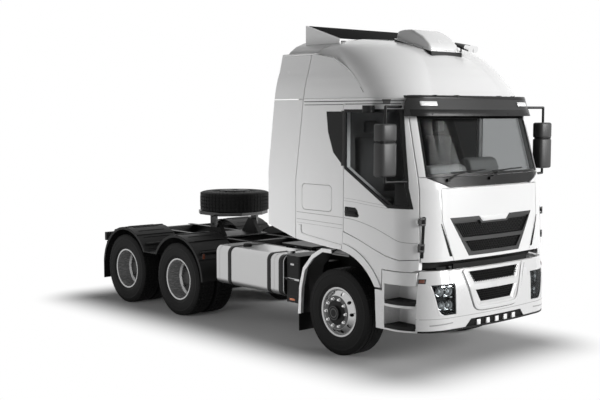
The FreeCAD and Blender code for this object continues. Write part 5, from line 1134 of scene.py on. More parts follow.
@dataclass
class CabHull:
    """Outer form of the cab below the roof seam, for placing pieces on it."""

    stations: tuple[Pair, ...] = ((0.900, 1.395), (1.700, 1.362), (2.055, 1.345), (2.180, 1.300),
                                  (2.870, 1.090), (3.050, 1.025))
    half: float = 1.245
    bow: float = 0.040
    corner_length: float = 0.430
    corner_width: float = 0.500

    def nose(self, z: float) -> float:
        """Foremost X at a height."""
        for (low, a), (high, b) in zip(self.stations, self.stations[1:]):
            if z <= high:
                return a + (b - a) * max(0.0, z - low) / (high - low)
        return self.stations[-1][1]

    def front(self, y: float, z: float, depth: float = 0.0) -> Vector:
        """Point of the front face, set in by a depth."""
        nose = self.nose(z)
        flat = self.half - self.corner_width
        if abs(y) <= flat:
            x = nose - self.bow * (y / flat) ** 2
        else:
            share = min(1.0, (abs(y) - flat) / self.corner_width)
            x = nose - self.bow - self.corner_length * (1 - math.sqrt(1 - share * share))
        return Vector((x - depth, y, z))

    def side(self, x: float, z: float, proud: float = 0.0) -> Vector:
        """Point of the left side face, moved out by a distance."""
        start = self.nose(z) - self.bow - self.corner_length
        if x <= start:
            return Vector((x, self.half + proud, z))
        share = min(0.999, (x - start) / self.corner_length)
        y = self.half - self.corner_width * (1 - math.sqrt(1 - share * share))
        across = math.sqrt(1 - share * share) / self.corner_width
        out = Vector((share / self.corner_length, across, 0)).normalized()
        return Vector((x, y, z)) + out * proud

    def strip(self, path: Sequence[Pair], width: float, proud: float, sunk: float = 0.002) -> Form:
        """Thin strip along a path of X and Z on the left side face, let in a little."""
        return Form().skin(self.side, ribbon(path, width, (-1, 1)), (proud, -sunk))

    def band(self, path: Sequence[Pair], width: float, proud: float, sunk: float = 0.002) -> Form:
        """Thin strip along a path of Y and Z on the front face, let in a little."""
        return Form().skin(self.front, ribbon(path, width, (-1, 0, 1)), (-proud, sunk))


def bent(points: Sequence[Pair], steps: int = 6) -> list[Pair]:
    """Smooth path through points.

    Args:
        points: Points to pass.
        steps: Number of pieces between two of them.

    Returns:
        Points of a Catmull-Rom curve.
    """
    places = [Vector(p) for p in points]
    result = []
    for i in range(len(places) - 1):
        a, b = places[max(i - 1, 0)], places[i]
        c, d = places[i + 1], places[min(i + 2, len(places) - 1)]
        for step in range(steps):
            t = step / steps
            place = 0.5 * (2 * b + (c - a) * t + (2 * a - 5 * b + 4 * c - d) * t * t
                           + (3 * b - a - 3 * c + d) * t * t * t)
            result.append(tuple(place))
    return [*result, tuple(places[-1])]


HULL = CabHull()


@dataclass
class Tyres:
    """Every tyre, with ribs, zigzag grooves and a moulded sidewall."""

    radius: float = TYRE_RADIUS
    width: float = 0.298
    bead: float = 0.2875
    groove: float = 0.012
    pitches: int = 54
    steps: int = 108
    twin_offset: float = 0.165
    rib_edges: tuple[tuple[float, ...], ...] = (
        (-0.128, -0.079, 0, 1, 0.0035), (-0.070, -0.030, 1, 1, 0.0006), (-0.021, 0.021, 1, 1, 0.0),
        (0.030, 0.070, 1, 1, 0.0006), (0.079, 0.128, 1, 0, 0.0035))
    zig: float = 0.0055

    def carcass(self) -> Form:
        """Turned body up to the floor of the grooves."""
        r, w = self.radius, self.width / 2
        floor = r - self.groove
        half = [(self.bead, 0.1130), (0.2990, 0.1136), (0.304, 0.1270), (0.322, 0.1365), (0.338, 0.1415),
                (0.341, 0.1440), (0.346, 0.1440), (0.349, 0.1436), (0.372, w - 0.0012), (0.402, w),
                (0.432, w - 0.0005), (0.452, w - 0.0025), (0.455, w - 0.0012), (0.461, w - 0.0015),
                (0.464, w - 0.004),
                (0.484, 0.1425), (0.497, 0.1375), (floor - 0.002, 0.1290), (floor, 0.1240)]
        section = half + [(a, -b) for a, b in reversed(half)]
        return Form().ring(section, self.steps)

    def rib(self, low: float, high: float, amp_low: float, amp_high: float, gap: float, crown: float) -> Form:
        """One pitch of a tread rib with zigzag edges.

        Args:
            low: Edge on one side.
            high: Edge on the other side.
            amp_low: Swing of the first edge.
            amp_high: Swing of the second edge.
            gap: Share of the pitch that is cut away.
            crown: Drop of the outer radius at the rib.

        Returns:
            The pitch, at the top of the wheel's circle.
        """
        span = 2 * math.pi / self.pitches
        rows = []
        for share in spread(0, 1, 4):
            angle = (share * (1 - gap) + gap / 2 - 0.5) * span
            swing = 1 - abs(2 * share - 1) * 2
            rows.append([(angle, low + amp_low * swing), (angle, high + amp_high * swing)])
        return Form().skin(on_wheel, rows, (self.radius - crown, self.radius - self.groove - 0.004))

    def tread(self, yard: Yard, gap: float) -> bpy.types.Mesh:
        """Whole tread with a gap between its blocks, repeated round the tyre by the ring tree."""
        pitch = Form()
        for low, high, first, second, crown in self.rib_edges:
            pitch.join(self.rib(low, high, first * self.zig, second * self.zig, gap, crown))
        span = 2 * math.pi / self.pitches
        for s in (-1, 1):
            notch = [(0.492, s * 0.1395), (0.5145, s * 0.1295), (0.5165, s * 0.120), (0.500, s * 0.120)]
            pitch.loft([[on_wheel(a, y, r) for r, y in notch] for a in (-0.30 * span, 0.30 * span)])
        return yard.ring("tread", pitch, Palette.TYRE, self.pitches)

    def build(self, yard: Yard) -> None:
        """Make the tyres and put them on their bodies."""
        body = self.carcass().mesh("carcass")
        ribs, lugs = self.tread(yard, 0.035), self.tread(yard, 0.13)
        rubber = {"slot": "tyre_rubber", "angle": 40}
        for side in Side:
            place = Matrix.Translation((0, side.sign * FRONT_TRACK, self.radius))
            mesh = yard.join("front", [(body, place), (ribs, place)])
            yard.put(f"tyre_front_{side.label}", mesh, Palette.TYRE, f"front_wheel_{side.label}",
                     replaces=[f"front_tyre_{side.label}"], **rubber)
            for axle, x in DRIVE_AXLES.items():
                pair = []
                for way in (-1, 1):
                    y = side.sign * TWIN_MIDDLE + way * self.twin_offset
                    place = Matrix.Translation((x, y, self.radius))
                    pair += [(body, place), (lugs, place)]
                yard.put(f"tyres_{axle}_drive_{side.label}", yard.join("twin", pair), Palette.TYRE,
                         f"{axle}_drive_wheels_{side.label}",
                         replaces=[f"{axle}_drive_tyres_{side.label}"], **rubber)
        low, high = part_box("spare_tyre")
        middle = (low + high) / 2 - Vector((AXLE_X, 0, 0))
        flat = Matrix.Translation(middle) @ Matrix.Rotation(math.pi / 2, 4, "X")
        yard.put("tyre_spare", yard.join("spare", [(body, flat), (lugs, flat)]), Palette.TYRE, "fifth_wheel",
                 replaces=["spare_tyre"], **rubber)


@dataclass
class WheelDress:
    """Nuts, valves, hub caps and rim beads of the wheels."""

    nut_circle: float = 0.1675
    nut_count: int = 10
    disc_face: float = 0.165

    def nut(self, y: float, size: float, length: float) -> Form:
        """Hexagon nut with its cap, at the ring's first place."""
        form = Form()
        for a, b, scale in ((0.0, 0.006, 1.25), (0.006, length * 0.7, 1.0), (length * 0.7, length, 0.62)):
            form.prism(polygon(size * scale, centre=(self.nut_circle, 0.0)), Axis.Y, y + a, y + b)
        return form

    @staticmethod
    def lip(low: float, out: float = 0.0) -> Form:
        """Bead round a rim's edge, from a place along the axle, with its crown moved out."""
        crown = ((0.3005, 0.1295), (0.2990, 0.1325), (0.2920, 0.1335), (0.2810, 0.1300))
        return Form().ring([(0.2785, low), (0.2985, low), *[(r, y + out) for r, y in crown]], 96)

    def build(self, yard: Yard) -> None:
        """Make the wheels' small parts."""
        bright = yard.ring("nuts_bright", self.nut(self.disc_face - 0.001, 0.0155, 0.036), Palette.CHROME,
                           self.nut_count)
        dark = yard.ring("nuts_dark", self.nut(0.0, 0.0165, 0.040), Palette.FRAME, self.nut_count)
        hub = Form().ring([(0.0, 0.2175), (0.040, 0.2175), (0.052, 0.2155), (0.060, 0.2185), (0.074, 0.2175),
                           (0.0835, 0.208), (0.0850, 0.168), (0.080, 0.166), (0.0, 0.166)], 48)
        hub.ring([(0.070, 0.164), (0.146, 0.164), (0.148, 0.1685), (0.128, 0.172), (0.086, 0.178),
                  (0.070, 0.178)], 48)
        bolt = Form().prism(polygon(0.006, centre=(0.066, 0.0), turn=1.0), Axis.Y, 0.216, 0.2215)
        bolts = yard.ring("hub_bolts", bolt, Palette.PLASTIC, 6)
        valve = Form().tube([(0.262, 0.09, 0.02), (0.262, 0.128, 0.02), (0.258, 0.14, 0.02)], 0.004, 8)
        place = Matrix.Translation((0, FRONT_TRACK, TYRE_RADIUS))
        body = "front_wheel_{}"
        yard.both("wheel_nuts_front", [(bright, place)], Palette.CHROME, body)
        yard.both("hub_cap_front", [(hub, place), (bolts, place)], Palette.PLASTIC, body)
        yard.both("rim_lip_front", [(self.lip(0.1262), place), (valve, place)], Palette.STEEL, body)
        flange = yard.ring("flange_bolts", Form().prism(polygon(0.009, centre=(0.100, 0.0), turn=1.0), Axis.Y,
                                                        0.136, 0.148), Palette.FRAME, 12)
        for axle, x in DRIVE_AXLES.items():
            twin = Matrix.Translation((x, TWIN_MIDDLE, TYRE_RADIUS))
            nuts = twin @ Matrix.Translation((0, 0.014, 0))
            body = axle + "_drive_wheels_{}"
            yard.both(f"wheel_nuts_{axle}_drive", [(dark, nuts), (flange, twin)], Palette.FRAME, body)
            yard.both(f"rim_lip_{axle}_drive", [(self.lip(0.290, 0.164), twin)], Palette.STEEL, body)


@dataclass
class CabSide:
    """Crease lines of painted shade, handles, borders and vents of the cab's sides."""

    # Width of the dark crease lines, which are painted shade
    seam: float = 0.006
    handle_rear: float = 0.151
    handle_front: float = 0.386
    handle_low: float = 1.687
    handle_high: float = 1.801

    def seams(self) -> tuple[Form, Form]:
        """Dark lines on the cab's wall and on the door, painted shade along their creases.

        Returns:
            Crease shade on the wall, and crease shade on the door.
        """
        wall = HULL.strip([(-0.704, 1.680), (0.119, 1.668)], self.seam, 0.0012)
        wall.join(HULL.strip([(-0.704, 1.596), (0.116, 1.580)], self.seam * 0.8, 0.0012))
        wall.join(HULL.strip([(-0.702, 1.552), (0.114, 1.534)], self.seam * 0.5, 0.0012))
        crease = bent([(0.136, 1.668), (0.35, 1.648), (0.62, 1.592), (0.86, 1.515), (1.02, 1.462),
                       (1.185, 1.452)])
        door = HULL.strip(crease, self.seam, 0.0012)
        raised = bent([(0.134, 1.900), (0.30, 1.892), (0.55, 1.872), (0.80, 1.853)])
        door.join(HULL.strip(raised, self.seam * 0.5, 0.0010))
        lower = bent([(0.134, 1.868), (0.32, 1.860), (0.60, 1.838), (0.86, 1.822)])
        door.join(HULL.strip(lower, self.seam * 0.5, 0.001))
        return wall, door

    def border(self) -> Form:
        """Rounded rail round the recessed panel behind the wheel arch."""
        path = bent([(-0.640, 1.525), (-0.636, 1.440), (-0.585, 1.398), (-0.30, 1.362), (0.105, 1.318)], 5)
        return HULL.strip(path, 0.052, 0.012)

    def handle(self) -> tuple[Form, Form]:
        """Recess and grip of the door's handle.

        Returns:
            The dark recess and its grip.
        """
        r, f, low, high = self.handle_rear, self.handle_front, self.handle_low, self.handle_high
        outline = [(r, low + 0.012), (r + 0.012, low), (f - 0.022, low - 0.002), (f, low + 0.016),
                   (f - 0.030, high - 0.030), (f - 0.062, high - 0.004), (r + 0.012, high), (r, high - 0.012)]
        y = HULL.half
        rim = Form().prism(outline, Axis.Y, y - 0.008, y + 0.0035)
        grip = [(r + 0.018, low + 0.030), (f - 0.030, low + 0.024), (f - 0.048, low + 0.060),
                (r + 0.018, low + 0.066)]
        bar = Form().prism(grip, Axis.Y, y + 0.002, y + 0.020)
        lock = Form().tube([(r + 0.045, y, high - 0.026), (r + 0.045, y + 0.010, high - 0.026)], 0.011, 16)
        return rim, bar.join(lock)

    def build(self, yard: Yard) -> None:
        """Make both sides."""
        (wall, door), (rim, grip) = self.seams(), self.handle()
        # Painted shade along the creases of the wall and of the door
        yard.both("wall_seams", wall, Palette.CREASE, "cab")
        yard.both("door_seams", door, Palette.CREASE, "door_{}")
        yard.both("panel_border", self.border(), Palette.PAINT, "cab", bevel=0.009, angle=25)
        yard.both("handle_recess", rim, Palette.GLOSS, "door_{}", bevel=0.003)
        yard.both("handle_grip", grip, Palette.PLASTIC, "door_{}", bevel=0.005)
        vent = grid((1.2105, 1.221, 1.232), (1.285, 1.40, 1.52, 1.64, 1.745))
        strip = Form().skin(HULL.side, vent, (0.0015, -0.03))
        yard.both("corner_vent", strip, Palette.PLASTIC, "cab", bevel=0.003)


@dataclass
class Honeycomb:
    """Mesh of hexagon cells."""

    cell: float = 0.030
    strand: float = 0.0035
    deep: float = 0.010

    def hexagon(self) -> Form:
        """One ring of the honeycomb, in the plane across X."""
        outer = self.cell * 0.577
        inner = outer - self.strand
        loops = [[(x, y, z) for z, y in polygon(r)] for x, r in
                 ((0.0, outer), (0.0, inner), (-self.deep, inner), (-self.deep, outer))]
        return Form().loft(loops, True)

    def build(self, yard: Yard, name: str, body: str, low: Pair, high: Pair, nose: float, lean: float,
              bow: float) -> None:
        """Honeycomb between two heights.

        Args:
            yard: Maker of pieces.
            name: Name of the piece.
            body: CAD body that it moves with.
            low: Half width and height of the lower edge.
            high: Half width and height of the upper edge.
            nose: X of the mesh at the middle of the lower edge.
            lean: Rearward lean per unit of height.
            bow: Rearward bow per square of the width.
        """
        rows = int((high[1] - low[1]) / (self.cell * 0.866))
        columns = int(2 * max(low[0], high[0]) / self.cell) + 1
        mesh = yard.repeats.run(yard.repeats.comb_tree, self.hexagon(), name, Palette.MESH,
                                Columns=columns, Rows=rows, Cell=self.cell, Top=high[0], Low=low[0],
                                Bow=bow, Lean=lean)
        mesh.transform(Matrix.Translation((nose, 0, low[1] + self.cell * 0.5)))
        yard.put(name, mesh, Palette.MESH, body)


@dataclass
class Nose:
    """Honeycomb, slots, badge place, wipers and glass surround of the cab's front."""

    def wiper(self, pivot_y: float, tip_y: float) -> Form:
        """Parked wiper: arm, blade and spindle cap.

        Args:
            pivot_y: Place of the spindle across the truck.
            tip_y: Place of the blade's far end.

        Returns:
            The wiper.
        """
        def on_glass(y: float, z: float, lift: float) -> Vector:
            """Point over the glass."""
            return HULL.front(y, z) + Vector((math.cos(0.29), 0, math.sin(0.29))) * lift

        form = Form()
        base = HULL.front(pivot_y, 2.135) + Vector((0.004, 0, 0.002))
        form.tube([base - Vector((0.03, 0, 0)), base + Vector((0.022, 0, 0.006))], 0.018, 16)
        middle = pivot_y * 0.35 + tip_y * 0.65
        arm = [base + Vector((0.016, 0, 0.004)), on_glass(pivot_y + (middle - pivot_y) * 0.4, 2.200, 0.036),
               on_glass(middle, 2.232, 0.024)]
        form.tube(arm, 0.009, 8, 0.006)
        blade = [on_glass(part_way(pivot_y, tip_y, s), 2.214 + 0.020 * s, 0.012)
                 for s in (0.12, 0.35, 0.6, 0.8, 1.0)]
        return form.tube(blade, 0.0075, 8)

    def surround(self) -> Form:
        """Dark gasket round the windscreen."""
        form = Form()
        low, high = (1.010, 2.180), (0.968, 2.870)
        edges = [((-low[0], low[1]), low, (0.0, 0.028)), ((-high[0], high[1]), high, (0.0, -0.050)),
                 ((-low[0], low[1]), (-high[0], high[1]), (0.034, 0.0)), (low, high, (-0.034, 0.0))]
        for start, end, inward in edges:
            path = zip(spread(start[0], end[0], 24), spread(start[1], end[1], 24))
            form.skin(HULL.front, [[(y, z), (y + inward[0], z + inward[1])] for y, z in path], (0.0105, 0.0118))
        return form

    def build(self, yard: Yard, comb: Honeycomb) -> None:
        """Make the front's pieces."""
        bow = 0.040 / 0.745 ** 2
        nose = HULL.nose(1.29) - 0.014
        comb.build(yard, "grille_comb_low", "front_flap", (0.425, 1.315), (0.560, 1.455), nose, 0.041, bow)
        comb.build(yard, "grille_comb_high", "front_flap", (0.600, 1.490), (0.690, 1.665), nose - 0.006,
                   0.041, bow)
        rows = []
        for share in spread(0, 1, 8):
            y, z = part_way(0.722, 0.866, share), part_way(1.290, 1.660, share)
            wide = 0.040 * math.sin(math.pi * min(1.0, 0.22 + 0.78 * (1 - share)) / 2)
            rows.append([(y + wide * k, z) for k in (-0.15, 0.5, 0.85)])
        slot = Form().skin(HULL.front, rows, (-0.002, 0.012))
        yard.both("nose_slot", slot, Palette.GLOSS, "cab", bevel=0.002)
        # Near-black sheet at the back of the gap between the flap and the bumper: painted shade of that recess
        gap = [[(y, z) for z in (1.150, 1.262)] for y in spread(-1.0, 1.0, 12)]
        yard.put("bumper_top_seal", Form().skin(HULL.front, gap, (0.170, 0.180)), Palette.MESH)
        wipers = self.wiper(-0.05, 0.62).join(self.wiper(-0.74, -0.10))
        yard.put("wipers", wipers, Palette.PLASTIC, "cab")
        yard.put("windscreen_surround", self.surround(), Palette.GLOSS, "cab")
        tab = [[(share * 0.262, 1.7165), (share * 0.205, 1.659)] for share in spread(-1, 1, 8)]
        plate = Form().skin(HULL.front, tab, (-0.004, 0.004))
        yard.put("badge_place", plate, Palette.PAINT, "front_flap", bevel=0.003)


@dataclass
class Visor:
    """Clips, screws and position lamps of the sun visor."""

    proud: float = 0.075
    top: float = 3.085
    bottom: float = 2.850

    def face(self, y: float, z: float, out: float = 0.0) -> Vector:
        """Point of the visor's outer face."""
        share = (z - self.bottom) / (self.top - self.bottom)
        nose = (1.090 + 0.025) * (1 - share) + 1.025 * share + self.proud
        flat = 0.745
        if abs(y) <= flat:
            x = nose - 0.040 * (y / flat) ** 2
        else:
            part = min(1.0, (abs(y) - flat) / 0.5)
            x = nose - 0.040 - 0.430 * (1 - math.sqrt(1 - part * part))
        return Vector((x + out, y, z))

    def build(self, yard: Yard) -> None:
        """Make the visor's pieces."""
        clips, screws, lamps = Form(), Form(), Form()
        for y, half in ((-0.365, 0.022), (0.41, 0.022), (-0.71, 0.012), (0.71, 0.012)):
            p = self.face(y, 3.074)
            clips.box(p + Vector((-0.050, -half, -0.012)), p + Vector((0.007, half, 0.016)))
        for y in (-0.84, -0.33, 0.46, 0.90):
            p = self.face(y, self.bottom + 0.022)
            screws.tube([p - Vector((0.004, 0, 0)), p + Vector((0.006, 0, 0))], 0.012, 16)
        yard.put("visor_clips", clips, Palette.PLASTIC, "cab", bevel=0.004)
        yard.put("visor_screws", screws, Palette.MESH, "cab", bevel=0.002)
        for sign in (-1, 1):
            lamps.join(self.strip((sign * 0.730, sign * 0.965), (2.966, 3.018), 0.012))
        yard.put("visor_lamps", lamps, Palette.CLEAR, "cab", bevel=0.012)
        bands = self.strip((-1.08, 1.08), (2.853, 2.926), 0.005, 32)
        bands.join(self.strip((-1.10, 1.10), (3.050, 3.082), 0.004, 32))
        yard.put("visor_bands", bands, Palette.GLOSS, "cab", bevel=0.002)

    def strip(self, across: Pair, up: Pair, out: float, steps: int = 6) -> Form:
        """Thin plate on the visor's face.

        Args:
            across: Its two ends across the truck.
            up: Its lower and upper edge.
            out: Its height over the face.
            steps: Number of steps across it.

        Returns:
            The plate.
        """
        rows = [[(y, part_way(*up, k)) for k in (0.0, 0.5, 1.0)] for y in spread(*across, steps)]
        return Form().skin(self.face, rows, (out, -0.004))


BUMPER_HULL = CabHull(stations=((0.450, 1.412), (0.560, 1.425), (0.900, 1.412), (1.139, 1.375)), half=1.248)


class Surface:
    """Outer face of CAD nodes, for setting small pieces down on it."""

    def __init__(self, *nodes: str) -> None:
        """Gather the nodes' faces into one search tree."""
        points: list[Vector] = []
        faces: list[tuple[int, ...]] = []
        for name in nodes:
            mesh = frame["nodes"][name].data
            start = len(points)
            points += [v.co - Vector((AXLE_X, 0, 0)) for v in mesh.vertices]
            faces += [tuple(start + i for i in polygon.vertices) for polygon in mesh.polygons]
        self.tree = BVHTree.FromPolygons(points, faces)

    def below(self, x: float, y: float) -> Vector:
        """First point seen from above, under the cab's floor."""
        hit = self.tree.ray_cast(Vector((x, y, 1.6)), Vector((0, 0, -1)))
        return hit[0] if hit[0] is not None else Vector((x, y, 0))

    def beside(self, x: float, z: float) -> Vector:
        """First point seen from the left."""
        hit = self.tree.ray_cast(Vector((x, 3.0, z)), Vector((0, -1, 0)))
        return hit[0] if hit[0] is not None else Vector((x, 0, z))


@dataclass
class Bumper:
    """Contour, mesh, headlamps, markers and lip details of the bumper."""

    upper_low: Pair = (0.400, 0.950)
    upper_high: Pair = (0.470, 1.095)
    lower_low: Pair = (0.320, 0.715)
    lower_high: Pair = (0.400, 0.880)
    lamp_inner: float = 0.690
    lamp_low: float = 0.640
    lamp_high: float = 0.985
    lamp_outer_low: float = 0.950
    lamp_outer_high: float = 1.040

    def lamp_outer(self, z: float) -> float:
        """Outer edge of a headlamp's opening at a height."""
        lean = (z - self.lamp_low) / (self.lamp_high - self.lamp_low)
        return part_way(self.lamp_outer_low, self.lamp_outer_high, lean)

    def lamp_rows(self, margin: float) -> list[list[Pair]]:
        """Rows of places across a headlamp's opening, at a margin from its edge, from the bottom up."""
        heights = spread(self.lamp_low + margin, self.lamp_high - margin, 10)
        inner = self.lamp_inner + margin
        return [[(y, z) for y in spread(inner, self.lamp_outer(z) - margin, 10)] for z in heights]

    def lamp_edge(self, depth: float, margin: float) -> list[Vector]:
        """Places round a headlamp's opening, at a depth and a margin from its edge."""
        rows = self.lamp_rows(margin)
        loop = rows[0] + [row[-1] for row in rows[1:]] + rows[-1][:-1][::-1] + [row[0] for row in rows[-2:0:-1]]
        return [BUMPER_HULL.front(y, z, depth) for y, z in loop]

    def turned_lamp(self, section: Sequence[Pair], y: float, z: float, depth: float) -> Form:
        """Round lamp part that faces forward.

        Args:
            section: Radius and place along its axis.
            y: Place across the truck.
            z: Height.
            depth: Depth under the bumper's face.

        Returns:
            The part.
        """
        place = BUMPER_HULL.front(y, z, depth)
        matrix = Matrix.Translation(place) @ Matrix.Rotation(-math.pi / 2 + 0.35, 4, "Z")
        return Form().ring(section, 40).turned(matrix)

    def headlamps(self, yard: Yard) -> None:
        """Make the headlamps."""
        face = BUMPER_HULL.front
        housing = Form().skin(face, self.lamp_rows(0.001), (0.085, 0.108))
        wall = ((0.014, 0.001), (0.014, 0.014), (0.09, 0.014), (0.09, 0.001))
        housing.loft([self.lamp_edge(*at) for at in wall], True)
        yard.both("headlamp_housing", housing, Palette.GLOSS, replaces=["lamps"], slot="lamp_glass")
        bowl = [(0.0, -0.028), (0.030, -0.024), (0.048, -0.008), (0.054, 0.004), (0.060, 0.006), (0.062, 0.002),
                (0.062, -0.030), (0.0, -0.036)]
        ball = [(0.0, -0.020), (0.033, -0.020), (0.035, -0.004), (0.028, 0.008), (0.016, 0.014), (0.0, 0.016)]
        bowls, balls = Form(), Form()
        for y, z, size in ((0.760, 0.895, 0.92), (0.885, 0.900, 0.86), (0.755, 0.738, 0.86),
                           (0.862, 0.742, 0.80)):
            bowls.join(self.turned_lamp([(r * size, a * size) for r, a in bowl], y, z, 0.058))
            balls.join(self.turned_lamp([(r * size * 0.62, a * size * 0.62) for r, a in ball], y, z, 0.056))
        yard.both("headlamp_bowls", bowls, Palette.BOWL, slot="horn_chrome")
        yard.both("headlamp_lenses", balls, Palette.CLEAR, slot="lamp_glass")
        bits = Form()
        for y, z, wide, tall in ((0.722, 0.948, 0.040, 0.012), (0.822, 0.950, 0.050, 0.010),
                                 (0.822, 0.842, 0.030, 0.020), (0.720, 0.826, 0.034, 0.012),
                                 (0.808, 0.696, 0.040, 0.014), (0.722, 0.684, 0.030, 0.010)):
            bits.skin(face, grid((y, y + wide), (z, z + tall)), (0.030, 0.046))
        yard.both("headlamp_trim", bits, Palette.CHROME, slot="horn_chrome")
        rows = []
        for z in spread(self.lamp_low, self.lamp_high, 18):
            curl = max(0.0, 1 - (z - self.lamp_low) / 0.10)
            wide = 0.031 + 0.060 * (1 - math.sqrt(max(0.0, 1 - curl * curl)))
            rows.append([(self.lamp_outer(z) + 0.001 - wide * k, z) for k in (0.0, 0.5, 1.0)])
        yard.both("headlamp_frame", Form().skin(face, rows, (0.0015, 0.016)), Palette.BUMPER, bevel=0.003,
                  slot="white_paint")
        cover = Form().skin(face, self.lamp_rows(0.002), (0.0105, 0.0135))
        yard.both("headlamp_cover", cover, Palette.COVER, slot="lamp_glass")

    @staticmethod
    def lining(low: Pair, high: Pair) -> Form:
        """Pale walls inside one of the bumper's openings.

        Args:
            low: Half width and height of the opening's lower edge.
            high: Half width and height of its upper edge.

        Returns:
            A closed frame, deeper towards the mesh.
        """
        loops = []
        for inset, rise, depth in ((0.0, 0.0, 0.002), (0.050, 0.022, 0.0195), (0.050, 0.022, 0.024),
                                   (0.0, 0.0, 0.024)):
            a, b = low[0] - inset, high[0] - inset
            lower = [BUMPER_HULL.front(y, low[1] + rise, depth) for y in spread(-a, a, 16)]
            loops.append(lower + [BUMPER_HULL.front(y, high[1] - 0.2 * rise, depth) for y in spread(b, -b, 16)])
        return Form().loft(loops, True)

    def build(self, yard: Yard, comb: Honeycomb) -> None:
        """Make the bumper's pieces."""
        self.headlamps(yard)
        path = [(-0.545, 1.120), (-0.500, 1.020), (-0.455, 0.900), (-0.405, 0.760), (-0.370, 0.690),
                (-0.30, 0.668), (-0.15, 0.664), (0.0, 0.663)]
        whole = path + [(-y, z) for y, z in reversed(path[:-1])]
        contour = BUMPER_HULL.band(bent(whole, 4), 0.050, 0.013, 0.006)
        yard.put("bumper_contour", contour, Palette.BUMPER, bevel=0.011, angle=40, segments=3)
        outside = [(y * 1.07, z - 0.018) if abs(y) > 0.31 else (y, z - 0.030) for y, z in whole]
        line = BUMPER_HULL.band(bent(outside, 4), 0.005, 0.001)
        yard.put("bumper_contour_line", line, Palette.SEAM)
        for word, low, high in (("high", self.upper_low, self.upper_high),
                                ("low", self.lower_low, self.lower_high)):
            yard.put(f"bumper_lining_{word}", self.lining(low, high), Palette.BUMPER, bevel=0.002)
        # Dark lines of painted shade along the bumper's creases
        lines = BUMPER_HULL.band([(y, 0.606) for y in spread(-1.16, 1.16, 60)], 0.006, 0.001)
        lines.join(BUMPER_HULL.band([(y, 1.1335) for y in spread(-0.775, 0.775, 20)], 0.008, 0.001))
        yard.put("bumper_crease", lines, Palette.CREASE)
        foot = BUMPER_HULL.band([(y, 0.462) for y in spread(-1.14, 1.14, 60)], 0.022, 0.003)
        yard.put("bumper_foot", foot, Palette.PLASTIC)
        # Dark line of painted shade along the dent near each end
        dent = BUMPER_HULL.band(list(zip(spread(0.74, 1.04, 10), spread(0.548, 0.534, 10))), 0.014, 0.001)
        yard.both("bumper_dent", dent, Palette.CREASE)
        bow = 0.040 / 0.748 ** 2
        comb.build(yard, "bumper_comb_high", "chassis", (0.405, 0.955), (0.465, 1.092), 1.390, 0.10, bow)
        comb.build(yard, "bumper_comb_low", "chassis", (0.325, 0.720), (0.398, 0.878), 1.395, 0.02, bow)
        bits = Form()
        for k in (-2, -1, 0, 1, 2):
            p = BUMPER_HULL.front(0.16 * k, 0.505)
            bits.box(p + Vector((-0.018, -0.030, -0.030)), p + Vector((0.003, 0.030, 0.030)))
        yard.put("lip_reflectors", bits, Palette.CLEAR, bevel=0.003)
        side = BUMPER_HULL.side
        mark = Form().skin(side, grid((1.208, 1.228, 1.248), (1.012, 1.030, 1.048)), (0.008, -0.004))
        yard.both("bumper_marker", mark, Palette.MARKER, bevel=0.004)
        base = Form().skin(side, grid((1.203, 1.230, 1.258), (1.004, 1.030, 1.056)), (0.004, -0.004))
        yard.both("marker_base", base, Palette.PLASTIC, bevel=0.002)


@dataclass
class Steps:
    """Ribbed treads in the entry steps."""

    rear: float = 0.806
    front: float = 1.184
    inner: float = 0.998
    levels: tuple[float, ...] = (0.500, 0.780)
    ribs: int = 9

    def tread(self, z: float) -> Form:
        """Base plate with lengthwise ribs, cut to the step's curved edge."""
        stations = spread(self.rear, self.front, 14)
        edges = [(x, HULL.side(x, 0.9).y) for x in stations]
        base = [[(x, self.inner), (x, y - 0.004)] for x, y in edges]
        form = Form().skin(on_level, base, (z + 0.004, z - 0.002))
        for share in spread(0, 1, self.ribs - 1):
            rows = []
            for x, edge in edges:
                y = self.inner + 0.012 + (edge - 0.010 - self.inner - 0.018) * share
                rows.append([(x, y - 0.005), (x, y + 0.005)])
            form.skin(on_level, rows, (z + 0.011, z + 0.003))
        lip = [[(x, HULL.side(x, 0.9, out).y) for out in (-0.006, 0.003)] for x in stations]
        return form.skin(on_level, lip, (z + 0.014, z - 0.030))

    def build(self, yard: Yard) -> None:
        """Make the treads of both sides."""
        for level, word in zip(self.levels, ("low", "high")):
            yard.both(f"tread_{word}", self.tread(level), Palette.PLASTIC, bevel=0.0015)


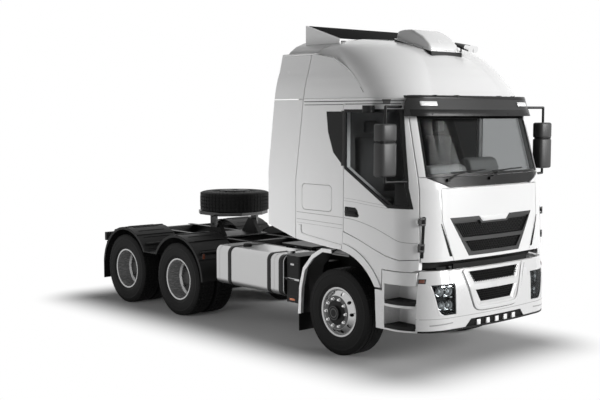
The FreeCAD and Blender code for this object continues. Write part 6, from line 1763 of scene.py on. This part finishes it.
@dataclass
class Tanks:
    """End caps, bands, filler caps and box details beside the rails."""

    middle: Pair = (0.905, 0.840)
    half: Pair = (0.320, 0.260)
    corner: float = 0.090

    def loop(self, x: float, grow: float) -> list[Vector]:
        """Tank's rounded cross-section at a place, grown by a distance."""
        points = []
        r = self.corner + grow
        for sy, sz, start in ((1, 1, 0), (-1, 1, 90), (-1, -1, 180), (1, -1, 270)):
            for step in range(9):
                a = math.radians(start + step * 90 / 8)
                points.append(Vector((x, self.middle[0] + sy * (self.half[0] - self.corner) + r * math.cos(a),
                                      self.middle[1] + sz * (self.half[1] - self.corner) + r * math.sin(a))))
        return points

    def bands(self, x: float, *steps: Pair) -> Form:
        """Closed cover round the tank, through sections at steps from a place, each grown by a distance."""
        return Form().loft([self.loop(x + a, g) for a, g in steps])

    def build(self, yard: Yard) -> None:
        """Make the pieces of both sides."""
        upright = Matrix.Translation((-2.020, 0.975, 0)) @ Matrix.Rotation(math.pi / 2, 4, "X")
        filler = Form().ring([(0.0, 1.138), (0.046, 1.138), (0.058, 1.132), (0.061, 1.120), (0.061, 1.104),
                              (0.0, 1.104)], 40).turned(upright)
        yard.both("filler_cap", filler, Palette.PLASTIC, bevel=0.002)
        for side, front, rear in ((Side.RIGHT, -0.980, -2.390), (Side.LEFT, -1.560, -2.390)):
            name = side.label
            cap = self.bands(front, (-0.095, -0.004), (-0.095, 0.004), (-0.088, 0.006), (-0.022, 0.006),
                             (-0.008, 0.0), (0.0, -0.012), (0.003, -0.03))
            yard.put(f"tank_cap_{name}", cap.on(side), Palette.GLOSS, angle=30)
            seam = self.bands(rear, (0.050, -0.003), (0.052, 0.003), (0.060, 0.004), (0.068, 0.003),
                              (0.070, -0.003))
            seam.join(self.bands(front - 0.20, (0.0, -0.003), (0.002, 0.0025), (0.010, 0.003), (0.018, 0.0025),
                                 (0.020, -0.003)))
            yard.put(f"tank_seams_{name}", seam.on(side), Palette.TANK)
        strap = Form().box((-0.978, 1.186, 0.800), (-0.717, 1.194, 0.828))
        strap.box((-0.978, 0.60, 0.800), (-0.974, 1.194, 0.828))
        yard.both("box_strap", strap, Palette.STEEL, bevel=0.002)
        mark = Form().box((-0.90, 1.188, 0.545), (-0.80, 1.196, 0.572))
        yard.both("box_reflector", mark, Palette.AMBER, bevel=0.003)
        seams = Form().box((-0.960, 1.188, 1.020), (-0.735, 1.1925, 1.026))
        yard.both("box_seams", seams.box((-0.960, 1.188, 0.600), (-0.735, 1.1925, 0.605)), Palette.SEAM)
        latch = Form().box((-0.88, 1.188, 0.99), (-0.81, 1.200, 1.015))
        yard.both("box_latch", latch, Palette.STEEL, bevel=0.003)


@dataclass
class Rear:
    """Bolts, lamps, reflectors and plate holder of the chassis' rear part."""

    web: float = 0.430
    bolt: float = 0.011

    def build(self, yard: Yard) -> None:
        """Make the rear's pieces."""
        skin = Surface("rear_mudguards")
        head = Form().prism(polygon(self.bolt * 1.35, 16), Axis.Y, -0.001, 0.002)
        head.prism(polygon(self.bolt), Axis.Y, 0.0015, 0.010)
        rows = ((-5.28, 0.985, 38, 0.12), (-5.28, 0.865, 38, 0.12), (-5.22, 0.785, 19, 0.24),
                (-0.60, 0.95, 10, 0.14))
        parts = [(yard.row(f"bolts_{i}", head, Palette.FRAME, count, (step, 0, 0)),
                  Matrix.Translation((x, self.web, z))) for i, (x, z, count, step) in enumerate(rows)]
        yard.both("rail_bolts", parts, Palette.FRAME)
        housing = Form().box((-5.392, 0.871, 0.891), (-5.321, 1.199, 1.019))
        yard.both("tail_lamp_housing", housing, Palette.PLASTIC, bevel=0.006, replaces=["lamps"],
                  slot="lamp_glass")
        for word, low, high, finish in (("stop", 0.880, 0.985, Palette.RED),
                                        ("turn", 0.989, 1.094, Palette.AMBER),
                                        ("reverse", 1.098, 1.190, Palette.CLEAR)):
            lens = Form().box((-5.400, low, 0.902), (-5.388, high, 1.008))
            yard.both(f"tail_lamp_{word}", lens, finish, bevel=0.005, slot="lamp_glass")
        marks = Form().box((-2.690, 1.205, 0.875), (-2.683, 1.245, 0.945))
        marks.box((-2.690, 1.180, 0.590), (-2.683, 1.250, 0.612))
        yard.both("guard_reflectors", marks, Palette.MARKER, bevel=0.003)
        for side in Side:
            ribs = Form()
            for k in range(16):
                x = -5.02 + 0.145 * k
                across = [skin.below(x, side.sign * (0.72 + 0.05 * i)) for i in range(10)]
                ribs.tube([p + Vector((0, 0, 0.001)) for p in across], 0.0065, 6)
            yard.put(f"guard_ribs_{side.label}", ribs, Palette.PLASTIC)
        plate = Form().box((-5.372, -0.265, 0.900), (-5.359, 0.265, 1.012))
        yard.put("plate_holder", plate, Palette.PLASTIC, bevel=0.004)
        beam = Form()
        for y in (-0.78, -0.55, 0.55, 0.78):
            beam.prism(polygon(0.012, centre=(y, 0.955)), Axis.X, -5.370, -5.358)
        yard.put("beam_bolts", beam, Palette.STEEL)
        mouth = [(-3.66, -0.11), (-3.50, -0.11), (-3.46, -0.06), (-3.46, 0.06), (-3.50, 0.11), (-3.66, 0.11)]
        jaw = Form().prism(mouth, Axis.Z, 1.372, 1.386)
        handle = Form().tube([(-3.45, -0.44, 1.385), (-3.40, -0.52, 1.38), (-3.36, -0.60, 1.375)], 0.010, 10)
        yard.put("coupling_jaw", jaw.join(handle), Palette.PLATE, "fifth_wheel", bevel=0.003)


@dataclass
class Roof:
    """Housing on the roof, cover of the ramp, and creases and gutters of the roof's sides."""

    half: float = 0.262
    rear: float = 0.006
    nose: float = 0.588
    rear_height: float = 3.784
    nose_height: float = 3.622

    def housing(self, yard: Yard) -> None:
        """Rounded housing on a flange, over a dark foot that is painted shade of the recess beneath it."""
        r, n, up, low = self.rear, self.nose, self.rear_height, self.nose_height
        outline = [(r, up), (r + 0.028, up + 0.102), (0.150, 3.897), (0.275, 3.892), (0.440, 3.806),
                   (n - 0.030, low + 0.080), (n - 0.004, low)]
        shell = Form().prism(outline, Axis.Y, -self.half, self.half)
        yard.put("roof_housing", shell, Palette.PAINT, "cab", bevel=0.034, segments=5, angle=20,
                 replaces=["roof_box"], slot="white_paint")
        wide = self.half + 0.012
        flange = [(r - 0.010, up + 0.014), (r - 0.010, up), (n + 0.012, low - 0.008), (n + 0.012, low + 0.008)]
        yard.put("roof_housing_flange", Form().prism(flange, Axis.Y, -wide, wide), Palette.PAINT, "cab",
                 bevel=0.004)
        # The dark foot stands for the shadowed recess under the housing: painted shade
        foot = [(r - 0.004, up - 0.004), (r - 0.004, up - 0.080), (n - 0.10, low - 0.075),
                (n + 0.020, low - 0.100), (n + 0.020, low - 0.010)]
        wide_foot = self.half + 0.016
        yard.put("roof_housing_foot", Form().prism(foot, Axis.Y, -wide_foot, wide_foot), Palette.PLASTIC, "cab",
                 bevel=0.006)
        screws = Form()
        for share in (0.06, 0.30, 0.54, 0.78, 0.97):
            x, z = r + share * (n - r), up + share * (low - up) + 0.004
            for y in (-wide, wide):
                screws.tube([(x, y * 0.99, z), (x, y * 1.012, z)], 0.0065, 10)
        for y in (-0.18, 0.0, 0.18):
            screws.tube([(n + 0.008, y, low), (n + 0.015, y, low)], 0.0065, 10)
        yard.put("roof_housing_screws", screws, Palette.STEEL, "cab")

    def creases(self, yard: Yard) -> None:
        """Raised crease of the shoulders, and gutters above the doors."""
        skin = Surface("cab_roof", "roof_fairing", "cab_shell", "side_deflectors")
        curve = bent([(-1.050, 3.594), (-0.80, 3.596), (-0.52, 3.594), (-0.30, 3.575), (-0.08, 3.510),
                      (0.20, 3.360), (0.38, 3.205), (0.46, 3.110)])
        points = [skin.beside(x, z) for x, z in curve]
        bead = Form().tube([p + Vector((0, -0.004, 0.002)) for p in points], 0.0125, 10, 0.006)
        shade = Form().tube([p + Vector((0, -0.002, -0.014)) for p in points[1:-2]], 0.0045, 6)
        edge = [skin.beside(x, 3.052) + Vector((0, -0.001, 0)) for x in spread(-0.560, 0.900, 40)]
        lines = HULL.strip([(x, 3.022) for x in spread(-0.565, 0.905, 40)], 0.009, 0.0012)
        lines.join(HULL.strip([(-0.560, 2.984), (0.118, 2.984)], 0.007, 0.0012))
        yard.both("shoulder_crease", bead, Palette.PAINT, "cab")
        yard.both("shoulder_shade", shade, Palette.SEAM, "cab")
        yard.both("gutter_rail", Form().tube(edge, 0.0085, 8), Palette.PAINT, "cab")
        yard.both("gutter_lines", lines, Palette.SEAM, "cab")

    def build(self, yard: Yard) -> None:
        """Make the roof's pieces."""
        self.housing(yard)
        self.creases(yard)
        start, stop = Vector((-0.262, 0, 3.778)), Vector((-0.868, 0, 3.9665))
        way = stop - start
        lift = Vector((way.z, 0, -way.x)).normalized()

        def on_ramp(y: float, share: float, height: float) -> Vector:
            """Point over the ramp."""
            return start + way * share + lift * height + Vector((0, y, 0))

        cover = Form().skin(on_ramp, grid((-0.915, 0.0, 0.915), spread(0.02, 0.975, 8)), (0.0035, -0.002))
        yard.put("ramp_cover", cover, Palette.RAMP, "cab", bevel=0.002)


@dataclass
class Mirrors:
    """Rounded cases, glass and window foot of the mirrors."""

    rear: float = 0.906
    front: float = 1.060
    inner: float = 1.311
    outer: float = 1.554

    def case(self, low: float, high: float) -> Form:
        """Case of one mirror head, bowed at its front."""
        outline = [(self.rear, self.inner), (self.rear, self.outer - 0.006), (self.front - 0.050, self.outer),
                   (self.front - 0.012, self.outer - 0.022), (self.front, self.outer - 0.090),
                   (self.front, self.inner + 0.060), (self.front - 0.016, self.inner)]
        return Form().prism(outline, Axis.Z, low, high)

    def foot(self) -> Form:
        """Dark panel on the glass that carries the lower arm."""
        rows = []
        for z in spread(1.866, 2.136, 4):
            edge = 1.096 - 0.200 * (z - 1.866)
            rows.append([(x, z) for x in (0.945, (0.945 + edge) / 2, edge)])
        return Form().skin(HULL.side, rows, (0.004, -0.006))

    def build(self, yard: Yard) -> None:
        """Make both sides' pieces."""
        heads = self.case(2.192, 2.566).join(self.case(2.574, 2.768))
        glass = Form().box((self.rear - 0.005, 1.335, 2.225), (self.rear + 0.003, 1.530, 2.535))
        glass.box((self.rear - 0.005, 1.335, 2.605), (self.rear + 0.003, 1.530, 2.738))
        body = "door_{}"
        yard.both("mirror_cases", heads, Palette.MIRROR_CASE, body, bevel=0.026, segments=4, angle=40)
        yard.both("mirror_glass", glass, Palette.MIRROR, body, bevel=0.004)
        yard.both("mirror_foot", self.foot(), Palette.PLASTIC, body, bevel=0.002)


@dataclass
class Cabin:
    """Seats, bunk, dash details inside the cab."""

    floor: float = 1.4603
    seat_x: float = 0.270
    seat_side: float = 0.620

    def pad(self, name: str, low: Sequence[float], high: Sequence[float], replaces: str = "seats") -> None:
        """Stuffed piece that fills a box.

        Args:
            name: Its name.
            low: Lowest corner.
            high: Highest corner.
            replaces: CAD node that it stands for.
        """
        inset = 0.022
        mesh = Form().box([a + inset for a in low], [b - inset for b in high]).mesh(name)
        mesh.transform(Matrix.Translation((AXLE_X, 0, 0)))
        piece = link(name, mesh)
        rounding = piece.modifiers.new("rounding", "BEVEL")
        rounding.width = 0.035
        rounding.segments = 3
        remesh = piece.modifiers.new("remesh", "REMESH")
        remesh.mode = "VOXEL"
        remesh.voxel_size = 0.016
        self.bake(piece)
        self.swell(piece, 0.018)
        piece.data.materials.append(Palette.SEAT.material())
        fine = piece.modifiers.new("fine", "SUBSURF")
        fine.levels = fine.render_levels = 1
        for polygon in piece.data.polygons:
            polygon.use_smooth = True
        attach(piece, "cab")
        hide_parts(replaces)
        log.info("%s: %d faces", name, len(piece.data.polygons))

    @staticmethod
    def bake(piece: bpy.types.Object) -> None:
        """Apply an object's modifiers to its mesh."""
        mesh = evaluated(piece)
        piece.modifiers.clear()
        piece.data = mesh

    def swell(self, piece: bpy.types.Object, cap: float) -> None:
        """Inflate a pad with the cloth solver, within a cap.

        Args:
            piece: The pad.
            cap: Largest movement of a point.
        """
        before = [v.co.copy() for v in piece.data.vertices]
        cloth = piece.modifiers.new("cloth", "CLOTH")
        cloth.settings.use_pressure = True
        cloth.settings.uniform_pressure_force = 4.0
        cloth.settings.effector_weights.gravity = 0.0
        scene = bpy.context.scene
        for number in range(1, 21):
            scene.frame_set(number)
        self.bake(piece)
        for vertex, start in zip(piece.data.vertices, before):
            moved = vertex.co - start
            if moved.length > cap:
                vertex.co = start + moved * (cap / moved.length)
        scene.frame_set(1)

    def build(self, yard: Yard) -> None:
        """Make the cabin's pieces."""
        back = self.seat_x - 0.26
        base = self.floor + 0.30
        top = base + 0.16
        for side in Side:
            y, name = side.sign * self.seat_side, side.label
            self.pad(f"seat_cushion_{name}", (back, y - 0.26, base), (back + 0.52, y + 0.26, top))
            self.pad(f"seat_back_{name}", (back - 0.15, y - 0.26, base + 0.02), (back, y + 0.26, top + 0.72))
            self.pad(f"seat_head_{name}", (back - 0.12, y - 0.13, top + 0.70),
                     (back - 0.02, y + 0.13, top + 0.90))
            stand = Form().box((back + 0.05, y - 0.13, self.floor),
                               (self.seat_x + 0.04, y + 0.13, base + 0.005))
            yard.put(f"seat_stand_{name}", stand, Palette.PLASTIC, "cab", bevel=0.01, replaces=["seats"],
                     slot="black_plastic")
        low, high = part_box("bunk")
        shift = Vector((AXLE_X, 0, 0))
        low, high = low - shift, high - shift
        self.pad("bunk_mattress", (low.x, low.y, high.z - 0.15), high, "bunk")
        box = Form().box(low, (high.x, high.y, high.z - 0.14))
        yard.put("bunk_base", box, Palette.CABIN, "cab", bevel=0.01, replaces=["bunk"], slot="cab_plastic")
        near = [(0.78, 2.10), (0.965, 2.10), (0.985, 2.19), (0.955, 2.265), (0.87, 2.288), (0.78, 2.24)]
        far = [(0.78, 2.10), (0.970, 2.10), (0.985, 2.23), (0.945, 2.335), (0.86, 2.365), (0.78, 2.30)]
        for word, outline, start, end in (("near", near, -0.68, -0.03), ("far", far, 0.02, 0.56)):
            pad = Form().prism(outline, Axis.Y, start, end)
            yard.put(f"dash_pad_{word}", pad, Palette.CABIN, "cab", bevel=0.03, segments=4)


class Dresser:
    """Gives every carried-over CAD node its finish."""

    PLAN: dict[Coating, str] = {
        Palette.FRAME: "frame suspension fifth_wheel_base",
        Palette.CAST: "front_axle drive_axles spare_rim knuckle_right knuckle_left",
        Palette.ENGINE: "engine",
        Palette.TANK: "fuel_tanks",
        Palette.STRAP: "tank_straps",
        Palette.PLASTIC: "side_boxes rear_mudguards",
        Palette.BUMPER: "bumper",
        Palette.MESH: "bumper_grilles",
        Palette.GLOSS: "lamps cab_trim door_trim_right door_trim_left",
        Palette.PAINT: "step_units roof_fairing side_deflectors front_flap locker_lid_right locker_lid_left",
        Palette.GUARD: "front_mudguards",
        Palette.FLAP: "mudflaps",
        Palette.PLATE: "fifth_wheel",
        Palette.SHELL: "cab_shell cab_roof",
        Palette.VISOR: "sun_visor",
        Palette.WINDSCREEN: "windscreen",
        Palette.WINDOW: "door_glass_right door_glass_left",
        Palette.DOOR: "outer_panels door_right door_left",
        Palette.HORN: "air_horns",
        Palette.CABIN: "dashboard steering_wheel",
        Palette.GRILLE: "grille",
        Palette.FRONT_WHEEL: "front_rim_right front_rim_left",
        Palette.drive_wheel("front"): "front_drive_rims_right front_drive_rims_left",
        Palette.drive_wheel("rear"): "rear_drive_rims_right rear_drive_rims_left",
    }

    def build(self, yard: Yard) -> None:
        """Dress the nodes that show."""
        for finish, names in self.PLAN.items():
            for name in names.split():
                node = frame["nodes"][name]
                if not node.material_slots:
                    node.data.materials.append(finish.material())
                for slot in node.material_slots:
                    slot.material = finish.material()
                yard.smooth(node, 28.0)
                log.info("dressed %s with %s", name, finish.name)


@dataclass
class Studio:
    """Floor, lights, world and camera."""

    position: Triple = (10.7565, -9.475, 2.869)
    target: Triple = (-0.0794, 0.0, 1.5856)
    lens: float = 61.44
    shift_y: float = 0.0097
    horizon: float = 0.22
    zenith: float = 0.02
    key: float = 3.4
    key_width: float = 30.0
    key_way: Triple = (0.80, 0.49, 0.25)

    @staticmethod
    def floor() -> None:
        """Large pale floor."""
        plane = link("floor", Form().take([(-90, -90, 0), (90, -90, 0), (90, 90, 0), (-90, 90, 0)],
                                          [(0, 1, 2, 3)]).mesh("floor"))
        plane.data.materials.append(Palette.FLOOR.material())

    @staticmethod
    def aim(thing: bpy.types.Object, way: Vector) -> None:
        """Turn a lamp or the camera to look along a way."""
        thing.rotation_euler = way.to_track_quat("-Z", "Y").to_euler()

    def lamp(self, name: str, place: Triple, aim: Triple, size: float, power: float) -> None:
        """Square area lamp.

        Args:
            name: Its name.
            place: Its place.
            aim: Point that it looks at.
            size: Side of the square.
            power: Its power in watts.
        """
        data = bpy.data.lights.new(name, "AREA")
        data.size = size
        data.energy = power
        lamp = link(name, data)
        lamp.location = place
        self.aim(lamp, Vector(aim) - Vector(place))
        lamp.visible_glossy = lamp.visible_camera = False

    def world(self) -> None:
        """White for the camera and mirrors, softer and darker overhead as a light."""
        world = bpy.data.worlds.new("studio")
        bpy.context.scene.world = world
        world.use_nodes = True
        world.node_tree.nodes.clear()
        tree = Tree(world.node_tree)
        rise = tree.parts(tree.add("ShaderNodeTexCoord", None, None, "Generated"))[2]
        fill = rise.ramp(0.1, 0.8, self.horizon, self.zenith)
        strength = tree.seen() * (1 - fill) + fill
        light = tree.add("ShaderNodeBackground", None, {"Color": grey(1.0), "Strength": strength})
        tree.add("ShaderNodeOutputWorld", None, {"Surface": light}, None)

    def sun(self) -> None:
        """Broad key light from ahead of the truck."""
        data = bpy.data.lights.new("key", "SUN")
        data.energy = self.key
        data.angle = math.radians(self.key_width)
        self.aim(link("key", data), -Vector(self.key_way))

    def build(self) -> None:
        """Set the stage."""
        self.floor()
        self.world()
        self.sun()
        self.lamp("side_fill", (0.2, -4.6, 0.8), (0.0, -1.2, 1.30), 2.2, 84.0)
        self.lamp("rear_fill", (-4.6, -6.5, 1.1), (-2.2, -1.2, 1.3), 3.0, 45.0)
        data = bpy.data.cameras.new("view")
        data.lens = self.lens
        data.sensor_width = 36.0
        data.shift_y = self.shift_y
        camera = link("view", data)
        camera.location = self.position
        self.aim(camera, Vector(self.target) - Vector(self.position))
        scene = bpy.context.scene
        scene.camera = camera
        scene.view_settings.view_transform = "Standard"


def main() -> None:
    """Build every sub-assembly in order."""
    logging.basicConfig(level=logging.INFO, format="%(message)s")
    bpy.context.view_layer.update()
    yard = Yard()
    comb = Honeycomb()
    Dresser().build(yard)
    Tyres().build(yard)
    WheelDress().build(yard)
    CabSide().build(yard)
    Nose().build(yard, comb)
    Visor().build(yard)
    Bumper().build(yard, comb)
    Steps().build(yard)
    Tanks().build(yard)
    Rear().build(yard)
    Roof().build(yard)
    Mirrors().build(yard)
    Cabin().build(yard)
    Studio().build()


if __name__ == "__main__":
    main()
